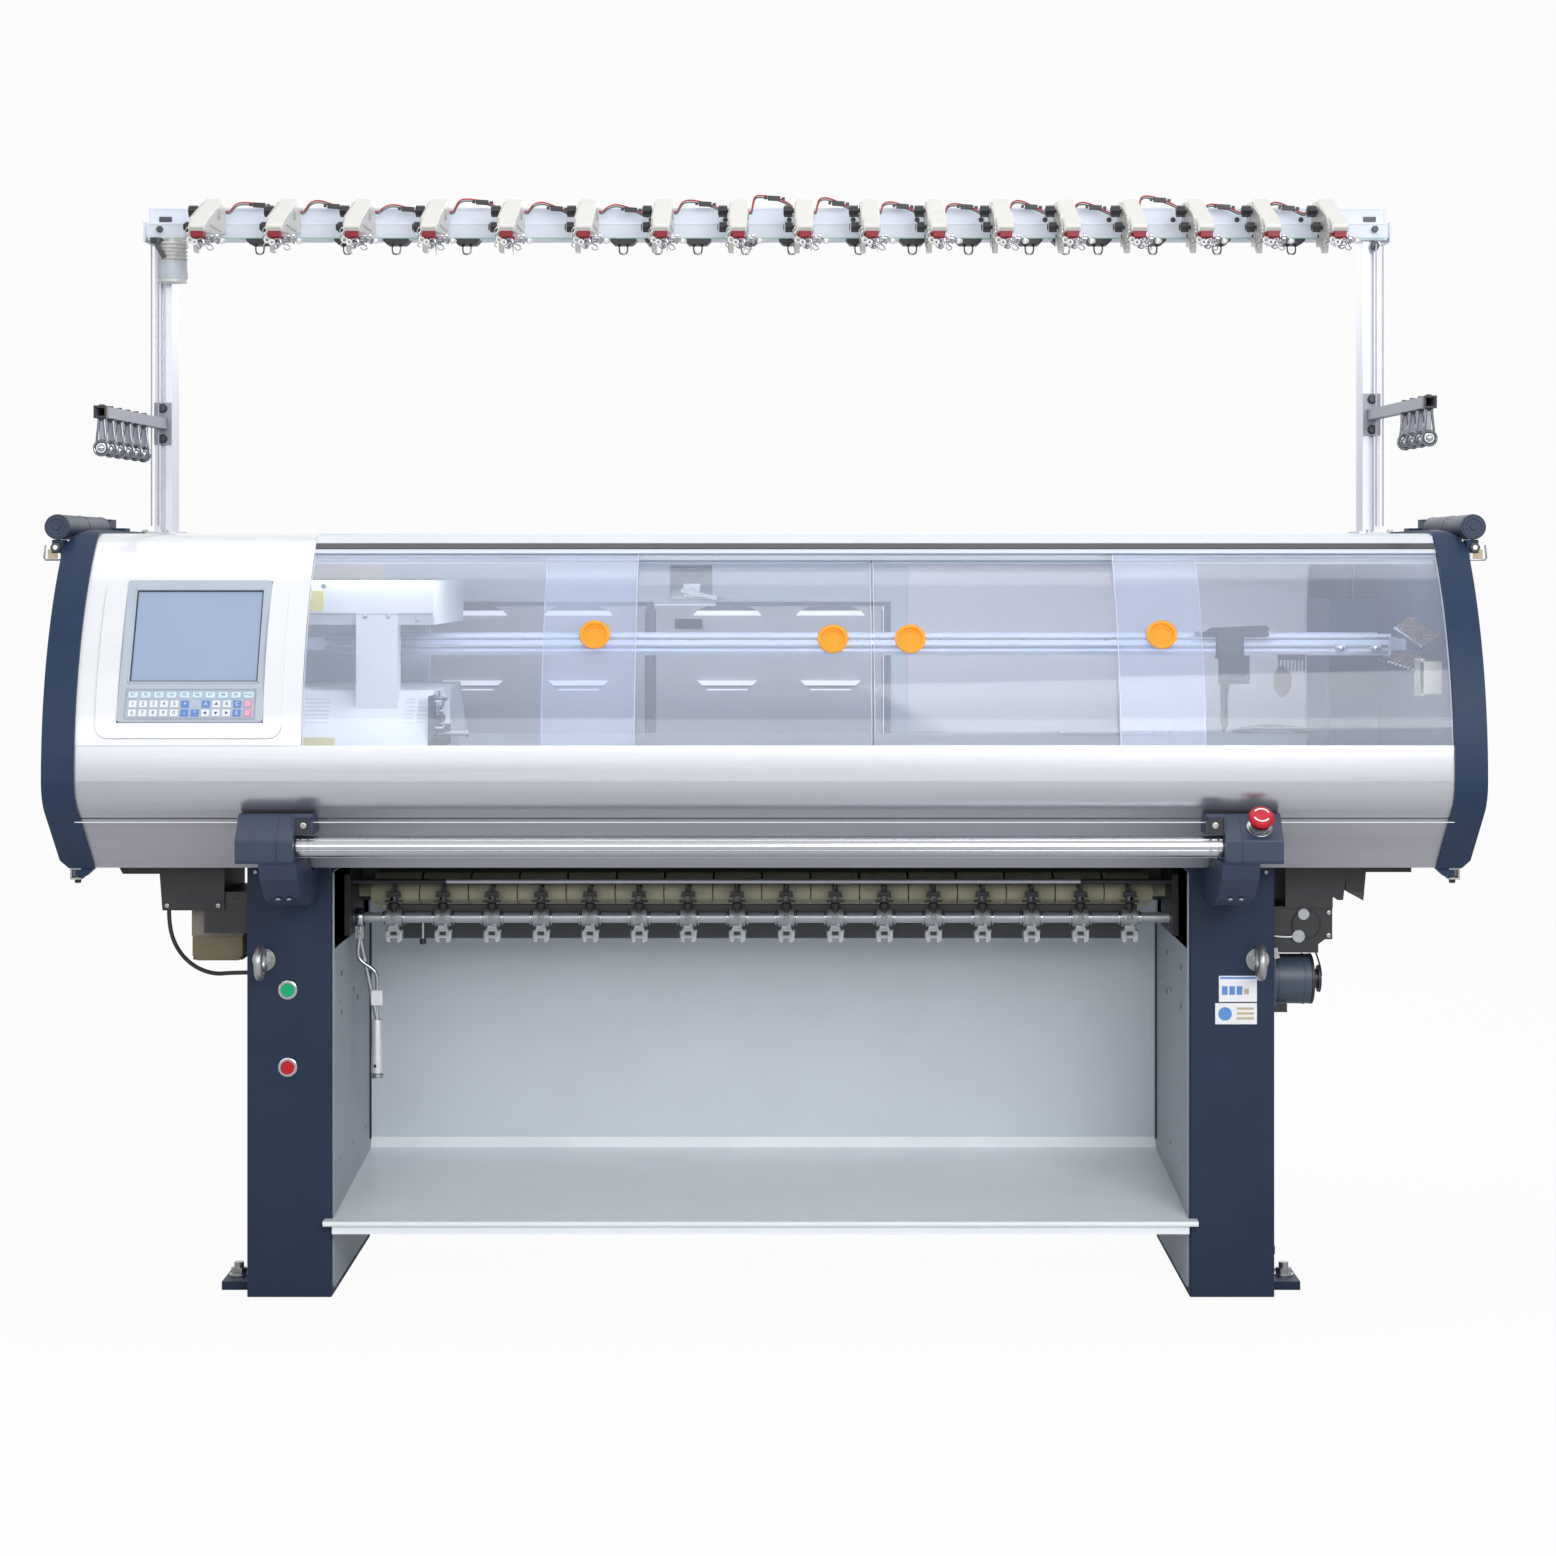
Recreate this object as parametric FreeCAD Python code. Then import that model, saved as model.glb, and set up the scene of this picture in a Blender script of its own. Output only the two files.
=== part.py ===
"""Computerised flat knitting machine, in millimetres.

+Z is up, -Y is the operator's side and +X is to the operator's right.
The origin is on the floor, in the middle of the four foot plates.
"""

import FreeCAD, Part

import math
import os

from FreeCAD import Vector

# ---- stand: two legs, cloth tray and back panel
leg_spacing = 1538.0
leg_width = 138.0
leg_depth = 460.0
leg_height = 706.0
leg_cover_thickness = 3.0
leg_cover_margin = 12.0
foot_plate_length = 97.0
foot_plate_reach = 50.0
foot_plate_thickness = 14.0
foot_plate_inset = 49.0
levelling_bolt_radius = 8.0
levelling_nut_radius = 13.0
levelling_nut_height = 13.0
eye_ring_radius = 23.0
eye_wire_radius = 7.0
eye_height = leg_height - 156.0
eye_offset_x = 41.0
tray_back_z = 160.0
tray_front_z = 128.0
tray_thickness = 4.0
tray_overhang = 14.0
tray_lip_height = 22.0
back_panel_bottom_z = 164.0
back_panel_top_z = leg_height - 16.0
back_panel_thickness = 3.0

# ---- casing
casing_width = 2262.0
casing_offset_x = 8.0
cap_thickness = 51.0
cap_proud = 6.0
cap_corner_radius = 40.0
cheek_thickness = 85.0
cheek_front_y = 200.0
casing_bottom_z = leg_height
casing_top_z = casing_bottom_z + 539.0
casing_back_y = 440.0
front_arc_radius = 527.5
front_arc_centre_y = 95.0
front_arc_centre_z = casing_bottom_z + 149.0
front_arc_top_z = casing_bottom_z + 520.0
belly_radius = 60.0
belly_angle = 50.0
rear_corner_radius = 110.0
sheet_thickness = 3.0
panel_seam_z = casing_bottom_z + 87.0
seam_gap = 2.0
window_sill_z = casing_bottom_z + 204.0
window_floor_drop = 13.0
window_head_z = casing_bottom_z + 514.0
fascia_width = 354.0
fascia_thickness = 4.0
fascia_frame_rise = 4.0
fascia_frame_width = 291.0
fascia_frame_height = 252.0
fascia_frame_bottom_z = casing_bottom_z + 216.0
fascia_frame_corner = 20.0

# ---- display and keypad
bezel_width = 229.0
bezel_height = 240.0
bezel_thickness = 16.0
bezel_centre_z = casing_bottom_z + 356.0
display_shift_x = 2.5
bezel_proud = 3.0
screen_width = 201.0
screen_height = 156.0
screen_shift_x = 1.8
screen_margin = 17.0
screen_thickness = 3.0
screen_recess = 6.0
keypad_width = 207.0
keypad_height = 52.0
keypad_margin = 3.0
keypad_thickness = 1.5
key_rise = 0.8
key_width = 12.4
key_height = 12.0
function_keys = 10
function_key_pitch = 20.2
number_keys = 12
number_key_pitch = 16.4
key_row_pitch = 15.0
blank_key = 6

# ---- sliding windows
window_count = 4
window_edge_gap = 0.5
window_middle_gap = 3.0
window_thickness = 5.0
window_side_clearance = 1.0
window_end_clearance = 0.3
rail_lip = 2.0
rail_depth = 27.0
rail_base = 5.0
rail_groove = 9.0
window_track_step = 16.0
outer_window_overlap_left = 149.0
outer_window_overlap_right = 137.0
pull_radius = 24.0
pull_flange = 2.0
pull_cup_radius = 16.0
pull_cup_depth = 5.5
pull_hole_clearance = 0.3
seat_gap = 0.2
pull_height_z = casing_bottom_z + 378.0
pull_from_edge = [66.0, 62.0, 58.0, 70.0]

# ---- knitting head
bed_end_gap = 12.0
bed_slot_half = 20.0
bed_foot_half = 200.0
bed_foot_height = 40.0
needle_bed_length = 1420.0
needle_bed_width = 200.0
needle_bed_thickness = 25.0
needle_bed_gap_half = 4.0
needle_bed_top_z = casing_bottom_z + 199.0
sinker_strip_height = 7.0
slide_rail_y = 175.0
slide_rail_width = 20.0
slide_rail_height = 20.0
slide_clearance = 0.3
carriage_from_fascia = 72.0
carriage_width = 254.0
carriage_lift = 4.0
carriage_block_height = 34.0
carriage_inner_y = 30.0
carriage_side_width = 24.0
carriage_side_reach = 150.0
carriage_cover_top_z = needle_bed_top_z + 83.0
carriage_cover_front_y = 300.0
carriage_cover_shoulder_y = 200.0
carriage_cover_front_z = needle_bed_top_z - 5.0
bridge_arm_shift = 37.0
bridge_arm_width = 68.0
bridge_arm_thickness = 40.0
bridge_reach_y = 232.0
bridge_block_width = 206.0
bridge_block_top_z = needle_bed_top_z + 263.0
bridge_block_bottom_z = needle_bed_top_z + 191.0
bridge_chamfer = 20.0
vent_slots = 7
vent_pitch = 6.0

# ---- yarn rails and yarn carrier
yarn_rail_y = 60.0
yarn_rail_thickness = 12.0
yarn_rail_bottom_z = needle_bed_top_z + 137.0
yarn_rail_height = 36.0
yarn_rail_left_gap = 337.0
yarn_rail_right_gap = 28.0
rail_arm_thickness = 12.0
rail_arm_height = 20.0
rail_arm_lap = 60.0
carrier_from_right = 300.0
carrier_width = 46.0
carrier_plate = 4.0
carrier_clearance = 0.3

# ---- take-down
section_count = 16
section_pitch = 82.55
roller_radius = 30.0
roller_y = 10.0
roller_z = casing_bottom_z - 66.0
roller_journal_radius = 12.0
pinch_roller_radius = 18.0
pinch_roller_gap = 0.3
pinch_axle_radius = 6.0
pinch_arm_width = 8.0
pinch_arm_clearance = 1.0
pinch_segment_gap = 2.0
pinch_tie_depth = 8.0
pinch_tie_height = 9.0
pinch_shaft_radius = 9.0
pinch_shaft_y = -62.0
pinch_shaft_z = roller_z - 40.0
bearing_plate_thickness = 10.0
bearing_clearance = 0.06
clamp_width = 26.0
clamp_radius = 15.0
clamp_foot_width = 28.0
clamp_foot_depth = 16.0
clamp_foot_height = 32.0
lever_length = 270.0
lever_rod_radius = 4.0
lever_grip_length = 97.0
guard_rod_radius = 3.2
guard_sleeve_radius = 4.0
guard_sleeve_length = 130.0
guard_rod_y = -92.0
guard_rod_z = roller_z + 24.0

# ---- operator's start bar and emergency stop
start_bar_radius = 17.0
start_bar_inset = 7.5
start_bar_z = casing_bottom_z + 46.0
start_bar_grooves = 6
start_bar_journal_radius = 10.0
start_bar_journal_length = 20.0
bracket_from_leg = 26.0
bracket_block_width = 90.0
bracket_arm_width = 59.0
bracket_reach = 29.5
bracket_top_z = start_bar_z + 52.0
bracket_chamfer = 39.0
bracket_gap = 3.0
bracket_web_width = 28.0
bracket_web_front = 20.0
stop_collar_radius = 16.0
stop_collar_height = 12.0
stop_head_radius = 20.0
stop_head_height = 13.0
stop_crown_radius = 6.0
stop_stem_radius = 8.0
stop_travel = 4.0
stop_from_bracket = 55.0

# ---- push buttons on the left leg
button_x = -leg_spacing / 2 - 2.0
green_button_z = leg_height - 205.0
red_button_z = leg_height - 331.0
button_radius = 11.0
button_length = 16.0
button_proud = 4.0
button_collar_radius = 14.0
button_collar_height = 5.0
button_clearance = 0.1
button_travel = 3.0

# ---- yarn stand
post_spacing = casing_width - 154.0
post_width = 30.0
post_depth = 63.0
post_front_y = 120.0
post_groove_width = 8.0
post_groove_depth = 9.0
post_base_thickness = 8.0
beam_length = post_spacing + 58.0
beam_bottom_z = casing_top_z + 519.0
beam_step_height = 27.0
beam_height = 58.0
beam_front_y = 115.0
beam_step_y = 160.0
beam_back_y = 190.0
beam_lip = 4.0
unit_count = 17
unit_first_share = 0.0568
unit_wide_share = 0.06
unit_wide_count = 7
unit_narrow_share = 0.0519
unit_width = 22.0
unit_reach = 195.0
unit_plate_proud = 3.0
unit_plate_thickness = 8.0
guide_dish_width = 46.0
guide_dish_height = 11.0
guide_dish_depth = 30.0
guide_shares = [0.0914, 0.1621, 0.2013, 0.2581, 0.3841, 0.4120, 0.4441, 0.4825, 0.5199, 0.5739]
guide_shares += [0.6168, 0.6620, 0.7110, 0.7400, 0.7664, 0.8103, 0.8620, 0.9220]
knob_radius = 10.0
knob_length = 15.0
knob_flutes = 8
side_arm_size = 18.0
side_arm_length = 420.0
side_arm_left_z = casing_top_z + 195.0
side_arm_right_z = casing_top_z + 211.0
side_arm_splay = 2.0
side_clip_pitch = 55.0
side_clip_height = 60.0
side_clip_width = 22.0
side_clip_thickness = 4.0
left_clip_count = 6
right_clip_count = 4
lamp_radius = 25.0
lamp_height = 76.0
lamp_shift = 22.0
lamp_y = 93.0
lamp_holder_width = 32.0
feed_roller_radius = 20.0
feed_roller_length = 312.0
feed_roller_front_y = -300.0
feed_roller_rise = 10.0
feed_mount_length = 42.0
feed_mount_half = 17.0
feed_foot_gap = 18.0
feed_foot_rise = 6.0
feed_shaft_radius = 8.0

# ---- rear doors
door_width = 428.0
door_left_gap = 432.0
door_bottom_z = casing_bottom_z + 84.0
door_height = 330.0
door_gap = 1.5
hinge_pin_radius = 3.0
hinge_barrel_radius = 6.0
hinge_length = 40.0
hinge_leaf_width = 26.0
hinge_leaf_thickness = 2.5
latch_x_from_edge = 56.0
latch_shaft_radius = 6.0
louvre_width = 118.0
louvre_height = 12.0
louvre_rise = 7.0
louvre_pitch = 46.0
louvre_count = 6

# ---- boxes, motor and cable under the casing
motor_radius = 41.0
motor_length = 66.0
motor_from_leg_front = 80.0
motor_z = leg_height - 197.0
pulley_cover = 4.0
pulley_radius = 15.0
pulley_width = 12.0
pulley_disc_radius = 22.0
cable_radius = 3.75

# ---- values that follow from the ones above
leg_front_y = -leg_depth / 2
leg_back_y = leg_depth / 2
motor_y = leg_front_y + motor_from_leg_front
leg_inner_x = leg_spacing / 2 - leg_width / 2
leg_outer_x = leg_spacing / 2 + leg_width / 2
casing_left_x = casing_offset_x - casing_width / 2
casing_right_x = casing_offset_x + casing_width / 2
skin_left_x = casing_left_x + cap_thickness
skin_right_x = casing_right_x - cap_thickness
fascia_right_x = skin_left_x + fascia_width
window_opening = skin_right_x - fascia_right_x - 2 * window_edge_gap
window_laps = outer_window_overlap_left + outer_window_overlap_right - window_middle_gap
window_width = (window_opening + window_laps) / window_count
outer_window_outside = front_arc_radius - rail_lip - window_side_clearance
inner_window_outside = outer_window_outside - window_track_step
carriage_left_x = fascia_right_x - carriage_from_fascia
carriage_right_x = carriage_left_x + carriage_width
bridge_arm_x = carriage_left_x + carriage_width / 2 + bridge_arm_shift
yarn_rail_left_x = skin_left_x + yarn_rail_left_gap
yarn_rail_right_x = skin_right_x - yarn_rail_right_gap
carrier_x = skin_right_x - carrier_from_right
bed_half_length = -skin_left_x - bed_end_gap
casing_front_y = front_arc_centre_y - front_arc_radius
start_bar_y = casing_front_y + start_bar_inset
bracket_front_y = casing_front_y - bracket_reach
bracket_inner_x = leg_inner_x + bracket_from_leg
stop_x = bracket_inner_x + stop_from_bracket
beam_step_z = beam_bottom_z + beam_step_height
beam_top_z = beam_bottom_z + beam_height
beam_left_x = casing_offset_x - beam_length / 2
unit_first_x = beam_left_x + beam_length * unit_first_share
unit_wide_pitch = beam_length * unit_wide_share
unit_narrow_pitch = beam_length * unit_narrow_share
lamp_x = casing_offset_x - post_spacing / 2 + lamp_shift
door_left_hinge_x = skin_left_x + door_left_gap
working_half = section_count * section_pitch / 2
pinch_roller_y = roller_y - roller_radius - pinch_roller_radius - pinch_roller_gap
bearing_inner_x = leg_inner_x - leg_cover_thickness - bearing_plate_thickness
unit_back_y = beam_front_y - seat_gap
unit_nose_y = unit_back_y - unit_reach

AXIS_X = Vector(1, 0, 0)
AXIS_Y = Vector(0, 1, 0)
AXIS_Z = Vector(0, 0, 1)


# ---------------------------------------------------------------- helpers
def save(name, shape):
    """Write one sub-part as parts/NAME.step."""
    shape.exportStep(f"parts/{name}.step")


def box(x0, x1, y0, y1, z0, z1):
    """A block between two opposite corners."""
    return Part.makeBox(x1 - x0, y1 - y0, z1 - z0, Vector(x0, y0, z0))


def rod(radius, length, start, axis):
    """A round bar from a start point along an axis."""
    return Part.makeCylinder(radius, length, Vector(*start), axis)


def along_x(points, x0, x1):
    """A straight bar with a polygon section in the YZ plane."""
    corners = [Vector(x0, y, z) for y, z in points]
    face = Part.Face(Part.makePolygon(corners + corners[:1]))
    return face.extrude(Vector(x1 - x0, 0, 0))


def along_y(points, y0, y1):
    """A straight bar with a polygon section in the XZ plane."""
    corners = [Vector(x, y0, z) for x, z in points]
    face = Part.Face(Part.makePolygon(corners + corners[:1]))
    return face.extrude(Vector(0, y1 - y0, 0))


def along_z(points, z0, z1):
    """A straight bar with a polygon section in the XY plane."""
    corners = [Vector(x, y, z0) for x, y in points]
    face = Part.Face(Part.makePolygon(corners + corners[:1]))
    return face.extrude(Vector(0, 0, z1 - z0))


def line(a, b):
    return Part.LineSegment(a, b).toShape()


def arc(a, middle, b):
    return Part.Arc(a, middle, b).toShape()


def solid_from_edges(edges, sweep):
    """A prism from a closed chain of edges."""
    wire = Part.Wire(Part.__sortEdges__(edges))
    return Part.Face(wire).extrude(sweep)


def joined(shapes):
    """One solid out of overlapping or touching ones."""
    whole = shapes[0]
    if len(shapes) > 1:
        whole = whole.fuse(shapes[1:])
    return whole.removeSplitter()


def group(shapes):
    """Separate solids kept in one sub-part."""
    solids = []
    for shape in shapes:
        solids.extend(shape.Solids)
    return Part.makeCompound(solids)


def mirrored(shape, normal=AXIS_X, x=0.0):
    """A copy mirrored in a plane through (x, 0, 0)."""
    return shape.mirror(Vector(x, 0, 0), normal)


def moved(shape, x=0.0, y=0.0, z=0.0):
    """A copy moved by the given distances."""
    copy = shape.copy()
    copy.translate(Vector(x, y, z))
    return copy


def rounded(shape, radius, keep):
    """The shape with the edges that keep() picks rounded."""
    return shape.makeFillet(radius, [edge for edge in shape.Edges if keep(edge)])


# ---------------------------------------------------------------- casing curve
def front_point(radius, z):
    """The point of the big front arc, at the given radius, at height z."""
    rise = z - front_arc_centre_z
    return Vector(0, front_arc_centre_y - math.sqrt(radius**2 - rise**2), z)


def front_angle(z):
    """The angle of height z on the outer front arc, above the horizontal."""
    return math.asin((z - front_arc_centre_z) / front_arc_radius)


def arc_point(radius, angle):
    """The point of the front arc at a radius and an angle above the horizontal."""
    y = front_arc_centre_y - radius * math.cos(angle)
    z = front_arc_centre_z + radius * math.sin(angle)
    return Vector(0, y, z)


def curved_slab(outer, inner, low, high, x0, x1):
    """A slab bent to the casing's front arc, between two radii and two angles."""
    middle = (low + high) / 2
    edges = [
        arc(arc_point(outer, low), arc_point(outer, middle), arc_point(outer, high)),
        line(arc_point(outer, high), arc_point(inner, high)),
        arc(arc_point(inner, high), arc_point(inner, middle), arc_point(inner, low)),
        line(arc_point(inner, low), arc_point(outer, low)),
    ]
    slab = solid_from_edges(edges, Vector(x1 - x0, 0, 0))
    return moved(slab, x0)


def belly_centre():
    """The centre of the small arc under the casing's front-most line."""
    return Vector(0, front_arc_centre_y - front_arc_radius + belly_radius, front_arc_centre_z)


def belly_point(offset, angle):
    """A point on the belly arc, offset outwards, at an angle below the horizontal."""
    turn = math.radians(angle)
    reach = belly_radius + offset
    return belly_centre() + Vector(0, -reach * math.cos(turn), -reach * math.sin(turn))


def slope_point(offset, z):
    """A point on the straight slope under the belly, offset outwards, at height z."""
    start = belly_point(offset, belly_angle)
    turn = math.radians(belly_angle)
    return start + Vector(0, math.sin(turn), -math.cos(turn)) * ((start.z - z) / math.cos(turn))


def crown_radius():
    """The radius of the arc that rolls from the front arc into the flat top."""
    tilt = math.pi / 2 - front_angle(front_arc_top_z)
    return (casing_top_z - front_arc_top_z) / (1 - math.sin(math.pi / 2 - tilt))


def crown_point(offset, angle):
    """A point on the crown arc, offset outwards, at an angle above the horizontal."""
    radius = crown_radius()
    centre = arc_point(front_arc_radius - radius, front_angle(front_arc_top_z))
    reach = radius + offset
    return centre + Vector(0, -reach * math.cos(angle), reach * math.sin(angle))


def front_skin_edges(offset, z_top, z_bottom):
    """The casing's front line from z_top on the front arc down to z_bottom."""
    radius = front_arc_radius + offset
    top = front_point(radius, z_top)
    middle = front_point(radius, (z_top + front_arc_centre_z) / 2)
    bulge = front_point(radius, front_arc_centre_z)
    belly_middle = belly_point(offset, belly_angle / 2)
    belly_end = belly_point(offset, belly_angle)
    bottom = slope_point(offset, z_bottom)
    edges = [
        arc(top, middle, bulge),
        arc(bulge, belly_middle, belly_end),
        line(belly_end, bottom),
    ]
    return edges, top, bottom


def crown_edges(offset):
    """The crown arc from the top of the front arc to the flat top."""
    start = front_angle(front_arc_top_z)
    first = crown_point(offset, start)
    middle = crown_point(offset, (start + math.pi / 2) / 2)
    last = crown_point(offset, math.pi / 2)
    return arc(first, middle, last), first, last


# ---------------------------------------------------------------- stand
def leg(side):
    """A box leg with its two welded foot plates; side is -1 left or +1 right."""
    x0 = leg_inner_x
    x1 = leg_outer_x
    column = box(x0, x1, leg_front_y, leg_back_y, 0, leg_height)
    column = rounded(column, 4.0, lambda e: abs(e.Length - leg_height) < 1)
    pieces = [column]
    for end in (-1, 1):
        near = end * (leg_depth / 2 - foot_plate_inset)
        far = near - end * foot_plate_length
        y0 = min(near, far)
        y1 = max(near, far)
        plate = box(x1 - 10, x1 + foot_plate_reach, y0, y1, 0, foot_plate_thickness)
        pieces.append(plate)
    whole = joined(pieces)
    for y in foot_bolt_places():
        hole = rod(levelling_bolt_radius, foot_plate_thickness, (foot_bolt_x(), y, 0), AXIS_Z)
        whole = whole.cut(hole)
    if side < 0:
        whole = mirrored(whole)
        for z in (green_button_z, red_button_z):
            depth = button_length - button_proud - button_collar_height + button_travel + 1
            pocket = rod(button_radius + button_clearance, depth, (button_x, leg_front_y, z), AXIS_Y)
            whole = whole.cut(pocket)
    return whole


def foot_bolt_x():
    return leg_outer_x + foot_plate_reach * 0.6


def foot_bolt_places():
    """The levelling bolts' places along Y."""
    middle = leg_depth / 2 - foot_plate_inset - foot_plate_length / 2
    return (-middle, middle)


def levelling_feet():
    """A bolt and nut through each foot plate."""
    feet = []
    for side in (-1, 1):
        for y in foot_bolt_places():
            x = side * foot_bolt_x()
            shank = rod(levelling_bolt_radius, foot_plate_thickness + 22, (x, y, 0), AXIS_Z)
            nut = hexagon(x, y, foot_plate_thickness, levelling_nut_radius, levelling_nut_height)
            feet.append(joined([shank, nut]))
    return group(feet)


def hexagon(x, y, z, radius, height):
    """A hexagon nut standing on z."""
    corners = []
    for index in range(6):
        turn = math.radians(60 * index)
        corners.append((x + radius * math.cos(turn), y + radius * math.sin(turn)))
    return along_z(corners, z, z + height)


def leg_inner_covers():
    """The light plates that close the legs on their inner sides."""
    covers = []
    for side in (-1, 1):
        x0 = leg_inner_x - leg_cover_thickness
        y0 = leg_front_y + leg_cover_margin
        y1 = leg_back_y - leg_cover_margin
        plate = box(x0, leg_inner_x, y0, y1, leg_cover_margin, leg_height - leg_cover_margin)
        plate = rounded(plate, 8.0, lambda e: abs(e.Length - leg_cover_thickness) < 0.1)
        if side < 0:
            plate = mirrored(plate)
        covers.append(plate)
    return group(covers)


def lifting_eyes():
    """A ring bolt on the front of each leg, its ring upright and edge-on."""
    eyes = []
    collar_length = 9.0
    for side in (-1, 1):
        x = side * (leg_spacing / 2 + eye_offset_x)
        collar = rod(eye_wire_radius * 2, collar_length, (x, leg_front_y, eye_height), -AXIS_Y)
        ring_y = leg_front_y - collar_length - eye_ring_radius - eye_wire_radius + 4
        ring = Part.makeTorus(eye_ring_radius, eye_wire_radius, Vector(x, ring_y, eye_height), AXIS_X)
        eyes.append(joined([collar, ring]))
    return group(eyes)


def back_panel():
    """The light sheet between the legs at the back, with a stiffening fold at its top."""
    y1 = leg_back_y - 2
    y0 = y1 - back_panel_thickness
    x1 = leg_inner_x - leg_cover_thickness
    sheet = box(-x1, x1, y0, y1, back_panel_bottom_z, back_panel_top_z)
    fold = box(-x1, x1, y0 - 22, y1, back_panel_top_z - back_panel_thickness, back_panel_top_z)
    seam_z = 545.0
    seam = box(-x1, x1, y0 - 2, y0, seam_z, seam_z + 24)
    return joined([sheet, fold, seam])


def fabric_tray():
    """The sloping tray that catches the cloth, with a rolled front lip and an apron."""
    x1 = leg_inner_x - leg_cover_thickness
    back = leg_back_y - 2 - back_panel_thickness
    front = leg_front_y - 10
    roll = 9.0
    slope = [
        (back, tray_back_z),
        (front, tray_front_z),
        (front, tray_front_z - tray_thickness),
        (back, tray_back_z - tray_thickness),
    ]
    sheet = along_x(slope, -x1, x1)
    reach = x1 + tray_overhang
    nose = box(-reach, reach, front - 14, leg_front_y, tray_front_z - roll, tray_front_z)
    nose = rounded(nose, 4.0, lambda e: abs(e.Length - 2 * reach) < 1 and e.CenterOfMass.y < front)
    apron = box(-x1, x1, front - 6, front, tray_front_z - tray_lip_height, tray_front_z - 2)
    fold_low = tray_back_z - tray_thickness
    rear_fold = box(-x1, x1, back - tray_thickness, back, fold_low, back_panel_bottom_z + 14)
    return joined([sheet, nose, apron, rear_fold])


# ---------------------------------------------------------------- casing
def side_outline(offset):
    """The closed side outline of the casing as edges, offset outwards."""
    front, top, bottom = front_skin_edges(offset, front_arc_top_z, casing_bottom_z)
    crown, crown_start, crown_end = crown_edges(offset)
    back = casing_back_y + offset
    high = casing_top_z + offset
    radius = rear_corner_radius + offset
    rear_top = Vector(0, back - radius, high)
    rear_side = Vector(0, back, high - radius)
    lean = math.sqrt(0.5) * radius
    rear_middle = Vector(0, back - radius + lean, high - radius + lean)
    rear_bottom = Vector(0, back, casing_bottom_z)
    start = crown_start
    edges = list(front)
    if top.distanceToPoint(start) > 0.01:
        edges.append(line(top, start))
    edges.append(crown)
    edges.append(line(crown_end, rear_top))
    edges.append(arc(rear_top, rear_middle, rear_side))
    edges.append(line(rear_side, rear_bottom))
    edges.append(line(rear_bottom, bottom))
    return edges


def end_cap(side):
    """A moulded end cap: the casing's outline, rounded over at its outer top edge."""
    width = cap_thickness
    body = solid_from_edges(side_outline(cap_proud), Vector(width, 0, 0))
    high = casing_top_z + cap_proud
    y0 = -600.0
    y1 = 600.0
    radius = cap_corner_radius
    lean = radius * (1 - math.sqrt(0.5))
    low_round = 14.0
    outline = [
        line(Vector(width, y0, casing_bottom_z - 5), Vector(low_round, y0, casing_bottom_z - 5)),
        line(Vector(low_round, y0, casing_bottom_z - 5), Vector(0, y0, casing_bottom_z + low_round)),
        line(Vector(0, y0, casing_bottom_z + low_round), Vector(0, y0, high - radius)),
        arc(Vector(0, y0, high - radius), Vector(lean, y0, high - lean), Vector(radius, y0, high)),
        line(Vector(radius, y0, high), Vector(width, y0, high)),
        line(Vector(width, y0, high), Vector(width, y0, casing_bottom_z - 5)),
    ]
    body = body.common(solid_from_edges(outline, Vector(0, y1 - y0, 0)))
    body = moved(body, -width)
    if side < 0:
        body = moved(body, skin_left_x)
    else:
        body = joined([moved(mirrored(body), skin_right_x), inner_cheek()])
    return joined([body, feed_roller_mount(side)])


def inner_cheek():
    """The thick inner wall of the right cap, behind the springs and their cams."""
    top = casing_top_z - rear_corner_radius - 2
    y1 = casing_back_y - sheet_thickness
    return box(skin_right_x - cheek_thickness, skin_right_x, cheek_front_y, y1, casing_bottom_z + 60, top)


def front_panel():
    """The brushed panel round the belly, with the window sill and its grooved rail."""
    outside, top, bottom = front_skin_edges(0, window_sill_z, panel_seam_z + seam_gap)
    seam_top = panel_seam_z + seam_gap
    inside, inner_top, inner_bottom = front_skin_edges(-sheet_thickness, window_sill_z, seam_top)
    edges = outside + inside + [line(top, inner_top), line(bottom, inner_bottom)]
    skin = solid_from_edges(edges, Vector(skin_right_x - skin_left_x, 0, 0))
    skin = moved(skin, skin_left_x)
    sill_z = window_sill_z - window_floor_drop
    sill_front = front_point(front_arc_radius - sheet_thickness / 2, sill_z).y
    sill_low = sill_z - sheet_thickness
    sill = box(skin_left_x, skin_right_x, sill_front, sill_front + 60, sill_low, sill_z)
    lap_outer = slope_point(-sheet_thickness, panel_seam_z + 14)
    lap_lower = slope_point(-sheet_thickness, panel_seam_z - 16)
    lap = along_x(
        [
            (lap_outer.y, lap_outer.z),
            (lap_lower.y, lap_lower.z),
            (lap_lower.y + 2.5, lap_lower.z + 2),
            (lap_outer.y + 2.5, lap_outer.z + 2),
        ],
        skin_left_x,
        skin_right_x,
    )
    floor = sill_floor_angle()
    top_turn = rail_groove / front_arc_radius
    rail = window_rail(front_angle(sill_z - 4), floor + top_turn)
    whole = joined([skin, sill, lap, rail])
    for groove in window_grooves(floor, floor + 2 * top_turn):
        whole = whole.cut(groove)
    return whole


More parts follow.
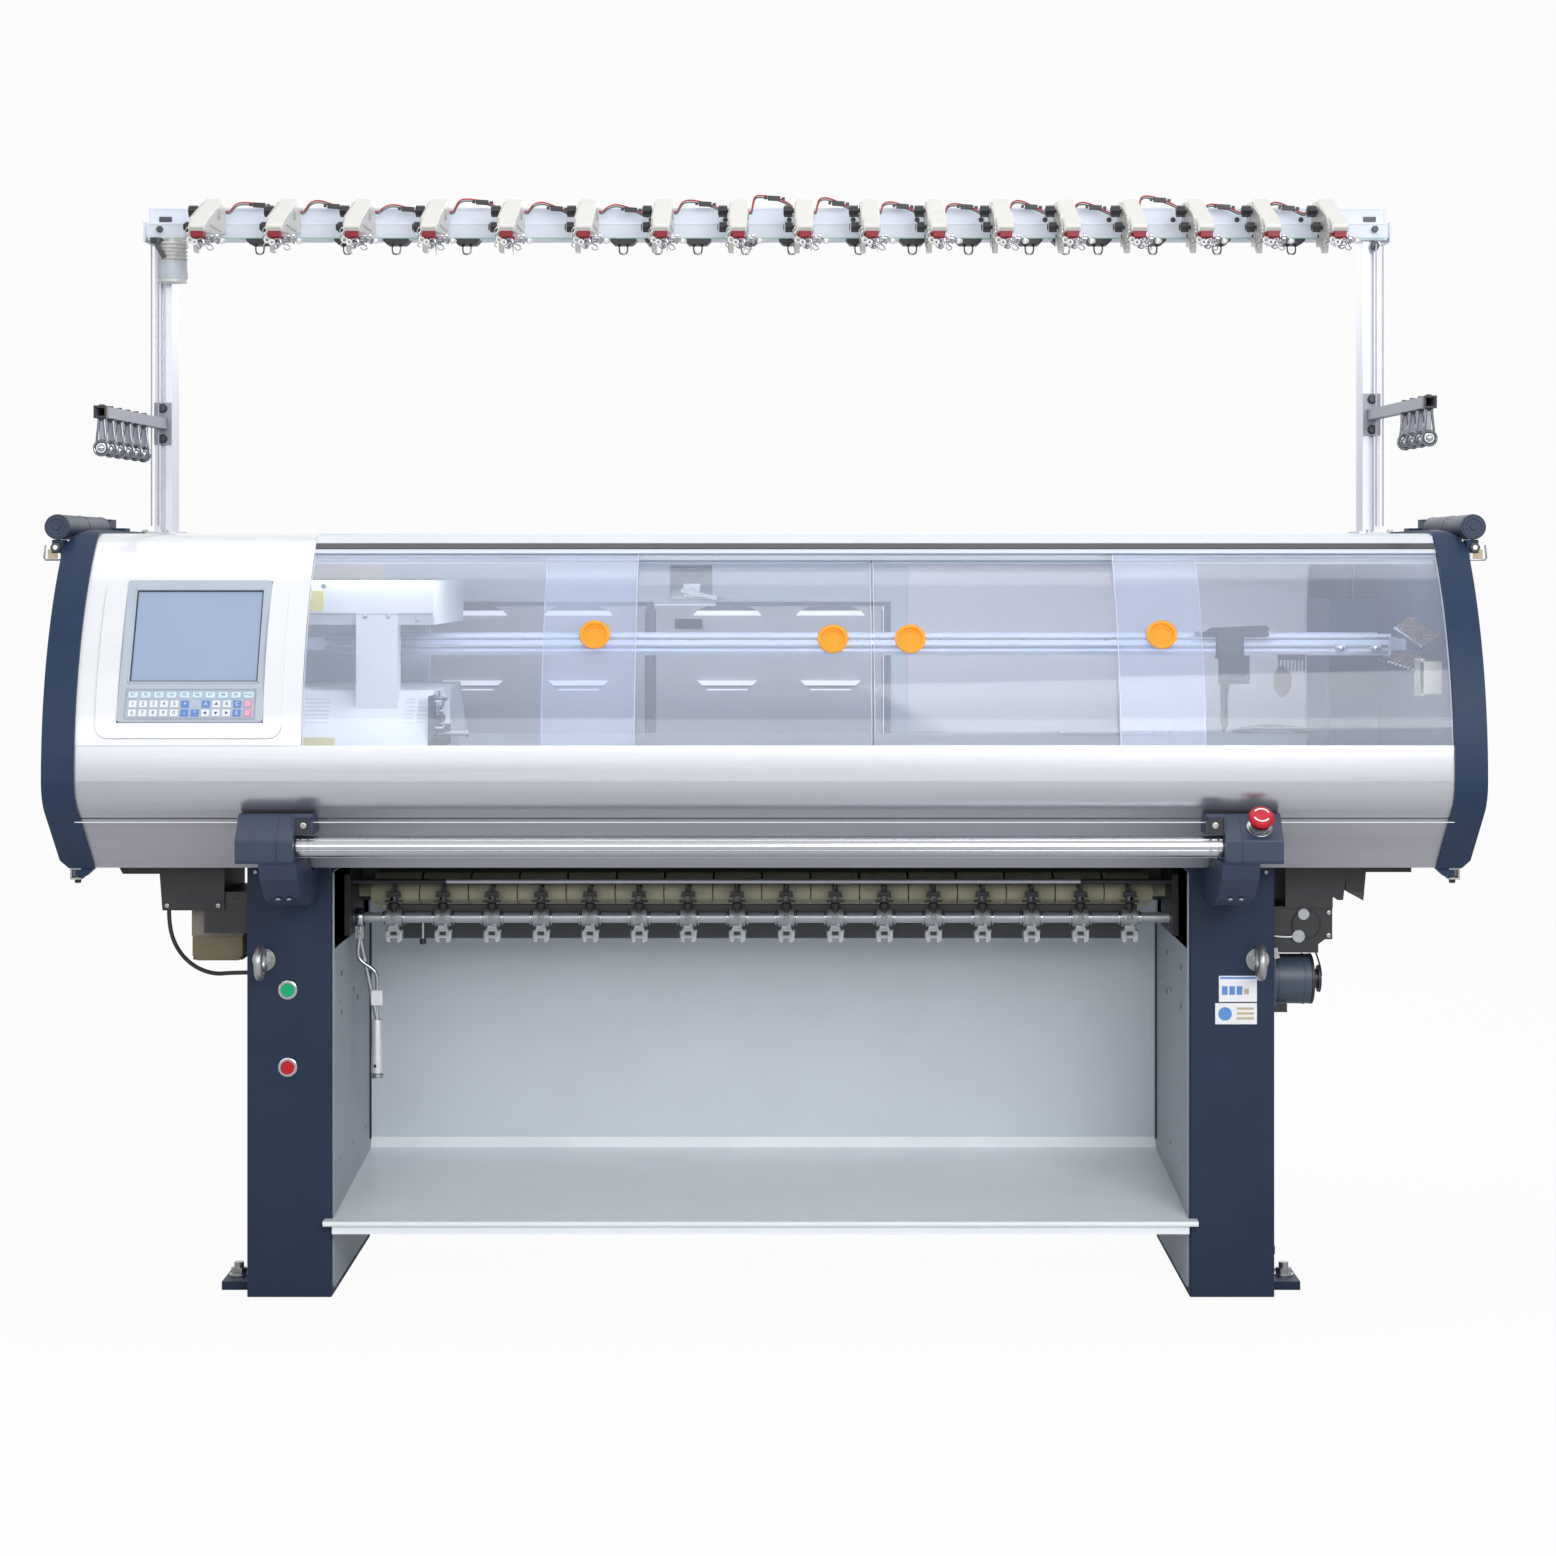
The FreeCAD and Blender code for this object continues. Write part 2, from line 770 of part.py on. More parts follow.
def lower_front_strip():
    """The darker strip below the seam, with its bottom fold under the bed."""
    outer_top = slope_point(0, panel_seam_z)
    outer_low = slope_point(0, casing_bottom_z)
    inner_top = slope_point(-sheet_thickness, panel_seam_z)
    inner_low = slope_point(-sheet_thickness, casing_bottom_z + sheet_thickness)
    outline = [
        (outer_top.y, outer_top.z),
        (outer_low.y, outer_low.z),
        (-bed_foot_half, casing_bottom_z),
        (-bed_foot_half, casing_bottom_z + sheet_thickness),
        (inner_low.y, inner_low.z),
        (inner_top.y, inner_top.z),
    ]
    return along_x(outline, skin_left_x, skin_right_x)


def display_frame():
    """The plane of the display: its placement maps X, up and outwards."""
    centre = front_point(front_arc_radius + bezel_proud, bezel_centre_z)
    half = bezel_height / 2 / front_arc_radius
    sagitta = front_arc_radius * (1 - math.cos(half))
    tilt = front_angle(bezel_centre_z)
    outward = Vector(0, -math.cos(tilt), math.sin(tilt))
    seat = centre - outward * sagitta
    turn = FreeCAD.Rotation(AXIS_X, 90 - math.degrees(tilt))
    middle_x = skin_left_x + fascia_width / 2 + display_shift_x
    return FreeCAD.Placement(Vector(middle_x, seat.y, seat.z), turn)


def on_display(width, height, low, high, x=0.0, up=0.0):
    """A block on the display's plane, from low to high along its outward normal."""
    block = Part.makeBox(width, height, high - low, Vector(x - width / 2, up - height / 2, low))
    block.Placement = display_frame().multiply(block.Placement)
    return block


def control_fascia():
    """The glossy moulded fascia with its raised, round-cornered frame."""
    low = front_angle(window_sill_z + 0.6)
    high = front_angle(front_arc_top_z)
    outer = front_arc_radius
    inner = front_arc_radius - fascia_thickness
    sheet = curved_slab(outer, inner, low, high, skin_left_x, fascia_right_x)
    crown, crown_start, crown_end = crown_edges(0)
    under, under_start, under_end = crown_edges(-fascia_thickness)
    edges = [crown, under, line(crown_start, under_start), line(crown_end, under_end)]
    roll = solid_from_edges(edges, Vector(fascia_width, 0, 0))
    roll = moved(roll, skin_left_x)
    frame_top = fascia_frame_bottom_z + fascia_frame_height - 7
    centre_x = skin_left_x + fascia_width / 2
    frame = curved_slab(
        outer + fascia_frame_rise,
        inner,
        front_angle(fascia_frame_bottom_z),
        front_angle(frame_top),
        centre_x - fascia_frame_width / 2,
        centre_x + fascia_frame_width / 2,
    )
    corner_edge = fascia_frame_rise + fascia_thickness
    frame = rounded(frame, fascia_frame_corner, lambda e: abs(e.Length - corner_edge) < 0.1)
    whole = joined([sheet, roll, frame])
    opening = on_display(bezel_width + 0.6, bezel_height + 0.6, -60, 60, 0, 0)
    return whole.cut(opening)


def screen_up():
    return bezel_height / 2 - screen_margin - screen_height / 2


def keypad_up():
    return -bezel_height / 2 + keypad_margin + keypad_height / 2


def display_bezel():
    """The grey bezel with recesses for the screen and the keypad."""
    plate = on_display(bezel_width, bezel_height, -bezel_thickness, 6)
    plate = rounded(plate, 6.0, lambda e: abs(e.Length - bezel_thickness - 6) < 0.1)
    recess = on_display(screen_width, screen_height, 6 - screen_recess, 30, screen_shift_x, screen_up())
    keypad_seat = on_display(keypad_width, keypad_height, 6 - keypad_thickness, 30, 0, keypad_up())
    return plate.cut(recess).cut(keypad_seat)


def display_screen():
    """The flat screen at the bottom of its recess."""
    low = 6 - screen_recess
    high = low + screen_thickness
    return on_display(screen_width, screen_height, low, high, screen_shift_x, screen_up())


def key_places():
    """Middle of each key: the function row, then two rows of number and control keys."""
    rows = [
        (function_keys, function_key_pitch, None),
        (number_keys, number_key_pitch, blank_key),
        (number_keys, number_key_pitch, None),
    ]
    places = []
    for row, (count, pitch, blank) in enumerate(rows):
        for column in range(count):
            if column != blank:
                x = (column - (count - 1) / 2) * pitch
                places.append((x, keypad_up() + (1 - row) * key_row_pitch))
    return places


def keypad():
    """The membrane keypad with its raised keys."""
    low = 6 - keypad_thickness
    pieces = [on_display(keypad_width, keypad_height, low, 6, 0, keypad_up())]
    for x, up in key_places():
        pieces.append(on_display(key_width, key_height, low, 6 + key_rise, x, up))
    return joined(pieces)


def sill_floor_angle():
    """The angle of the bottom of the sill rail's grooves."""
    return front_angle(window_sill_z - window_floor_drop) + rail_base / front_arc_radius


def window_rail(low, high):
    """The solid bar of a window rail, between two angles of the front arc."""
    outer = front_arc_radius
    return curved_slab(outer, outer - rail_depth, low, high, fascia_right_x, skin_right_x)


def window_grooves(low, high):
    """The outer and the inner groove that the windows slide in."""
    grooves = []
    for outside in (outer_window_outside, inner_window_outside):
        wide = outside + window_side_clearance
        narrow = outside - window_thickness - window_side_clearance
        grooves.append(curved_slab(wide, narrow, low, high, fascia_right_x, skin_right_x + 5))
    return grooves


def window_places():
    """Left edge and outside radius of each window, from left to right."""
    left = fascia_right_x + 0.5
    right = skin_right_x - 0.5
    second = left + window_width - outer_window_overlap_left
    third = right - 2 * window_width + outer_window_overlap_right
    return [
        (left, outer_window_outside),
        (second, inner_window_outside),
        (third, inner_window_outside),
        (right - window_width, outer_window_outside),
    ]


def pull_place(index):
    """Centre of a window's finger pull: near the edges that meet."""
    left, outside = window_places()[index]
    gap = pull_from_edge[index]
    x = left + window_width - gap if index < 2 else left + gap
    return x, outside, front_angle(pull_height_z)


def pull_turned(radius, low, high, index):
    """A disc round a finger pull's axis between two depths below the window's face."""
    x, outside, angle = pull_place(index)
    outward = Vector(0, -math.cos(angle), math.sin(angle))
    start = arc_point(outside - high, angle)
    start.x = x
    return Part.makeCylinder(radius, high - low, start, outward)


def window(index):
    """A curved clear panel with a round hole for its finger pull."""
    left, outside = window_places()[index]
    clearance = window_end_clearance / front_arc_radius
    low = sill_floor_angle() + clearance
    high = front_angle(window_head_z) - clearance
    panel = curved_slab(outside, outside - window_thickness, low, high, left, left + window_width)
    hole = pull_turned(pull_cup_radius + pull_hole_clearance, -10, 20, index)
    return panel.cut(hole)


def window_pull(index):
    """A finger pull: a flange on the window's face and a cup through its hole."""
    sagitta = front_arc_radius * (1 - math.cos(pull_radius / front_arc_radius))
    flange = pull_turned(pull_radius, -pull_flange, sagitta, index)
    left, outside = window_places()[index]
    face = outside + seat_gap
    under = curved_slab(face, face - 40, 0, math.pi / 3, left, left + window_width)
    cup = pull_turned(pull_cup_radius, -1, window_thickness, index)
    hollow = pull_turned(pull_cup_radius - 2, -pull_flange - 1, pull_cup_depth - pull_flange, index)
    return joined([flange.cut(under), cup]).cut(hollow)


def top_cover():
    """The bent top sheet from the window head rail over the crown to the rear corner."""
    crown, crown_start, crown_end = crown_edges(0)
    under, under_start, under_end = crown_edges(-sheet_thickness)
    inner_radius = rear_corner_radius - sheet_thickness
    centre = Vector(0, casing_back_y - rear_corner_radius, casing_top_z - rear_corner_radius)
    lean = Vector(0, math.sqrt(0.5), math.sqrt(0.5))
    rear_top = centre + Vector(0, 0, rear_corner_radius)
    rear_side = centre + Vector(0, rear_corner_radius, 0)
    inner_top = centre + Vector(0, 0, inner_radius)
    inner_side = centre + Vector(0, inner_radius, 0)
    edges = [
        crown,
        line(crown_end, rear_top),
        arc(rear_top, centre + lean * rear_corner_radius, rear_side),
        line(rear_side, inner_side),
        arc(inner_side, centre + lean * inner_radius, inner_top),
        line(inner_top, under_end),
        under,
        line(under_start, crown_start),
    ]
    cover = solid_from_edges(edges, Vector(skin_right_x - skin_left_x, 0, 0))
    cover = moved(cover, skin_left_x)
    room = box(skin_left_x - 1, fascia_right_x, -600, crown_end.y, casing_top_z - 60, casing_top_z + 20)
    ceiling = front_angle(window_head_z)
    turn = rail_groove / front_arc_radius
    rail = window_rail(ceiling - turn, front_angle(front_arc_top_z))
    for groove in window_grooves(ceiling - 2 * turn, ceiling):
        rail = rail.cut(groove)
    return joined([cover.cut(room), rail])


def door_edges():
    """Left and right X of each rear door opening."""
    first = door_left_hinge_x
    return [(first, first + door_width), (first + door_width + 3, first + 2 * door_width + 3)]


def hinge_places():
    """Heights of the hinges on a rear door."""
    return (door_bottom_z + 50, door_bottom_z + door_height - 50 - hinge_length)


def hinge_axis_y():
    return casing_back_y + hinge_barrel_radius + 0.4


def rear_wall():
    """The rear sheet with a doorway for each rear door and the fixed hinge barrels."""
    y0 = casing_back_y - sheet_thickness
    y1 = casing_back_y
    top = casing_top_z - rear_corner_radius
    door_top = door_bottom_z + door_height
    wall = box(skin_left_x, skin_right_x, y0, y1, casing_bottom_z, top)
    low = door_bottom_z - door_gap
    high = door_top + door_gap
    for x0, x1 in door_edges():
        doorway = box(x0 - door_gap, x1 + door_gap, y0 - 1, y1 + 1, low, high)
        wall = wall.cut(doorway)
    fold_top = casing_bottom_z + sheet_thickness
    floor_fold = box(skin_left_x, skin_right_x, bed_foot_half, y1, casing_bottom_z, fold_top)
    pieces = [wall, floor_fold]
    for x, hand in door_hinges():
        for z in hinge_places():
            pieces.append(hinge_fixed_part(x, hand, z))
    return joined(pieces)


def door_hinges():
    """X of each door's hinge line, and the side on which its wall leaf lies."""
    left, right = door_edges()
    return [(left[0] - door_gap / 2, -1), (right[1] + door_gap / 2, 1)]


def hinge_fixed_part(x, hand, z):
    """A hinge's fixed leaf with one long bored barrel."""
    y = hinge_axis_y()
    third = hinge_length / 3
    barrel = rod(hinge_barrel_radius, third, (x, y, z + third), AXIS_Z)
    end = x + hand * hinge_leaf_width
    face = casing_back_y + hinge_leaf_thickness
    leaf = box(min(x, end), max(x, end), casing_back_y, face, z + third, z + 2 * third)
    bore = rod(hinge_pin_radius + bearing_clearance, third + 2, (x, y, z + third - 1), AXIS_Z)
    return joined([barrel, leaf]).cut(bore)


def hinge_moving_part(x, hand, z):
    """A hinge's swinging leaf with its two outer barrels and the pin."""
    y = hinge_axis_y()
    third = hinge_length / 3
    gap = 0.4
    pieces = [rod(hinge_pin_radius, hinge_length, (x, y, z), AXIS_Z)]
    for start in (z, z + 2 * third + gap):
        pieces.append(rod(hinge_barrel_radius, third - gap, (x, y, start), AXIS_Z))
        x0 = min(x, x - hand * hinge_leaf_width)
        x1 = max(x, x - hand * hinge_leaf_width)
        y1 = casing_back_y + hinge_leaf_thickness
        pieces.append(box(x0, x1, casing_back_y, y1, start, start + third - gap))
    return joined(pieces)


def louvre(x0, x1, z):
    """One pressed louvre: a tapered hood standing out of the door."""
    y = casing_back_y - sheet_thickness / 2
    out = casing_back_y + louvre_rise
    hood = [
        (y, z),
        (casing_back_y, z),
        (out, z + louvre_height * 0.8),
        (out, z + louvre_height),
        (y, z + louvre_height),
    ]
    return along_x(hood, x0, x1)


def rear_door(index):
    """A rear door sheet with two columns of louvres and its hinge leaves."""
    x0, x1 = door_edges()[index]
    y0 = casing_back_y - sheet_thickness
    sheet = box(x0, x1, y0, casing_back_y, door_bottom_z, door_bottom_z + door_height)
    pieces = [sheet]
    for column in (0.28, 0.72):
        middle = x0 + (x1 - x0) * column
        for row in range(louvre_count):
            z = door_bottom_z + 30 + row * louvre_pitch
            pieces.append(louvre(middle - louvre_width / 2, middle + louvre_width / 2, z))
    x, hand = door_hinges()[index]
    for z in hinge_places():
        pieces.append(hinge_moving_part(x, hand, z))
    door = joined(pieces)
    if index == 1:
        place = (latch_x(), casing_back_y - 20, latch_height())
        bore = rod(latch_shaft_radius + bearing_clearance, 40, place, AXIS_Y)
        door = door.cut(bore)
    return door


def latch_x():
    return door_edges()[1][0] + latch_x_from_edge


def latch_height():
    return door_bottom_z + door_height - 34


def rear_door_latch():
    """The latch: a lever handle outside, its shaft and the tongue inside."""
    x = latch_x()
    z = latch_height()
    outside = casing_back_y + 0.3
    shaft = rod(latch_shaft_radius, 30, (x, casing_back_y - sheet_thickness - 8, z), AXIS_Y)
    rose = rod(14, 5, (x, outside, z), AXIS_Y)
    handle = box(x - 8, x + 8, casing_back_y + 12, casing_back_y + 20, z - 72, z + 8)
    handle = rounded(handle, 5.0, lambda e: abs(e.Length - 8) < 0.1)
    neck = rod(9, 18, (x, outside, z), AXIS_Y)
    inside = casing_back_y - sheet_thickness - 0.3
    tongue = box(x - 12, x + 38, inside - 6, inside, z - 9, z + 9)
    return joined([shaft, rose, handle, neck, tongue])


# ---------------------------------------------------------------- knitting head
def machine_bed():
    """The bed: two sloping beams and two end blocks, with the carriage's slide rails."""
    half = bed_half_length
    run = needle_bed_width / math.sqrt(2)
    drop = needle_bed_thickness / math.sqrt(2)
    low_y = needle_bed_gap_half + run - drop
    low_z = needle_bed_top_z - run - drop
    under_apex_z = needle_bed_top_z - 2 * drop - (bed_slot_half - needle_bed_gap_half)
    beam = [
        (-bed_slot_half, under_apex_z),
        (-low_y, low_z),
        (-bed_foot_half, low_z),
        (-bed_foot_half, casing_bottom_z),
        (-bed_slot_half, casing_bottom_z),
    ]
    front = along_x(beam, -half, half)
    rail_y0 = -slide_rail_y - slide_rail_width / 2
    rail = box(-half, half, rail_y0, rail_y0 + slide_rail_width, low_z, low_z + slide_rail_height)
    front = joined([front, rail])
    rear = mirrored(front, AXIS_Y)
    pieces = [front, rear]
    for side in (-1, 1):
        inner = side * (needle_bed_length / 2 + 10)
        outer = side * half
        x0 = min(inner, outer)
        x1 = max(inner, outer)
        block = box(x0, x1, -bed_slot_half, bed_slot_half, casing_bottom_z, low_z)
        pieces.append(block)
    return group(pieces)


def needle_beds():
    """The two needle beds that lean against each other, with their sinker strips."""
    run = needle_bed_width / math.sqrt(2)
    drop = needle_bed_thickness / math.sqrt(2)
    gap = needle_bed_gap_half
    top = needle_bed_top_z
    plate = [
        (-gap, top),
        (-gap - run, top - run),
        (-gap - run + drop, top - run - drop),
        (-gap, top - 2 * drop),
    ]
    half = needle_bed_length / 2
    front = along_x(plate, -half, half)
    strip_z = top - 26
    strip = [
        (-gap - 22, strip_z + 4),
        (-gap - 22 - sinker_strip_height / 2, strip_z + 4 + sinker_strip_height / 2),
        (-gap - 3, top + 2),
        (-gap, top + 2),
        (-gap, top - 5),
    ]
    front = joined([front, along_x(strip, -working_half, working_half)])
    return group([front, mirrored(front, AXIS_Y)])


def carriage_side(points, x0, x1):
    """The same bar on the front and the rear side of the carriage."""
    front = along_x(points, x0, x1)
    return [front, mirrored(front, AXIS_Y)]


def bed_line(y, lift):
    """Height of a line parallel to the front needle bed, lifted off it, at depth y."""
    return needle_bed_top_z + needle_bed_gap_half + y + lift * math.sqrt(2)


def carriage_cam_boxes():
    """The metal cam boxes that run over the needle beds on the slide rails."""
    run = needle_bed_width / math.sqrt(2)
    drop = needle_bed_thickness / math.sqrt(2)
    low_z = needle_bed_top_z - run - drop
    rail_top = low_z + slide_rail_height
    inner = -carriage_inner_y
    groove_in = -slide_rail_y + slide_rail_width / 2 + slide_clearance
    groove_out = -slide_rail_y - slide_rail_width / 2 - slide_clearance
    lip = 12.0
    high = rail_top + 18
    foot = rail_top - 14
    shoulder = bed_line(0, carriage_lift) + carriage_block_height
    outline = [
        (inner, bed_line(inner, carriage_lift)),
        (inner, shoulder + inner),
        (high - shoulder, high),
        (groove_out - lip, high),
        (groove_out - lip, foot),
        (groove_out, foot),
        (groove_out, rail_top + slide_clearance),
        (groove_in, rail_top + slide_clearance),
        (groove_in, foot),
        (groove_in + lip, foot),
        (groove_in + lip, bed_line(groove_in + lip, carriage_lift)),
    ]
    low = bed_line(-carriage_side_reach, carriage_lift) + 60
    side_outline_points = [
        (inner - 14, bed_line(inner - 14, carriage_lift)),
        (inner - 14, shoulder + inner - 14),
        (-carriage_side_reach, low + 30),
        (-carriage_side_reach, low),
    ]
    x0 = carriage_right_x
    blocks = carriage_side(outline, carriage_left_x, carriage_right_x)
    plates = carriage_side(side_outline_points, x0, x0 + carriage_side_width)
    return group([joined([block, plate]) for block, plate in zip(blocks, plates)])


def carriage_covers():
    """The white covers on the cam boxes, sloping to the front, with vent slots."""
    run = needle_bed_width / math.sqrt(2)
    drop = needle_bed_thickness / math.sqrt(2)
    high = needle_bed_top_z - run - drop + slide_rail_height + 18
    shoulder = bed_line(0, carriage_lift) + carriage_block_height
    inner = -carriage_inner_y
    outline = [
        (inner, shoulder + inner),
        (inner, carriage_cover_top_z - 30),
        (inner - 30, carriage_cover_top_z),
        (-carriage_cover_shoulder_y, carriage_cover_top_z),
        (-carriage_cover_front_y, carriage_cover_front_z),
        (-carriage_cover_front_y, high),
        (high - shoulder, high),
    ]
    front = along_x(outline, carriage_left_x, carriage_right_x)
    reach = carriage_cover_front_y
    front = rounded(front, 10.0, lambda e: abs(e.CenterOfMass.y + reach) < 1 and e.Length > 200)
    groups = (
        (carriage_left_x + 46, 42.0),
        (carriage_right_x - 45, 16.0),
        (carriage_right_x - 23, 14.0),
    )
    slope_y = carriage_cover_front_y - carriage_cover_shoulder_y
    slope_z = carriage_cover_top_z - carriage_cover_front_z
    for x0, width in groups:
        for row in range(vent_slots):
            share = 0.16 + row * vent_pitch / slope_z
            y = -carriage_cover_shoulder_y - slope_y * share
            z = carriage_cover_top_z - slope_z * share
            front = front.cut(box(x0, x0 + width, y - 4, y + 3, z - 1, z + 1.5))
    rear = mirrored(along_x(outline, carriage_left_x, carriage_right_x), AXIS_Y)
    return group([front, rear])


def carriage_bridge():
    """The T-shaped bridge over the yarn rails: two arms and a block across their tops."""
    x0 = bridge_arm_x - bridge_arm_width / 2
    x1 = bridge_arm_x + bridge_arm_width / 2
    slope_y = carriage_cover_front_y - carriage_cover_shoulder_y
    slope_z = carriage_cover_top_z - carriage_cover_front_z
    seat_z = carriage_cover_top_z - (bridge_reach_y - carriage_cover_shoulder_y) * slope_z / slope_y
    chamfer = bridge_chamfer
    arm = [
        (-bridge_reach_y, bridge_block_bottom_z),
        (-bridge_reach_y, seat_z),
        (-carriage_cover_shoulder_y, carriage_cover_top_z),
        (-bridge_reach_y + bridge_arm_thickness, carriage_cover_top_z),
        (-bridge_reach_y + bridge_arm_thickness, bridge_block_bottom_z),
    ]
    front_arm = along_x(arm, x0, x1)
    block = [
        (-bridge_reach_y, bridge_block_top_z),
        (-bridge_reach_y, bridge_block_bottom_z + chamfer),
        (-bridge_reach_y + chamfer, bridge_block_bottom_z),
        (bridge_reach_y - chamfer, bridge_block_bottom_z),
        (bridge_reach_y, bridge_block_bottom_z + chamfer),
        (bridge_reach_y, bridge_block_top_z),
    ]
    block_x1 = bridge_arm_x + bridge_arm_width / 2 + 58
    beam = along_x(block, block_x1 - bridge_block_width, block_x1)
    high = bridge_block_top_z - 1
    beam = rounded(beam, 8.0, lambda e: abs(e.Length - bridge_block_width) < 1 and e.CenterOfMass.z > high)
    solid_chamfer = along_x(
        [
            (-bridge_reach_y, bridge_block_bottom_z),
            (-bridge_reach_y, bridge_block_bottom_z + chamfer + 1),
            (-bridge_reach_y + chamfer + 1, bridge_block_bottom_z),
        ],
        x0,
        x1,
    )
    pieces = [beam, front_arm, solid_chamfer, mirrored(front_arm, AXIS_Y), mirrored(solid_chamfer, AXIS_Y)]
    return joined(pieces)


# ---------------------------------------------------------------- yarn rails
def yarn_rails():
    """The two grooved rails of the yarn carriers, with the bars to the casing's ends."""
    y0 = -yarn_rail_y - yarn_rail_thickness / 2
    y1 = y0 + yarn_rail_thickness
    z0 = yarn_rail_bottom_z
    z1 = z0 + yarn_rail_height
    rail = box(yarn_rail_left_x, yarn_rail_right_x, y0, y1, z0, z1)
    groove_depth = 2.5
    for share in (0.30, 0.78):
        z = z0 + yarn_rail_height * share
        rail = rail.cut(box(yarn_rail_left_x, yarn_rail_right_x, y0, y0 + groove_depth, z - 2, z + 2))
    heads = []
    for x in (yarn_rail_right_x - 85, yarn_rail_right_x - 26):
        heads.append(rod(7.5, 5.0, (x, y0, z0 + yarn_rail_height / 2), -AXIS_Y))
    bar_y = y1
    bar_z = z0 + (yarn_rail_height - rail_arm_height) / 2
    spans = ((skin_left_x, yarn_rail_left_x + rail_arm_lap), (yarn_rail_right_x - 110, skin_right_x))
    bars = [
        box(x0, x1, bar_y, bar_y + rail_arm_thickness, bar_z, bar_z + rail_arm_height) for x0, x1 in spans
    ]
    front = joined([rail] + heads + bars)
    return group([front, mirrored(front, AXIS_Y)])


def yarn_carrier():
    """A yarn carrier: a shoe round the front rail, a blade on top and the feeder foot."""
    x0 = carrier_x - carrier_width / 2
    x1 = carrier_x + carrier_width / 2
    gap = carrier_clearance
    front = -yarn_rail_y - yarn_rail_thickness / 2 - gap
    back = -yarn_rail_y + yarn_rail_thickness / 2 + gap
    low = yarn_rail_bottom_z - gap
    high = yarn_rail_bottom_z + yarn_rail_height + gap
    face = box(x0, x1, front - carrier_plate, front, low - 6, high + 3)
    top_hook = box(x0, x1, front - carrier_plate, back + 3, high, high + 3)
    top_lip = box(x0, x1, back, back + 3, high - 6, high + 3)
    low_hook = box(x0, x1, front - carrier_plate, back + 3, low - 6, low)
    low_lip = box(x0, x1, back, back + 3, low - 6, low + 6)
    blade = along_y(
        [
            (x0 - 22, high + 3),
            (x0 - 8, high + 10),
            (x1 + 38, high + 14),
            (x1 + 44, high + 8),
            (x1 + 40, high + 3),
        ],
        front - carrier_plate,
        front,
    )
    plate_low = carriage_cover_top_z + 6
    plate = box(x0 + 4, x1 + 10, front - carrier_plate, front, plate_low, low)
    shelf = box(carrier_x - 8, carrier_x + 8, front - carrier_plate, 4, plate_low, plate_low + 4)
    stem = box(carrier_x - 6, carrier_x + 6, -4, 4, needle_bed_top_z + 12, plate_low + 4)
    tip = Part.makeCone(2.0, 4.0, 10.0, Vector(carrier_x, 0, needle_bed_top_z + 4), AXIS_Z)
    return joined([face, top_hook, top_lip, low_hook, low_lip, blade, plate, shelf, stem, tip])


# ---------------------------------------------------------------- take-down
def section_places():
    """Middle of each take-down section along X."""
    first = -working_half + section_pitch / 2
    return [first + index * section_pitch for index in range(section_count)]


def take_down_roller():
    """The driven roller in rubber-covered sections, with its journals."""
    half = bearing_inner_x
    reach = half + bearing_plate_thickness - 0.5
    shaft = rod(roller_journal_radius, 2 * reach, (-reach, roller_y, roller_z), AXIS_X)
    sleeves = [shaft]
    width = section_pitch - 4
    for x in section_places():
        sleeves.append(rod(roller_radius, width, (x - width / 2, roller_y, roller_z), AXIS_X))
    return joined(sleeves)


def pinch_rollers():
    """Sixteen rubber pinch rollers on their common axle."""
    reach = working_half + 2
    axle = rod(pinch_axle_radius, 2 * reach, (-reach, pinch_roller_y, roller_z), AXIS_X)
    pieces = [axle]
    width = section_pitch / 2 - pinch_arm_width / 2 - pinch_arm_clearance - pinch_segment_gap / 2
    for x in section_places():
        left = x - section_pitch / 2 + pinch_segment_gap / 2
        right = x + pinch_arm_width / 2 + pinch_arm_clearance
        pieces.append(rod(pinch_roller_radius, width, (left, pinch_roller_y, roller_z), AXIS_X))
        pieces.append(rod(pinch_roller_radius, width, (right, pinch_roller_y, roller_z), AXIS_X))
    return joined(pieces)


def pinch_shaft():
    """The chrome shaft that opens the pinch: a clamp and arm in each section and a tie bar."""
    half = bearing_inner_x + bearing_plate_thickness - 0.5
    shaft = rod(pinch_shaft_radius, 2 * half, (-half, pinch_shaft_y, pinch_shaft_z), AXIS_X)
    pieces = [shaft]
    arm_width = pinch_arm_width
    for x in section_places():
        start = (x - clamp_width / 2, pinch_shaft_y, pinch_shaft_z)
        pieces.append(rod(clamp_radius, clamp_width, start, AXIS_X))
        pieces.append(clamp_foot(x))
        arm = along_x(
            [
                (pinch_shaft_y - 8, pinch_shaft_z),
                (pinch_shaft_y + 10, pinch_shaft_z - 4),
                (pinch_roller_y + 10, roller_z + 2),
                (pinch_roller_y + 4, roller_z + 11),
                (pinch_roller_y - 8, roller_z + 9),
            ],
            x - arm_width / 2,
            x + arm_width / 2,
        )
        pieces.append(arm)
    tie_y = pinch_shaft_y + 3
    tie_z = pinch_shaft_z + pinch_shaft_radius + 3
    tie_end = working_half - section_pitch / 2 + clamp_width / 2
    pieces.append(box(-tie_end, tie_end, tie_y, tie_y + pinch_tie_depth, tie_z, tie_z + pinch_tie_height))
    whole = joined(pieces)
    for x in section_places():
        start = (x - arm_width / 2 - 1, pinch_roller_y, roller_z)
        eye = rod(pinch_axle_radius + bearing_clearance, arm_width + 2, start, AXIS_X)
        whole = whole.cut(eye)
    return whole


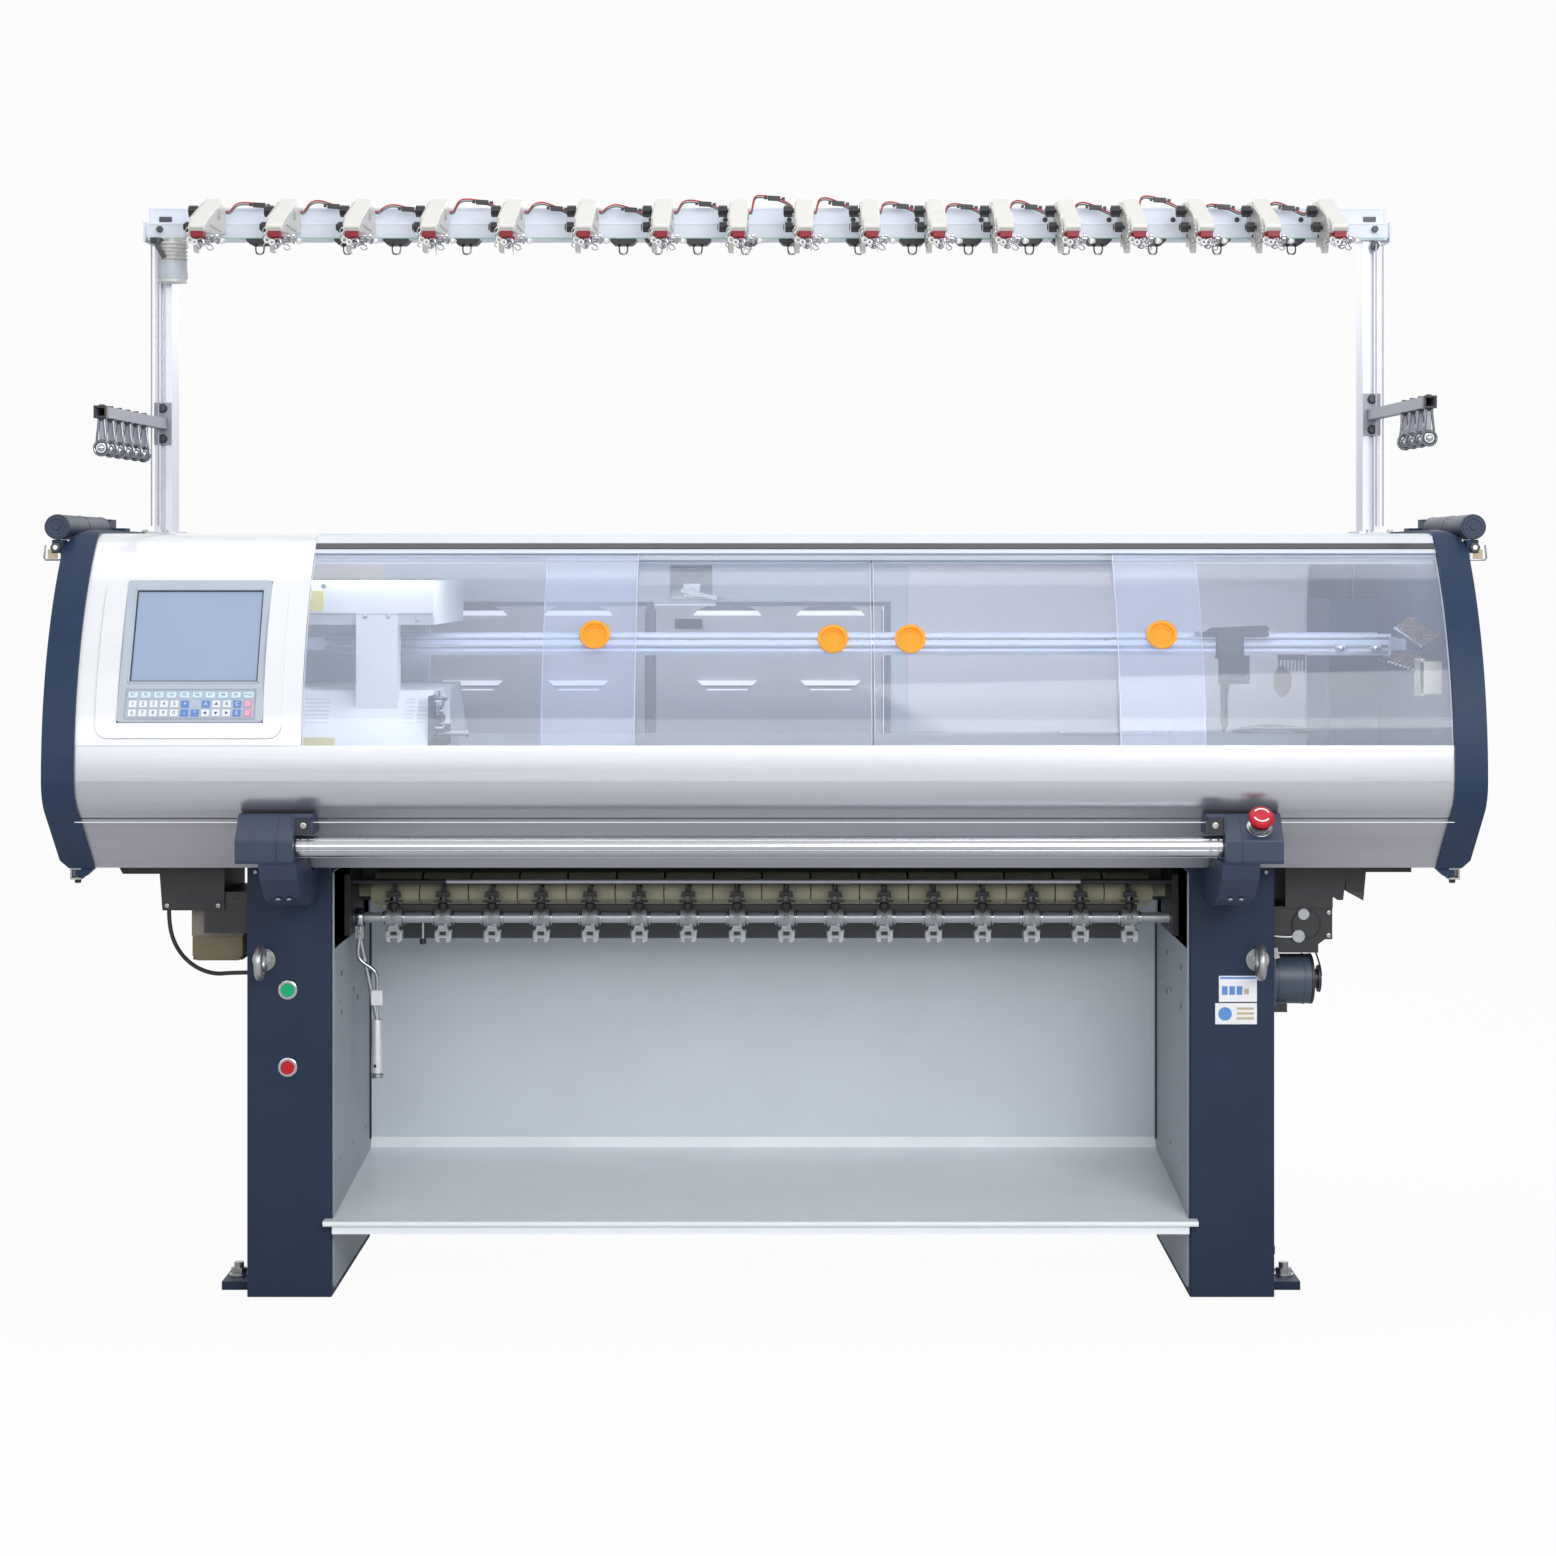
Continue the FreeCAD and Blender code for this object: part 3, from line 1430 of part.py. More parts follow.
def clamp_foot(x):
    """The forked foot under a clamp, wider at its bottom."""
    y0 = pinch_shaft_y - clamp_foot_depth / 2
    y1 = y0 + clamp_foot_depth
    top = pinch_shaft_z - pinch_shaft_radius
    low = top - clamp_foot_height
    half = clamp_foot_width / 2
    outline = [
        (x - half * 0.55, top),
        (x - half * 0.55, top - 10),
        (x - half, top - 16),
        (x - half, low + 4),
        (x - half * 0.7, low),
        (x + half * 0.7, low),
        (x + half, low + 4),
        (x + half, top - 16),
        (x + half * 0.55, top - 10),
        (x + half * 0.55, top),
    ]
    foot = along_y(outline, y0, y1)
    slot = box(x - half * 0.4, x + half * 0.4, y0 - 1, y1 + 1, low - 1, low + 7)
    return foot.cut(slot)


def spring_adjusters():
    """The black T-headed spring screw on the front of each clamp."""
    screws = []
    for x in section_places():
        y = pinch_shaft_y - 9
        top = pinch_shaft_z + clamp_radius
        stem = rod(4.0, 32.0, (x, y, top - 10), AXIS_Z)
        head = box(x - 11, x + 11, y - 5, y + 5, top + 22, top + 29)
        seat = rod(clamp_radius, clamp_width, (x - clamp_width / 2, pinch_shaft_y, pinch_shaft_z), AXIS_X)
        screws.append(joined([stem, head]).cut(seat))
    return group(screws)


def release_lever():
    """The release lever on the pinch shaft's left end, with its tapered grip."""
    x0 = -bearing_inner_x + 3
    y = pinch_shaft_y
    z = pinch_shaft_z
    hub = rod(clamp_radius, 14.0, (x0, y, z), AXIS_X)
    hub = hub.cut(rod(pinch_shaft_radius, 20.0, (x0 - 3, y, z), AXIS_X))
    lug = box(x0, x0 + 14, y - 7, y + 7, z - 36, z - clamp_radius + 3)
    grip_top = z - lever_length + lever_grip_length
    bottom_x = x0 + 36
    start = Vector(x0 + 7, y, z - 34)
    end = Vector(bottom_x, y, grip_top)
    rod_axis = end - start
    stem = Part.makeCylinder(lever_rod_radius, rod_axis.Length, start, rod_axis)
    knee = Part.makeSphere(lever_rod_radius, end)
    grip = Part.makeCone(7.5, 10.0, lever_grip_length, end, Vector(0, 0, -1))
    eye = rod(3.5, 40.0, (bottom_x, y - 20, grip_top - lever_grip_length + 12), AXIS_Y)
    grip = grip.cut(eye)
    return joined([hub, lug, stem, knee, grip])


def take_down_frame():
    """The bearing plates on the legs, the sheet behind the roller and the guard rod."""
    pieces = []
    x0 = bearing_inner_x
    x1 = bearing_inner_x + bearing_plate_thickness
    top = casing_bottom_z - 0.5
    plate_outline = [
        (guard_rod_y - 12, pinch_shaft_z - 26),
        (guard_rod_y - 12, guard_rod_z + 12),
        (guard_rod_y + 20, top),
        (roller_y + 45, top),
        (roller_y + 45, roller_z - 36),
        (roller_y, pinch_shaft_z - 26),
    ]
    for side in (-1, 1):
        plate = along_x(plate_outline, x0, x1)
        roller_bore = roller_journal_radius + bearing_clearance
        shaft_bore = pinch_shaft_radius + bearing_clearance
        plate = plate.cut(rod(roller_bore, 40, (x0 - 5, roller_y, roller_z), AXIS_X))
        plate = plate.cut(rod(shaft_bore, 40, (x0 - 5, pinch_shaft_y, pinch_shaft_z), AXIS_X))
        sleeve_start = (x0 - guard_sleeve_length, guard_rod_y, guard_rod_z)
        holder = rod(guard_sleeve_radius, guard_sleeve_length, sleeve_start, AXIS_X)
        plate = joined([plate, holder])
        if side < 0:
            plate = mirrored(plate)
        pieces.append(plate)
    guard = rod(guard_rod_radius, 2 * x0, (-x0, guard_rod_y, guard_rod_z), AXIS_X)
    tie = along_x(
        [
            (roller_y + 37, roller_z - 22),
            (roller_y + 43, roller_z - 22),
            (roller_y + 43, top),
            (roller_y + 37, top),
        ],
        -x0,
        x0,
    )
    return joined(pieces + [guard, tie])


# ---------------------------------------------------------------- operator controls
def start_bar():
    """The grooved aluminium start bar with a journal at each end."""
    half = bracket_inner_x - 1.5
    bar = rod(start_bar_radius, 2 * half, (-half, start_bar_y, start_bar_z), AXIS_X)
    for index in range(start_bar_grooves):
        turn = math.radians(360.0 / start_bar_grooves * index + 15)
        y = start_bar_y + start_bar_radius * math.cos(turn)
        z = start_bar_z + start_bar_radius * math.sin(turn)
        bar = bar.cut(rod(1.8, 2 * half + 2, (-half - 1, y, z), AXIS_X))
    reach = half + start_bar_journal_length
    journal = rod(start_bar_journal_radius, 2 * reach, (-reach, start_bar_y, start_bar_z), AXIS_X)
    return joined([bar, journal])


def bracket_gap_point(z):
    """A point just in front of the casing's sloping belly."""
    point = slope_point(bracket_gap, z)
    return (point.y, z)


def bar_bracket(side):
    """A cast bracket: the bar's bearing block and the arm back to the leg."""
    x0 = bracket_inner_x
    x1 = bracket_inner_x + bracket_block_width
    block_outline = [
        (bracket_front_y, start_bar_z - 24),
        (bracket_front_y, bracket_top_z - bracket_chamfer),
        (bracket_front_y + bracket_chamfer - 2, bracket_top_z),
        bracket_gap_point(bracket_top_z),
        bracket_gap_point(start_bar_z - 8),
        (start_bar_y + 62, start_bar_z - 24),
    ]
    block = along_x(block_outline, x0, x1)
    limit = start_bar_y + 10
    width = bracket_block_width
    block = rounded(block, 6.0, lambda e: abs(e.Length - width) < 0.1 and e.CenterOfMass.y < limit)
    arm_outline = [
        (bracket_front_y + 8, start_bar_z - 22),
        (start_bar_y + 70, start_bar_z - 22),
        bracket_gap_point(casing_bottom_z - 4),
        (leg_front_y, casing_bottom_z - 4),
        (leg_front_y, casing_bottom_z - 58),
        (-330, casing_bottom_z - 56),
        (-395, casing_bottom_z - 38),
        (-440, casing_bottom_z - 4),
    ]
    arm_x0 = bracket_inner_x - 4
    arm = along_x(arm_outline, arm_x0, arm_x0 + bracket_arm_width)
    inset = rounded_bore_plate(x0)
    web_low = start_bar_z + start_bar_radius + 3
    web_y = start_bar_y - bracket_web_front
    web_outline = [
        (web_y, web_low),
        (web_y, bracket_top_z - 8),
        (web_y + 8, bracket_top_z),
        bracket_gap_point(bracket_top_z),
        bracket_gap_point(web_low),
    ]
    web = along_x(web_outline, x0 - bracket_web_width, x0 + 1)
    whole = joined([block, arm, inset, web])
    depth = start_bar_journal_length + 1.5
    start = (x0 - 5, start_bar_y, start_bar_z)
    bore = rod(start_bar_journal_radius + bearing_clearance, depth + 5, start, AXIS_X)
    whole = whole.cut(bore)
    if side < 0:
        return mirrored(whole)
    whole = whole.cut(stop_rod(stop_stem_radius + button_clearance, -stop_travel - 14, 1))
    return whole


def rounded_bore_plate(x0):
    """The low round boss on the block's outer side."""
    return rod(20.0, 2.0, (x0 + bracket_block_width - 0.5, start_bar_y + 6, start_bar_z), AXIS_X)


def stop_axis():
    """Middle of the block's chamfer and its outward direction."""
    a = Vector(0, bracket_front_y, bracket_top_z - bracket_chamfer)
    b = Vector(0, bracket_front_y + bracket_chamfer - 2, bracket_top_z)
    middle = (a + b) * 0.5
    edge = (b - a).normalize()
    return Vector(stop_x, middle.y, middle.z), Vector(0, -edge.z, edge.y)


def stop_rod(radius, low, high):
    """A round bar on the emergency stop's axis."""
    seat, outward = stop_axis()
    return Part.makeCylinder(radius, high - low, seat + outward * low, outward)


def emergency_stop_head():
    """The red mushroom head and its stem."""
    base = stop_collar_height + stop_travel + 1
    stem = stop_rod(stop_stem_radius, -10, base)
    seat, outward = stop_axis()
    r = stop_head_radius
    low = base
    high = base + stop_head_height
    crown = stop_crown_radius
    lean = crown * (1 - math.sqrt(0.5))
    points = [
        Vector(0, 0, low),
        Vector(r - crown, 0, low),
        Vector(r, 0, low + 4),
        Vector(r, 0, high - crown),
    ]
    edges = [line(points[index], points[index + 1]) for index in range(3)]
    shoulder = Vector(r - crown, 0, high)
    edges.append(arc(points[3], Vector(r - lean, 0, high - lean), shoulder))
    edges.append(line(shoulder, Vector(0, 0, high)))
    edges.append(line(Vector(0, 0, high), points[0]))
    profile = Part.Face(Part.Wire(edges))
    head = profile.revolve(Vector(0, 0, 0), AXIS_Z, 360)
    head.Placement = FreeCAD.Placement(seat, FreeCAD.Rotation(AXIS_Z, outward))
    return joined([stem, head])


def switch_collars():
    """The collars of the two push buttons and of the emergency stop."""
    collars = []
    for z in (green_button_z, red_button_z):
        collar = rod(button_collar_radius, button_collar_height, (button_x, leg_front_y, z), -AXIS_Y)
        start = (button_x, leg_front_y + 1, z)
        bore = rod(button_radius + button_clearance, button_collar_height + 2, start, -AXIS_Y)
        collars.append(collar.cut(bore))
    collar = stop_rod(stop_collar_radius, 0, stop_collar_height)
    collar = collar.cut(stop_rod(stop_stem_radius + button_clearance, -1, stop_collar_height + 1))
    collars.append(collar)
    return group(collars)


def push_button(z):
    """A push button cap that stands a little proud of its collar."""
    front = leg_front_y - button_collar_height - button_proud
    cap = rod(button_radius, button_length, (button_x, front, z), AXIS_Y)
    return rounded(cap, 1.2, lambda e: abs(e.CenterOfMass.y - front) < 0.1 and e.Closed)


# ---------------------------------------------------------------- under the casing
def electrical_boxes():
    """The boxes that hang under the casing's left end, and the belt box on the right."""
    top = casing_bottom_z
    side = leg_outer_x
    inner_outline = [
        (-side - 44, top),
        (-side - 152, top),
        (-side - 146, top - 80),
        (-side - 44, top - 80),
    ]
    outer_outline = [
        (-side - 151, top),
        (-side - 222, top),
        (-side - 211, top - 20),
        (-side - 149, top - 20),
    ]
    pieces = [
        along_y(inner_outline, -190, 0),
        along_y(outer_outline, -190, -40),
        box(-side - 78, -side, -185, -40, top - 118, top - 50),
        box(-side - 103, -side - 21, -150, -60, top - 166, top - 78),
    ]
    left = joined(pieces)
    main_outline = [
        (side + 24, top),
        (side + 126, top),
        (side + 119, top - 63),
        (side + 110, top - 63),
        (side + 102, top - 56),
        (side + 102, top - 76),
        (side + 24, top - 76),
    ]
    main_box = along_y(main_outline, -190, 0)
    slant_outline = [
        (side + 125, top),
        (side + 160, top),
        (side + 154, top - 65),
        (side + 125, top - 49),
    ]
    slant = along_y(slant_outline, -180, -20)
    side_box = box(side + 159, side + 233, -180, -40, top - 18, top)
    right_box = joined([main_box, slant, side_box])
    belt_low = motor_z + motor_radius + 6
    belt_outline = [
        (side, top - 74),
        (side + 102, top - 74),
        (side + 102, belt_low + 22),
        (side + 90, belt_low + 22),
        (side + 79, belt_low + 14),
        (side + 79, belt_low),
        (side, belt_low),
    ]
    belt = along_y(belt_outline, -185, -70)
    return group([left, joined([right_box, belt])])


def drive_motor():
    """The take-down motor on the right leg with its finned end and pulley."""
    x0 = leg_outer_x
    body = rod(motor_radius, motor_length, (x0 + 2, motor_y, motor_z), AXIS_X)
    flange = box(x0, x0 + 8, motor_y - 42, motor_y + 42, motor_z - 42, motor_z + 42)
    motor_low = motor_z - motor_radius
    foot = box(x0, x0 + 29, motor_y - 20, motor_y + 20, motor_low - 10, motor_low + 6)
    end = x0 + 2 + motor_length
    cover = rod(motor_radius - 1, pulley_cover, (end, motor_y, motor_z), AXIS_X)
    hub = rod(pulley_radius, pulley_width, (end + pulley_cover, motor_y, motor_z), AXIS_X)
    disc_x = end + pulley_cover + pulley_width
    disc = rod(pulley_disc_radius, 3.0, (disc_x - 1, motor_y, motor_z), AXIS_X)
    return joined([body, flange, foot, cover, hub, disc])


def cable_route():
    """Points of the corrugated cable from the left boxes down to the leg's side."""
    side = -leg_outer_x
    top = casing_bottom_z - 80
    return [
        Vector(side - 138, -175, top),
        Vector(side - 138, -175, top - 28),
        Vector(side - 126, -175, top - 64),
        Vector(side - 101, -175, top - 92),
        Vector(side - 66, -175, top - 107),
        Vector(side - 32, -175, top - 104),
        Vector(side, -175, top - 104),
    ]


def rounded_tube(points, radius):
    """A tube along straight runs joined by tangent arcs; prints its arcs' radii."""
    edges = []
    start = points[0]
    radii = []
    for before, corner, after in zip(points, points[1:], points[2:]):
        back = before - corner
        ahead = after - corner
        shorter = min(back.Length, ahead.Length)
        turn = math.pi - back.getAngle(ahead)
        setback = 0.45 * shorter
        bend = setback / math.tan(turn / 2)
        radii.append(round(bend, 1))
        entry = corner + back.normalize() * setback
        leave = corner + ahead.normalize() * setback
        bisector = (back + ahead).normalize()
        reach = math.sqrt(bend**2 + setback**2) - bend
        middle = corner + bisector * reach
        edges.append(line(start, entry))
        edges.append(arc(entry, middle, leave))
        start = leave
    edges.append(line(start, points[-1]))
    path = Part.Wire(edges)
    direction = points[1] - points[0]
    section = Part.Wire([Part.Circle(points[0], direction, radius).toShape()])
    tube = path.makePipeShell([section], True, False)
    print("cable radii", radii, "length", round(path.Length, 1))
    print("volume share", round(tube.Volume / (math.pi * radius**2 * path.Length), 4))
    return tube


# ---------------------------------------------------------------- yarn stand
def post(side):
    """A grooved upright with its base plate."""
    x = casing_offset_x + side * post_spacing / 2
    x0 = x - post_width / 2
    x1 = x + post_width / 2
    y0 = post_front_y
    y1 = post_front_y + post_depth
    foot = casing_top_z
    column = box(x0, x1, y0, y1, foot, beam_bottom_z)
    slot = post_groove_width / 2
    for y in (y0, y1 - post_groove_depth):
        groove = box(x - slot, x + slot, y, y + post_groove_depth, foot + post_base_thickness, beam_bottom_z)
        column = column.cut(groove)
    plate = box(x0 - 10, x1 + 10, y0 - 22, y1 + 22, foot, foot + post_base_thickness)
    return joined([column, plate])


def posts():
    return group([post(-1), post(1)])


def yarn_beam():
    """The stepped cross beam with its end plates and bolt heads."""
    x0 = beam_left_x
    x1 = beam_left_x + beam_length
    outline = [
        (beam_front_y, beam_bottom_z),
        (beam_back_y, beam_bottom_z),
        (beam_back_y, beam_top_z),
        (beam_step_y, beam_top_z),
        (beam_step_y, beam_step_z),
        (beam_front_y, beam_step_z),
    ]
    pieces = [along_x(outline, x0 + 4, x1 - 4)]
    for end in (x0, x1 - 4):
        pieces.append(along_x(outline, end, end + 4))
    low = beam_bottom_z - beam_lip
    lip = box(x0 + 4, x1 - 4, beam_front_y - beam_lip, beam_front_y, low, beam_bottom_z + 6)
    pieces.append(lip)
    for x in (x0 + 25, x1 - 25):
        pieces.append(rod(6.0, 5.0, (x, beam_front_y, beam_step_z - 12), -AXIS_Y))
    for x in guide_places():
        pieces.append(guide_dish(x))
    return joined(pieces)


def guide_places():
    """X of the yarn guides under the beam, as shares of its length."""
    return [beam_left_x + beam_length * share for share in guide_shares]


def guide_dish(x):
    """The black dish under the beam that holds a yarn guide's wire loop."""
    top = beam_bottom_z
    half = guide_dish_width / 2
    outline = [
        (x - half, top),
        (x - half * 0.6, top - guide_dish_height),
        (x + half * 0.6, top - guide_dish_height),
        (x + half, top),
    ]
    return along_y(outline, beam_front_y, beam_front_y + guide_dish_depth)


def unit_places():
    """X of each stop and tension unit's middle: seven wide gaps, then narrow ones."""
    places = []
    for index in range(unit_count):
        wide = min(index, unit_wide_count)
        narrow = max(index - unit_wide_count, 0)
        places.append(unit_first_x + wide * unit_wide_pitch + narrow * unit_narrow_pitch)
    return places


def unit_outline():
    """Side outline of a unit: a hood that slopes from the beam's top down to its nose."""
    back = unit_back_y
    nose = unit_nose_y
    return [
        (back, beam_bottom_z + 8),
        (back, beam_top_z - 6),
        (back - 10, beam_top_z + 4),
        (back - 46, beam_top_z + 4),
        (back - 72, beam_top_z - 8),
        (nose + 22, beam_bottom_z + 13),
        (nose, beam_bottom_z + 1),
        (nose, beam_bottom_z - 7),
        (nose + 10, beam_bottom_z - 10),
        (back - 60, beam_bottom_z - 2),
    ]


def unit_plate_outline():
    """Side outline of a unit's left plate, whose leg reaches below the beam."""
    back = unit_back_y
    nose = unit_nose_y
    return [
        (back - 6, beam_top_z - 10),
        (back - 14, beam_top_z),
        (back - 44, beam_top_z),
        (nose + 40, beam_bottom_z + 20),
        (nose + 24, beam_bottom_z + 4),
        (nose + 28, beam_bottom_z - 12),
        (nose + 62, beam_bottom_z - 18),
        (nose + 66, beam_bottom_z - 38),
        (nose + 84, beam_bottom_z - 38),
        (nose + 100, beam_bottom_z - 26),
        (nose + 138, beam_bottom_z - 22),
        (nose + 128, beam_bottom_z + 4),
        (nose + 150, beam_bottom_z + 12),
        (back - 6, beam_bottom_z + 24),
    ]


def unit_shape(x):
    """One unit's housing: the hood and its left side plate."""
    left = x - unit_width / 2
    hood = along_x(unit_outline(), left, left + unit_width)
    plate_x = left - unit_plate_proud
    plate = along_x(unit_plate_outline(), plate_x, plate_x + unit_plate_thickness)
    return joined([hood, plate])


def yarn_units():
    """The hood-shaped housings of the stop and tension units."""
    return group([unit_shape(x) for x in unit_places()])


def fluted_knob(x, y, z, radius, length):
    """A knob along -X with a fluted rim and a short shaft to its unit."""
    corners = []
    steps = knob_flutes * 2
    for index in range(steps):
        turn = 2 * math.pi * index / steps
        reach = radius if index % 2 == 0 else radius * 0.9
        corners.append((y + reach * math.cos(turn), z + reach * math.sin(turn)))
    rim = along_x(corners, x - length - 4, x - 4)
    shaft = box(x - 5, x, y - 3, y + 3, z - 3, z + 3)
    return joined([rim, shaft])


def unit_knobs():
    """Two knobs on the left side of each unit."""
    knobs = []
    nose = unit_nose_y
    for x in unit_places():
        side = x - unit_width / 2 - unit_plate_proud
        knobs.append(fluted_knob(side, nose + 120, beam_top_z - 20, knob_radius, knob_length))
        knobs.append(fluted_knob(side, nose + 76, beam_bottom_z + 6, knob_radius * 0.9, knob_length * 0.85))
    return group(knobs)


def unit_lenses():
    """The red lens under each unit's nose."""
    lenses = []
    nose = unit_nose_y
    for x in unit_places():
        half = unit_width / 2 - 1
        lens = along_x(
            [
                (nose + 12, beam_bottom_z - 8),
                (nose + 10, beam_bottom_z - 20),
                (nose + 44, beam_bottom_z - 18),
                (nose + 44, beam_bottom_z - 6),
            ],
            x - half,
            x + half,
        )
        lenses.append(lens)
    return group([group(lenses).cut(yarn_units())])


def unit_guides():
    """The tension discs and guide shaft under each unit."""
    guides = []
    nose = unit_nose_y
    y = nose + 56
    z = beam_bottom_z - 16
    for x in unit_places():
        stem = box(x - 4, x + 4, y - 5, y + 5, z - 3, beam_bottom_z - 2.4)
        shaft = rod(3.0, 36.0, (x - 4, y, z), AXIS_X)
        disc = rod(9.0, 4.0, (x + 26, y, z), AXIS_X)
        guides.append(joined([stem, shaft, disc]).cut(unit_shape(x)))
    return group(guides)


def signal_lamp():
    """The ribbed translucent lamp on its holder under the beam's front lip."""
    top = beam_bottom_z - beam_lip
    profile = [Vector(0, 0, 0), Vector(lamp_radius * 0.5, 0, 0), Vector(lamp_radius * 0.5, 0, -6)]
    rib = 6.5
    z = -6.0
    while z > -lamp_height + 1:
        profile.append(Vector(lamp_radius, 0, z))
        profile.append(Vector(lamp_radius, 0, z - rib * 0.6))
        profile.append(Vector(lamp_radius - 1.5, 0, z - rib * 0.8))
        z -= rib
    profile.append(Vector(lamp_radius - 4, 0, -lamp_height))
    profile.append(Vector(0, 0, -lamp_height))
    face = Part.Face(Part.makePolygon(profile + profile[:1]))
    lamp = face.revolve(Vector(0, 0, 0), AXIS_Z, 360)
    lamp.translate(Vector(lamp_x, lamp_y, top))
    half = lamp_holder_width / 2
    holder = box(lamp_x - half, lamp_x + half, lamp_y, beam_front_y, top - 3, top)
    return joined([lamp, holder])


def side_arm(side):
    """A square arm that points forwards from a post, with its bolted plate."""
    height = side_arm_left_z if side < 0 else side_arm_right_z
    x = casing_offset_x + side * post_spacing / 2
    half = side_arm_size / 2
    root = post_front_y - 5
    tip = root - side_arm_length
    inner = half - 2
    bar = box(x - half, x + half, tip, root, height - half, height + half)
    hollow = box(x - inner, x + inner, tip - 1, root - 35, height - inner, height + inner)
    bar = bar.cut(hollow)
    bar.rotate(Vector(x, root, height), AXIS_Z, side * side_arm_splay)
    trim = box(x - 60, x + 60, root, post_front_y + 20, height - 40, height + 40)
    bar = bar.cut(trim)
    plate = box(x - post_width / 2, x + post_width / 2, root, post_front_y, height - 36, height + 37)
    pieces = [bar, plate]
    for z in (height - 26, height + 27):
        pieces.append(rod(5.0, 4.0, (x, root, z), -AXIS_Y))
    return joined(pieces + tension_clips(side))


def tension_clips(side):
    """The keyhole-shaped tension clips that hang under a side arm."""
    clips = []
    count = left_clip_count if side < 0 else right_clip_count
    under = (side_arm_left_z if side < 0 else side_arm_right_z) - side_arm_size / 2
    half = side_clip_thickness / 2
    ring_z = under - side_clip_height + side_clip_width / 2
    for index in range(count):
        back = side_arm_length - 12 - index * side_clip_pitch
        y = post_front_y - 5 - back
        splay = back * math.tan(math.radians(side_arm_splay))
        x = casing_offset_x + side * (post_spacing / 2 + splay)
        clips.append(box(x - 7, x + 7, y - half, y + half, under - 16, under + 1))
        clips.append(box(x - 4, x + 4, y - half, y + half, ring_z, under - 14))
        clips.append(rod(side_clip_width / 2, 2 * half, (x, y - half, ring_z), AXIS_Y))
        clips.append(rod(6.0, 14.0, (x, y - 7, ring_z), AXIS_Y))
    return clips


def side_arms():
    return group([side_arm(-1), side_arm(1)])


def feed_roller_place(side):
    """X and Z of a feed roller's axis."""
    x = casing_offset_x + side * (casing_width / 2 + 8)
    return x, casing_top_z + feed_roller_rise


def feed_roller(side):
    """A friction feed roller along the casing's end, on a shaft from its rear mount."""
    x, z = feed_roller_place(side)
    drum = rod(feed_roller_radius, feed_roller_length, (x, feed_roller_front_y, z), AXIS_Y)
    end = feed_roller_front_y + feed_roller_length
    shaft = rod(feed_shaft_radius, 26.0, (x, end, z), AXIS_Y)
    return joined([drum, shaft])


def feed_roller_mount(side):
    """The bearing block behind a feed roller, with its foot on the end cap."""
    x, z = feed_roller_place(side)
    y0 = feed_roller_front_y + feed_roller_length + 2
    y1 = y0 + feed_mount_length
    top = casing_top_z + cap_proud
    half = feed_mount_half
    block = box(x - half, x + half, y0, y1, z - half - 4, z + half)
    inner = skin_left_x if side < 0 else skin_right_x
    inner += side * feed_foot_gap
    foot = box(min(x, inner), max(x, inner), y0, y1, top - 10, top + feed_foot_rise)
    block = joined([block, foot])
    bore = rod(feed_shaft_radius + bearing_clearance, 30.0, (x, y0 - 2, z), AXIS_Y)
    return block.cut(bore)


# ---------------------------------------------------------------- build
def build():
    """Make every sub-part and write it."""
    os.makedirs("parts", exist_ok=True)
    save("left_leg", leg(-1))
    save("right_leg", leg(1))
    save("leg_inner_covers", leg_inner_covers())
    save("levelling_feet", levelling_feet())
    save("lifting_eyes", lifting_eyes())
    save("back_panel", back_panel())
    save("fabric_tray", fabric_tray())
    save("left_end_cap", end_cap(-1))
    save("right_end_cap", end_cap(1))
    save("front_panel", front_panel())
    save("lower_front_strip", lower_front_strip())
    save("control_fascia", control_fascia())
    save("display_bezel", display_bezel())
    save("display_screen", display_screen())
    save("keypad", keypad())
    for index in range(4):
        save(f"window_{index + 1}", window(index))
        save(f"window_pull_{index + 1}", window_pull(index))
    save("top_cover", top_cover())
    save("rear_wall", rear_wall())
    save("left_rear_door", rear_door(0))
    save("right_rear_door", rear_door(1))
    save("rear_door_latch", rear_door_latch())
    save("machine_bed", machine_bed())
    save("needle_beds", needle_beds())
    save("carriage_cam_boxes", carriage_cam_boxes())
    save("carriage_covers", carriage_covers())
    save("carriage_bridge", carriage_bridge())
    save("yarn_rails", yarn_rails())
    save("yarn_carrier", yarn_carrier())
    save("take_down_frame", take_down_frame())
    save("take_down_roller", take_down_roller())
    save("pinch_rollers", pinch_rollers())
    save("pinch_shaft", pinch_shaft())
    save("spring_adjusters", spring_adjusters())
    save("release_lever", release_lever())
    save("start_bar", start_bar())
    save("bar_brackets", group([bar_bracket(-1), bar_bracket(1)]))
    save("emergency_stop_head", emergency_stop_head())
    save("switch_collars", switch_collars())
    save("green_button", push_button(green_button_z))
    save("red_button", push_button(red_button_z))
    save("electrical_boxes", electrical_boxes())
    save("drive_motor", drive_motor())
    save("corrugated_cable", rounded_tube(cable_route(), cable_radius))
    save("posts", posts())
    save("yarn_beam", yarn_beam())
    save("yarn_units", yarn_units())
    save("unit_knobs", unit_knobs())
    save("unit_lenses", unit_lenses())
    save("unit_guides", unit_guides())
    save("signal_lamp", signal_lamp())
    save("side_arms", side_arms())
    save("left_feed_roller", feed_roller(-1))
    save("right_feed_roller", feed_roller(1))


build()
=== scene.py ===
import math

import bmesh
import bpy
from mathutils import Matrix, Vector


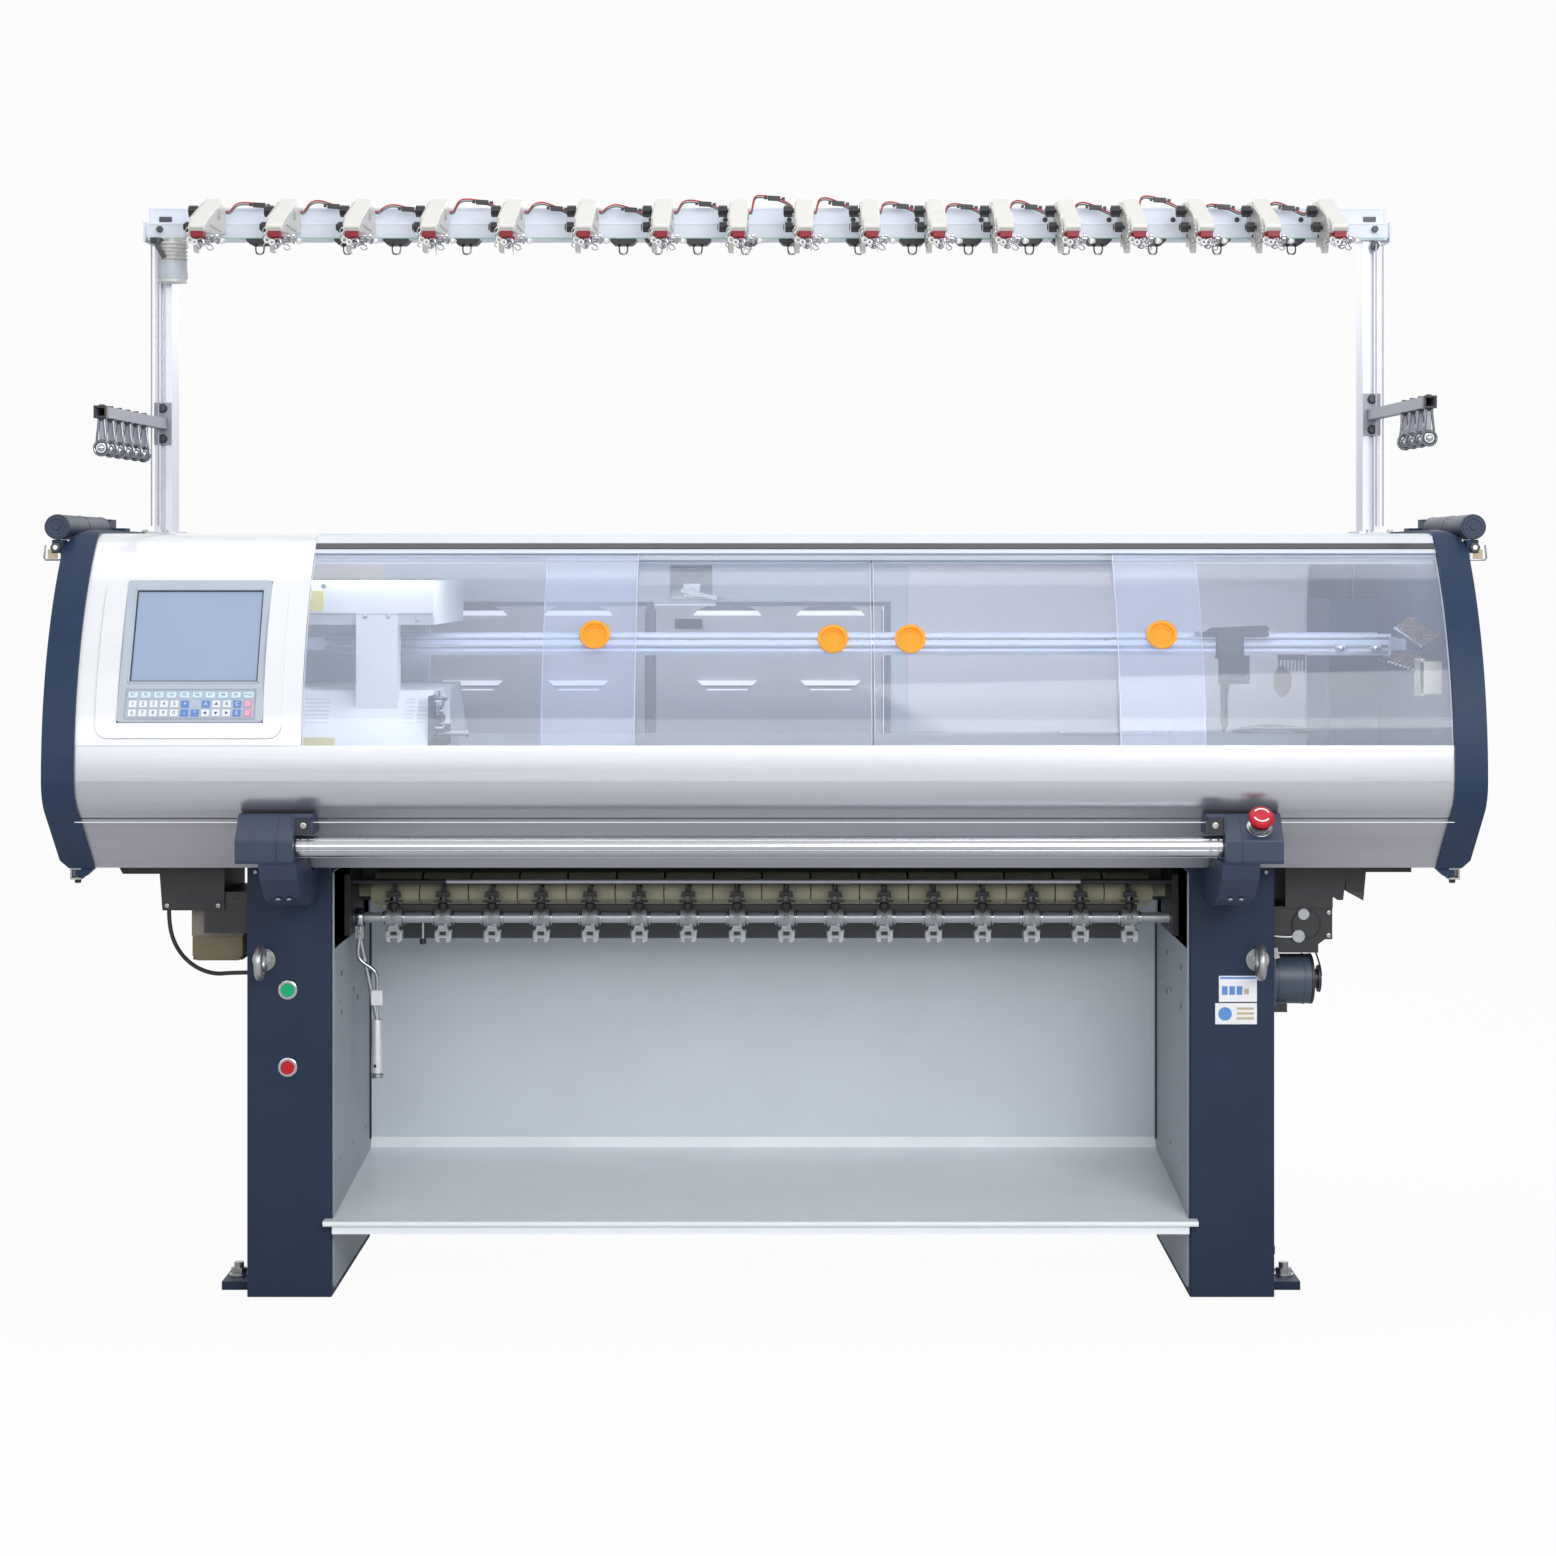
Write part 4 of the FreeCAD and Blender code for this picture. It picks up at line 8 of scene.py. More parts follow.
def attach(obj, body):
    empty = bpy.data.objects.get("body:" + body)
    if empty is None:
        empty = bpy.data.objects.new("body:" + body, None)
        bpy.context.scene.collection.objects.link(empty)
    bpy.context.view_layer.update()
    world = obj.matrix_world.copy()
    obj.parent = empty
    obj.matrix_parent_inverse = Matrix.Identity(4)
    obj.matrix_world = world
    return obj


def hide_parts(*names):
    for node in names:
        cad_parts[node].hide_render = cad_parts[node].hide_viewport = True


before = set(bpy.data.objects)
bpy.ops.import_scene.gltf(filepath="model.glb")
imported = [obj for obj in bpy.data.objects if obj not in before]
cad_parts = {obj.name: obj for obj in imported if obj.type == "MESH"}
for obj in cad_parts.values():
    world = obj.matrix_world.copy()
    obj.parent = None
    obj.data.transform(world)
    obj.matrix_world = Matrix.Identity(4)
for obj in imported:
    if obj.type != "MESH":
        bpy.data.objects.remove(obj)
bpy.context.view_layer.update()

MM = 0.001
ALONG_X = (0.03, 1, 1)

# ------------ camera
camera_data = bpy.data.cameras.new("camera")
camera_data.lens = 70.94
camera_data.sensor_width = 36.0
camera_data.shift_x = -0.009
camera_data.shift_y = -0.135
camera_data.clip_end = 60.0
camera = bpy.data.objects.new("camera", camera_data)
camera.location = (0.051, -5.23, 1.189)
camera.rotation_euler = (math.radians(90), 0, 0)
bpy.context.scene.collection.objects.link(camera)
bpy.context.scene.camera = camera


# ------------ materials
def node(tree, kind, **values):
    """A shader node with its inputs set by name."""
    made = tree.nodes.new(kind)
    for key, value in values.items():
        made.inputs[key].default_value = value
    return made


def linker(tree):
    """Gives a call that joins one node's output to another's input, each by name or number."""
    def link(start, output, end, entry):
        tree.links.new(start.outputs[output], end.inputs[entry])
    return link


def shade(colour, factor):
    return tuple(min(1.0, channel * factor) for channel in colour[:3]) + (1.0,)


def material(name, colour, rough, glow=0.0, metal=0.0, spread=0.05, grain=30, bump=0.1, fine=400, stretch=(1, 1, 1),
             rough_spread=0.08, coat=0.0, specular=0.5, dirt=0.0):
    """A procedural finish: colour mottling, uneven gloss and a fine surface bump."""
    made = bpy.data.materials.new(name)
    made.use_nodes = True
    tree = made.node_tree
    link = linker(tree)
    shader = tree.nodes["Principled BSDF"]
    shader.inputs["Metallic"].default_value = metal
    shader.inputs["Emission Color"].default_value = shade(colour, 1.0)
    shader.inputs["Emission Strength"].default_value = glow
    shader.inputs["Coat Weight"].default_value = coat
    shader.inputs["Specular IOR Level"].default_value = specular
    place = tree.nodes.new("ShaderNodeTexCoord")
    mapping = node(tree, "ShaderNodeMapping", Scale=stretch)
    link(place, "Object", mapping, "Vector")
    mottle = node(tree, "ShaderNodeTexNoise", Scale=grain, Detail=4.0, Roughness=0.6)
    link(mapping, "Vector", mottle, "Vector")
    ramp = tree.nodes.new("ShaderNodeValToRGB")
    ramp.color_ramp.elements[0].position = 0.3
    ramp.color_ramp.elements[0].color = shade(colour, 1 - spread)
    ramp.color_ramp.elements[1].position = 0.7
    ramp.color_ramp.elements[1].color = shade(colour, 1 + spread)
    link(mottle, "Fac", ramp, "Fac")
    surface = ramp.outputs["Color"]
    if dirt:
        patches = node(tree, "ShaderNodeTexNoise", Scale=3.0, Detail=5.0, Roughness=0.7)
        link(place, "Object", patches, "Vector")
        mask = tree.nodes.new("ShaderNodeMapRange")
        mask.inputs["From Min"].default_value = 0.55
        mask.inputs["From Max"].default_value = 0.8
        mask.inputs["To Max"].default_value = dirt
        link(patches, "Fac", mask, "Value")
        stain = tree.nodes.new("ShaderNodeMix")
        stain.data_type = "RGBA"
        stain.inputs[7].default_value = shade(colour, 0.72)
        link(mask, "Result", stain, 0)
        tree.links.new(surface, stain.inputs[6])
        surface = stain.outputs[2]
    tree.links.new(surface, shader.inputs["Base Color"])
    gloss = tree.nodes.new("ShaderNodeMapRange")
    gloss.inputs["To Min"].default_value = max(0.02, rough - rough_spread)
    gloss.inputs["To Max"].default_value = min(1.0, rough + rough_spread)
    link(mottle, "Fac", gloss, "Value")
    link(gloss, "Result", shader, "Roughness")
    grit = node(tree, "ShaderNodeTexNoise", Scale=fine, Detail=3.0)
    link(mapping, "Vector", grit, "Vector")
    relief = node(tree, "ShaderNodeBump", Strength=bump, Distance=0.0004)
    link(grit, "Fac", relief, "Height")
    link(relief, "Normal", shader, "Normal")
    return made


def clear_sheet(name, tint, haze, rough):
    """A thin clear plastic sheet: mostly see-through, with haze and a glossy face."""
    made = bpy.data.materials.new(name)
    made.use_nodes = True
    tree = made.node_tree
    link = linker(tree)
    tree.nodes.remove(tree.nodes["Principled BSDF"])
    out = tree.nodes["Material Output"]
    place = tree.nodes.new("ShaderNodeTexCoord")
    wash = node(tree, "ShaderNodeTexNoise", Scale=2.5, Detail=3.0)
    link(place, "Object", wash, "Vector")
    amount = tree.nodes.new("ShaderNodeMapRange")
    amount.inputs["To Min"].default_value = haze * 0.75
    amount.inputs["To Max"].default_value = haze * 1.25
    link(wash, "Fac", amount, "Value")
    through = node(tree, "ShaderNodeBsdfTransparent", Color=tint)
    milk = node(tree, "ShaderNodeBsdfDiffuse", Color=(0.74, 0.82, 0.99, 1))
    body = tree.nodes.new("ShaderNodeMixShader")
    link(amount, "Result", body, "Fac")
    link(through, "BSDF", body, 1)
    link(milk, "BSDF", body, 2)
    gloss = node(tree, "ShaderNodeBsdfGlossy", Color=(1, 1, 1, 1), Roughness=rough)
    facing = node(tree, "ShaderNodeFresnel", IOR=1.30)
    face = tree.nodes.new("ShaderNodeMixShader")
    link(facing, "Fac", face, "Fac")
    link(body, "Shader", face, 1)
    link(gloss, "BSDF", face, 2)
    path = tree.nodes.new("ShaderNodeLightPath")
    unlit = node(tree, "ShaderNodeBsdfTransparent", Color=(0.96, 0.96, 0.97, 1))
    whole = tree.nodes.new("ShaderNodeMixShader")
    link(path, "Is Shadow Ray", whole, "Fac")
    link(face, "Shader", whole, 1)
    link(unlit, "BSDF", whole, 2)
    link(whole, "Shader", out, "Surface")
    return made


NAVY = material("navy_paint", (0.017, 0.03, 0.062), 0.5, spread=0.1, grain=9, bump=0.12, fine=700, specular=0.22,
                dirt=0.25)
CAP_NAVY = material("cap_navy", (0.022, 0.042, 0.088), 0.42, spread=0.12, grain=12, fine=900, specular=0.16)
ROLLER_NAVY = material("feed_roller_paint", (0.022, 0.036, 0.07), 0.55, spread=0.12, grain=16, fine=900)
BRACKET_NAVY = material("bracket_navy", (0.022, 0.036, 0.078), 0.46, spread=0.1, grain=14, bump=0.12, fine=900)
GREY_PAINT = material("light_grey_paint", (0.64, 0.7, 0.76), 0.5, spread=0.03, grain=6, fine=800, dirt=0.1)
TRAY_PAINT = material("tray_paint", (0.88, 0.92, 0.97), 0.34, spread=0.04, grain=5, fine=700, dirt=0.18)
COVER_PAINT = material("leg_cover_paint", (0.34, 0.38, 0.42), 0.5, grain=8, fine=800, dirt=0.2)
BRUSHED = material("brushed_panel", (0.52, 0.53, 0.57), 0.3, metal=0.8, bump=0.2, fine=600, stretch=ALONG_X,
                   rough_spread=0.05)
STRIP = material("lower_strip", (0.5, 0.5, 0.54), 0.36, metal=0.85, bump=0.2, fine=600, stretch=ALONG_X,
                 rough_spread=0.05)
FASCIA = material("white_fascia", (0.78, 0.79, 0.82), 0.16, spread=0.015, grain=5, bump=0.03, coat=0.4)
BEZEL = material("bezel_grey", (0.45, 0.51, 0.59), 0.42, spread=0.03, grain=20, bump=0.12, fine=900)
SCREEN = material("screen_glass", (0.33, 0.41, 0.58), 0.18, spread=0.06, grain=3, bump=0.01, coat=0.15)
KEYPAD = material("keypad_film", (0.44, 0.5, 0.6), 0.4, spread=0.03, fine=900)
KEY_WHITE = material("key_white", (0.8, 0.83, 0.86), 0.35, spread=0.03, grain=60, bump=0.08)
KEY_CYAN = material("key_cyan", (0.62, 0.8, 0.86), 0.35, spread=0.03, grain=60, bump=0.08)
KEY_BLUE = material("key_blue", (0.12, 0.24, 0.6), 0.35, grain=60, bump=0.08)
KEY_PINK = material("key_pink", (0.74, 0.3, 0.44), 0.35, grain=60, bump=0.08)
KEY_INK = material("key_ink", (0.05, 0.08, 0.16), 0.5, spread=0.1, grain=80, bump=0.03)
CLEAR = clear_sheet("clear_acrylic", (0.93, 0.95, 0.985, 1), 0.13, 0.05)
CUP = clear_sheet("milky_cup", (0.95, 0.95, 0.94, 1), 0.45, 0.10)
ORANGE = material("orange_pull", (0.9, 0.34, 0.012), 0.25, spread=0.07, grain=50, bump=0.04, coat=0.3)
WHITE_PAINT = material("carriage_white", (0.92, 0.94, 0.95), 0.4, spread=0.03, grain=10, bump=0.06, fine=900,
                       dirt=0.06)
STEEL = material("machined_steel", (0.5, 0.5, 0.52), 0.34, metal=0.9, spread=0.1, grain=60, bump=0.25, fine=500,
                 stretch=(0.1, 1, 1), dirt=0.2)
BED = material("cast_bed", (0.035, 0.045, 0.075), 0.48, spread=0.15, grain=18, bump=0.35, fine=260, dirt=0.2)
ALU = material("aluminium_profile", (0.72, 0.73, 0.8), 0.42, metal=0.35, spread=0.04, bump=0.12, fine=500,
               stretch=(1, 1, 0.05))
ALU_DARK = material("profile_groove", (0.34, 0.35, 0.42), 0.45, metal=0.3)
BEAM_LIGHT = material("beam_edge", (0.78, 0.79, 0.86), 0.4, spread=0.03, grain=14, bump=0.08)
BEAM = material("beam_coat", (0.72, 0.76, 0.85), 0.42, spread=0.04, grain=14, fine=700, dirt=0.1)
BAR = material("bar_aluminium", (0.5, 0.51, 0.55), 0.2, metal=0.92, spread=0.04, grain=40, fine=500, stretch=ALONG_X)
CHROME = material("chrome_steel", (0.46, 0.47, 0.5), 0.16, metal=1.0, grain=50, bump=0.04, rough_spread=0.05)
CREAM = material("cream_rubber", (0.4, 0.385, 0.27), 0.66, spread=0.1, grain=26, bump=0.35, fine=600,
                 stretch=(0.5, 1, 1), dirt=0.35)
BLACK = material("black_plastic", (0.016, 0.017, 0.02), 0.42, spread=0.2, grain=40, bump=0.2, fine=700)
DARK_STEEL = material("dark_steel", (0.055, 0.058, 0.064), 0.38, metal=0.6, spread=0.15, grain=40, bump=0.2, fine=500)
BEIGE = material("device_beige", (0.7, 0.69, 0.66), 0.36, spread=0.03, bump=0.08, fine=900, dirt=0.08)
BEIGE_DARK = material("device_side", (0.4, 0.39, 0.36), 0.42, bump=0.08, fine=900, dirt=0.15)
BEIGE_SIDE = material("device_plate", (0.46, 0.45, 0.42), 0.4, spread=0.04, bump=0.08, fine=900)
LENS = material("red_lens", (0.26, 0.006, 0.016), 0.3, spread=0.12, grain=40, bump=0.03, specular=0.25)
LAMP = material("lamp_white", (0.62, 0.63, 0.6), 0.3, grain=20, bump=0.05, coat=0.2)
GREEN = material("green_cap", (0.004, 0.42, 0.17), 0.4, spread=0.08, grain=60, bump=0.04, specular=0.25)
RED = material("red_cap", (0.5, 0.008, 0.018), 0.36, spread=0.08, grain=60, bump=0.04, specular=0.3)
ZINC = material("zinc_steel", (0.4, 0.41, 0.42), 0.34, metal=0.9, spread=0.12, grain=60, bump=0.2, dirt=0.25)
ARM_GREY = material("arm_grey", (0.27, 0.28, 0.34), 0.42, metal=0.3, spread=0.06, grain=40, bump=0.12, fine=600)
KHAKI = material("khaki_box", (0.17, 0.14, 0.075), 0.45, spread=0.15, grain=14, bump=0.12, fine=500, dirt=0.3)
YELLOW = material("yellow_plate", (0.94, 0.82, 0.22), 0.45, spread=0.04, bump=0.05)
PLATE_WHITE = material("plain_plate", (0.82, 0.83, 0.85), 0.4, spread=0.03, grain=20, bump=0.04)
WIRE_RED = material("wire_red", (0.42, 0.02, 0.03), 0.4, spread=0.1, grain=60, bump=0.05)
WIRE_GREEN = material("wire_green", (0.1, 0.2, 0.18), 0.45, spread=0.1, grain=60, bump=0.05)
TEAL = material("teal_strip", (0.34, 0.55, 0.5), 0.4, spread=0.06, bump=0.05)
SAND = material("sand_panel", (0.94, 0.8, 0.66), 0.5, spread=0.04, grain=10, bump=0.06)
BROWN = material("brown_disc", (0.3, 0.22, 0.19), 0.55, spread=0.08, grain=20)
# dark olive as painted shade behind the take-down roller
OLIVE_PAINTED_SHADE = material("olive_shade", (0.12, 0.1, 0.045), 0.6, spread=0.15, grain=10)
RAIL = material("rail_aluminium", (0.44, 0.49, 0.6), 0.5, metal=0.1, spread=0.04, fine=500, stretch=ALONG_X,
                specular=0.3)
SHAFT = material("ground_shaft", (0.44, 0.45, 0.49), 0.34, metal=0.55, grain=40, bump=0.08, fine=500, stretch=ALONG_X)
CLIP = material("clip_steel", (0.2, 0.21, 0.23), 0.24, metal=1.0, spread=0.08, grain=50, bump=0.05)
BAND_GREY = material("head_band", (0.66, 0.68, 0.72), 0.42, spread=0.03, grain=8, bump=0.06)
# pale louvre faces that glow: painted light standing in for the light on and through the rear doors' louvres
LOUVRE_PAINTED_LIGHT = material("louvre_pale", (0.92, 0.92, 0.95), 0.45, glow=0.55, spread=0.02, grain=10, bump=0.04)
# dark grey as painted shade: under the louvres, along the doors' edges and on the stops behind the gaps round the
# doors
DOOR_PAINTED_SHADE = material("louvre_shade", (0.2, 0.2, 0.23), 0.5, spread=0.06, grain=10, bump=0.06)
GRIP = material("grip_metal", (0.74, 0.73, 0.78), 0.34, metal=0.45, grain=40, bump=0.08, fine=700)
FRAME_SHADE = material("frame_shade", (0.46, 0.47, 0.52), 0.5, spread=0.04, bump=0.05)
SEAM_GREY = material("seam_grey", (0.3, 0.32, 0.36), 0.5, bump=0.05)
EDGE = material("acrylic_edge", (0.62, 0.64, 0.74), 0.25, grain=40, bump=0.03)
CAST_GREY = material("cast_clamp", (0.34, 0.35, 0.37), 0.4, metal=0.5, spread=0.08, grain=50, bump=0.2, fine=500)
# lighter khaki as painted light on the top of the box under the casing
KHAKI_PAINTED_LIGHT = material("khaki_light", (0.24, 0.22, 0.18), 0.5, spread=0.08, grain=14)
CAP_GREY = material("cap_grey", (0.42, 0.44, 0.46), 0.45, bump=0.06)
MOTOR_GREY = material("motor_paint", (0.05, 0.07, 0.105), 0.42, spread=0.08, grain=14, bump=0.12, fine=800)
# pale line as a painted highlight along the front panel's seam
SEAM_HIGHLIGHT = material("seam_light", (0.86, 0.86, 0.88), 0.4, spread=0.02, bump=0.03)
PLATE_BLUE = material("plate_blue", (0.1, 0.26, 0.62), 0.4, spread=0.04, bump=0.04)
LIGHT_PANEL = material("light_panel", (0.8, 0.78, 0.82), 0.5, spread=0.03, grain=4, bump=0.05)
DOOR_GREY = material("door_grey", (0.56, 0.55, 0.58), 0.5, grain=5, bump=0.08, fine=700, dirt=0.15)
CREAM_PLATE = material("cream_plate", (0.62, 0.58, 0.48), 0.45, spread=0.04, grain=20, bump=0.06)
TAN = material("tan_plate", (0.52, 0.42, 0.28), 0.5, spread=0.06, bump=0.08)
COPPER = material("spring_wire", (0.42, 0.3, 0.18), 0.3, metal=0.8, spread=0.08, grain=60, bump=0.05)
EYELET = material("white_ceramic", (0.8, 0.78, 0.76), 0.2, spread=0.03, grain=80, bump=0.02, coat=0.3)

# the finish of each node of the CAD
FINISHES = (
    (NAVY, "left_leg right_leg"),
    (COVER_PAINT, "leg_inner_covers"),
    (ZINC, "levelling_feet lifting_eyes release_lever"),
    (GREY_PAINT, "back_panel top_cover rear_wall"),
    (TRAY_PAINT, "fabric_tray"),
    (CAP_NAVY, "left_end_cap right_end_cap"),
    (BRUSHED, "front_panel"),
    (STRIP, "lower_front_strip"),
    (FASCIA, "control_fascia"),
    (BEZEL, "display_bezel"),
    (SCREEN, "display_screen"),
    (KEYPAD, "keypad"),
    (DOOR_GREY, "left_rear_door right_rear_door"),
    (BLACK, "rear_door_latch yarn_carrier take_down_frame spring_adjusters electrical_boxes "
            "corrugated_cable unit_knobs"),
    (BED, "machine_bed"),
    (STEEL, "needle_beds carriage_cam_boxes"),
    (WHITE_PAINT, "carriage_covers carriage_bridge"),
    (RAIL, "yarn_rails"),
    (CREAM, "take_down_roller pinch_rollers"),
    (SHAFT, "pinch_shaft"),
    (BAR, "start_bar"),
    (BRACKET_NAVY, "bar_brackets"),
    (RED, "emergency_stop_head red_button"),
    (CHROME, "switch_collars unit_guides"),
    (GREEN, "green_button"),
    (MOTOR_GREY, "drive_motor"),
    (ALU, "posts"),
    (BEAM, "yarn_beam"),
    (BEIGE, "yarn_units"),
    (LENS, "unit_lenses"),
    (LAMP, "signal_lamp"),
    (ARM_GREY, "side_arms"),
    (ROLLER_NAVY, "left_feed_roller right_feed_roller"),
    (CLEAR, "window_1 window_2 window_3 window_4"),
    (ORANGE, "window_pull_1 window_pull_2 window_pull_3 window_pull_4"),
)
for finish, names in FINISHES:
    for name in names.split():
        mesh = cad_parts[name].data
        mesh.materials.clear()
        mesh.materials.append(finish)

# the record's slots and the finishes that belong to them under another name
SLOTS = {
    "navy_paint": "cap_navy feed_roller_paint bracket_navy motor_paint",
    "keypad_film": "key_white key_cyan key_blue key_pink key_ink seam_grey",
    "aluminium_profile": "profile_groove beam_edge beam_coat teal_strip",
    "machined_steel": "bar_aluminium ground_shaft",
    "black_plastic": "dark_steel khaki_box khaki_light",
    "device_beige": "device_side device_plate",
    "carriage_white": "yellow_plate",
    "white_fascia": "plain_plate frame_shade plate_blue",
    "red_lens": "wire_red",
    "green_cap": "wire_green",
    "light_grey_paint": "sand_panel brown_disc head_band louvre_pale louvre_shade light_panel cream_plate",
    "cream_rubber": "olive_shade tan_plate",
    "chrome_steel": "clip_steel grip_metal spring_wire",
    "clear_acrylic": "acrylic_edge",
    "zinc_steel": "cast_clamp cap_grey",
    "brushed_panel": "seam_light",
    "lamp_white": "white_ceramic milky_cup",
}
SLOT_OF = {name: slot for slot, names in SLOTS.items() for name in names.split()}


# ------------ mesh building
RIGHT, LEFT = (1, 0, 0), (-1, 0, 0)
REAR, FRONT = (0, 1, 0), (0, -1, 0)
UP, DOWN = (0, 0, 1), (0, 0, -1)
SIDES = (-1, 1)
BOX_FACES = ((0, 1, 3, 2), (4, 6, 7, 5), (0, 4, 5, 1), (2, 3, 7, 6), (0, 2, 6, 4), (1, 5, 7, 3))


def turn_to(axis):
    return Vector(UP).rotation_difference(Vector(axis)).to_matrix()


def turned(angle, axis="Y"):
    return Matrix.Rotation(angle, 3, axis)


def circle(radius, sides, start=0.0):
    angles = [start + 2 * math.pi * index / sides for index in range(sides)]
    return [(radius * math.cos(angle), radius * math.sin(angle)) for angle in angles]


def smooth_path(points, steps=6):
    """Points along a soft curve through the given ones."""
    points = [Vector(point) for point in points]
    path = []
    for index in range(len(points) - 1):
        p0, p1, p2 = points[max(index - 1, 0)], points[index], points[index + 1]
        p3 = points[min(index + 2, len(points) - 1)]
        for step in range(steps):
            t = step / steps
            path.append(0.5 * ((2 * p1) + (p2 - p0) * t + (2 * p0 - 5 * p1 + 4 * p2 - p3) * t * t
                               + (3 * p1 - p0 - 3 * p2 + p3) * t ** 3))
    return path + [points[-1]]


class Form:
    """Faces gathered in millimetres round its own X that become one piece."""

    def __init__(self, x=0.0):
        self.bm = bmesh.new()
        self.x = x

    def vert(self, point):
        return self.bm.verts.new((point[0] + self.x, point[1], point[2]))

    def block(self, corners):
        verts = [self.vert(corner) for corner in corners]
        for order in BOX_FACES:
            self.bm.faces.new([verts[index] for index in order])
        return self

    def box(self, x0, x1, y0, y1, z0, z1):
        return self.block([(x, y, z) for x in (x0, x1) for y in (y0, y1) for z in (z0, z1)])

    def boxes(self, *rows):
        for row in rows:
            self.box(*row)
        return self

    def twin_boxes(self, near, far, *rest):
        """The same box on both sides of the middle."""
        for side in SIDES:
            self.box(*sorted((side * near, side * far)), *rest)
        return self

    def turned_box(self, centre, size, matrix):
        half = Vector(size) / 2
        return self.block([matrix @ Vector((half.x * i, half.y * j, half.z * k)) + Vector(centre)
                           for i in SIDES for j in SIDES for k in SIDES])

    def loops(self, rings):
        """Faces between rings of points with equal counts, and the two ends."""
        made = [[self.vert(point) for point in ring] for ring in rings]
        count = len(made[0])
        for lower, upper in zip(made, made[1:]):
            for index in range(count):
                after = (index + 1) % count
                self.bm.faces.new((lower[index], lower[after], upper[after], upper[index]))
        self.bm.faces.new(made[0][::-1])
        self.bm.faces.new(made[-1])
        return self

    def prism_x(self, outline, x0, x1):
        return self.loops([[(x, y, z) for y, z in outline] for x in (x0, x1)])

    def prism_y(self, outline, y0, y1):
        return self.loops([[(x, y, z) for x, z in outline] for y in (y0, y1)])

    def lathe(self, profile, start, axis, sides=32):
        """A turned form: profile is a list of (distance along the axis, radius)."""
        turn = turn_to(axis)
        return self.loops([[turn @ Vector((*spoke, along)) + Vector(start) for spoke in circle(radius, sides)]
                           for along, radius in profile])

    def rod(self, start, end, radius, sides=16):
        axis = Vector(end) - Vector(start)
        return self.lathe([(0, radius), (axis.length, radius)], start, axis, sides)

    def hoop(self, centre, axis, half, rim, low, high, sides=48):
        """A band round a shaft: half its width, half its rim, and the two radii."""
        return self.lathe([(-half, low), (-rim, high), (rim, high), (half, low)], centre, axis, sides)

    def disc(self, centre, axis, radius, thickness, edge=0.6, sides=32):
        """A round plate with softened edges, centred on its own thickness."""
        start = Vector(centre) - Vector(axis) * thickness / 2
        profile = [(0, radius - edge), (edge, radius), (thickness - edge, radius), (thickness, radius - edge)]
        return self.lathe(profile, start, axis, sides)

    def screw(self, place, axis, radius, height, sides=18):
        """A domed screw head with a socket; axis points out of the surface."""
        hole = radius * 0.42
        return self.lathe([(-0.6, radius * 0.92), (height * 0.45, radius), (height * 0.85, radius * 0.86),
                           (height, radius * 0.6), (height, hole), (height * 0.35, hole)], place, axis, sides)

    def hex_head(self, place, axis, radius, height):
        turn = turn_to(axis)
        return self.loops([[turn @ Vector((*corner, along)) + Vector(place) for corner in circle(radius * scale, 6)]
                           for along, scale in ((-0.4, 1.0), (height * 0.8, 1.0), (height, 0.86))])

    def ball(self, centre, radius, sides=20, steps=10):
        profile = [(radius - radius * math.cos(math.pi * index / steps), radius * math.sin(math.pi * index / steps))
                   for index in range(1, steps)]
        return self.lathe(profile, Vector(centre) - Vector((0, 0, radius)), UP, sides)

    def wire(self, points, radius, sides=6):
        """A round wire straight from point to point."""
        points = [Vector(point) for point in points]
        rings = []
        side = None
        for index, point in enumerate(points):
            along = (points[min(index + 1, len(points) - 1)] - points[max(index - 1, 0)]).normalized()
            side = side or along.orthogonal().normalized()
            side = (side - along * side.dot(along)).normalized()
            other = along.cross(side)
            rings.append([point + side * a + other * b for a, b in circle(radius, sides)])
        return self.loops(rings)

    def tube(self, points, radius, sides=8):
        """A round wire along a smooth path through the points."""
        return self.wire(smooth_path(points), radius, sides)

    def coil(self, start, end, radius, wire, turns, sides=6, steps=8):
        """A wound spring between two points."""
        axis = Vector(end) - Vector(start)
        turn = turn_to(axis)
        spokes = circle(radius, steps)
        points = [turn @ Vector((*spokes[index % steps], axis.length * index / (turns * steps))) + Vector(start)
                  for index in range(turns * steps + 1)]
        return self.wire(points, wire, sides)

    def ring(self, centre, axis, radius, wire, turns=24, sides=8):
        """A closed round wire ring."""
        turn = turn_to(axis)
        up = turn @ Vector(UP)
        rows = []
        for spoke in circle(radius, turns):
            out = (turn @ Vector((*spoke, 0))).normalized()
            middle = Vector(centre) + out * radius
            rows.append([self.vert(middle + out * a + up * b) for a, b in circle(wire, sides)])
        for row, after in zip(rows, rows[1:] + rows[:1]):
            for k in range(sides):
                self.bm.faces.new((row[k], row[(k + 1) % sides], after[(k + 1) % sides], after[k]))
        return self

    def lettering(self, text, place, matrix, height):
        """Raised figures built from the standard outline letters."""
        data = bpy.data.curves.new("letters", "FONT")
        data.body = text
        data.size = height / 0.72
        data.align_x = data.align_y = "CENTER"
        data.extrude = 0.12
        data.resolution_u = 3
        start = len(self.bm.verts)
        mesh = curve_mesh(data)
        self.bm.from_mesh(mesh)
        bpy.data.meshes.remove(mesh)
        self.bm.verts.ensure_lookup_table()
        for vert in self.bm.verts[start:]:
            vert.co = matrix @ vert.co + Vector(place)
        return self

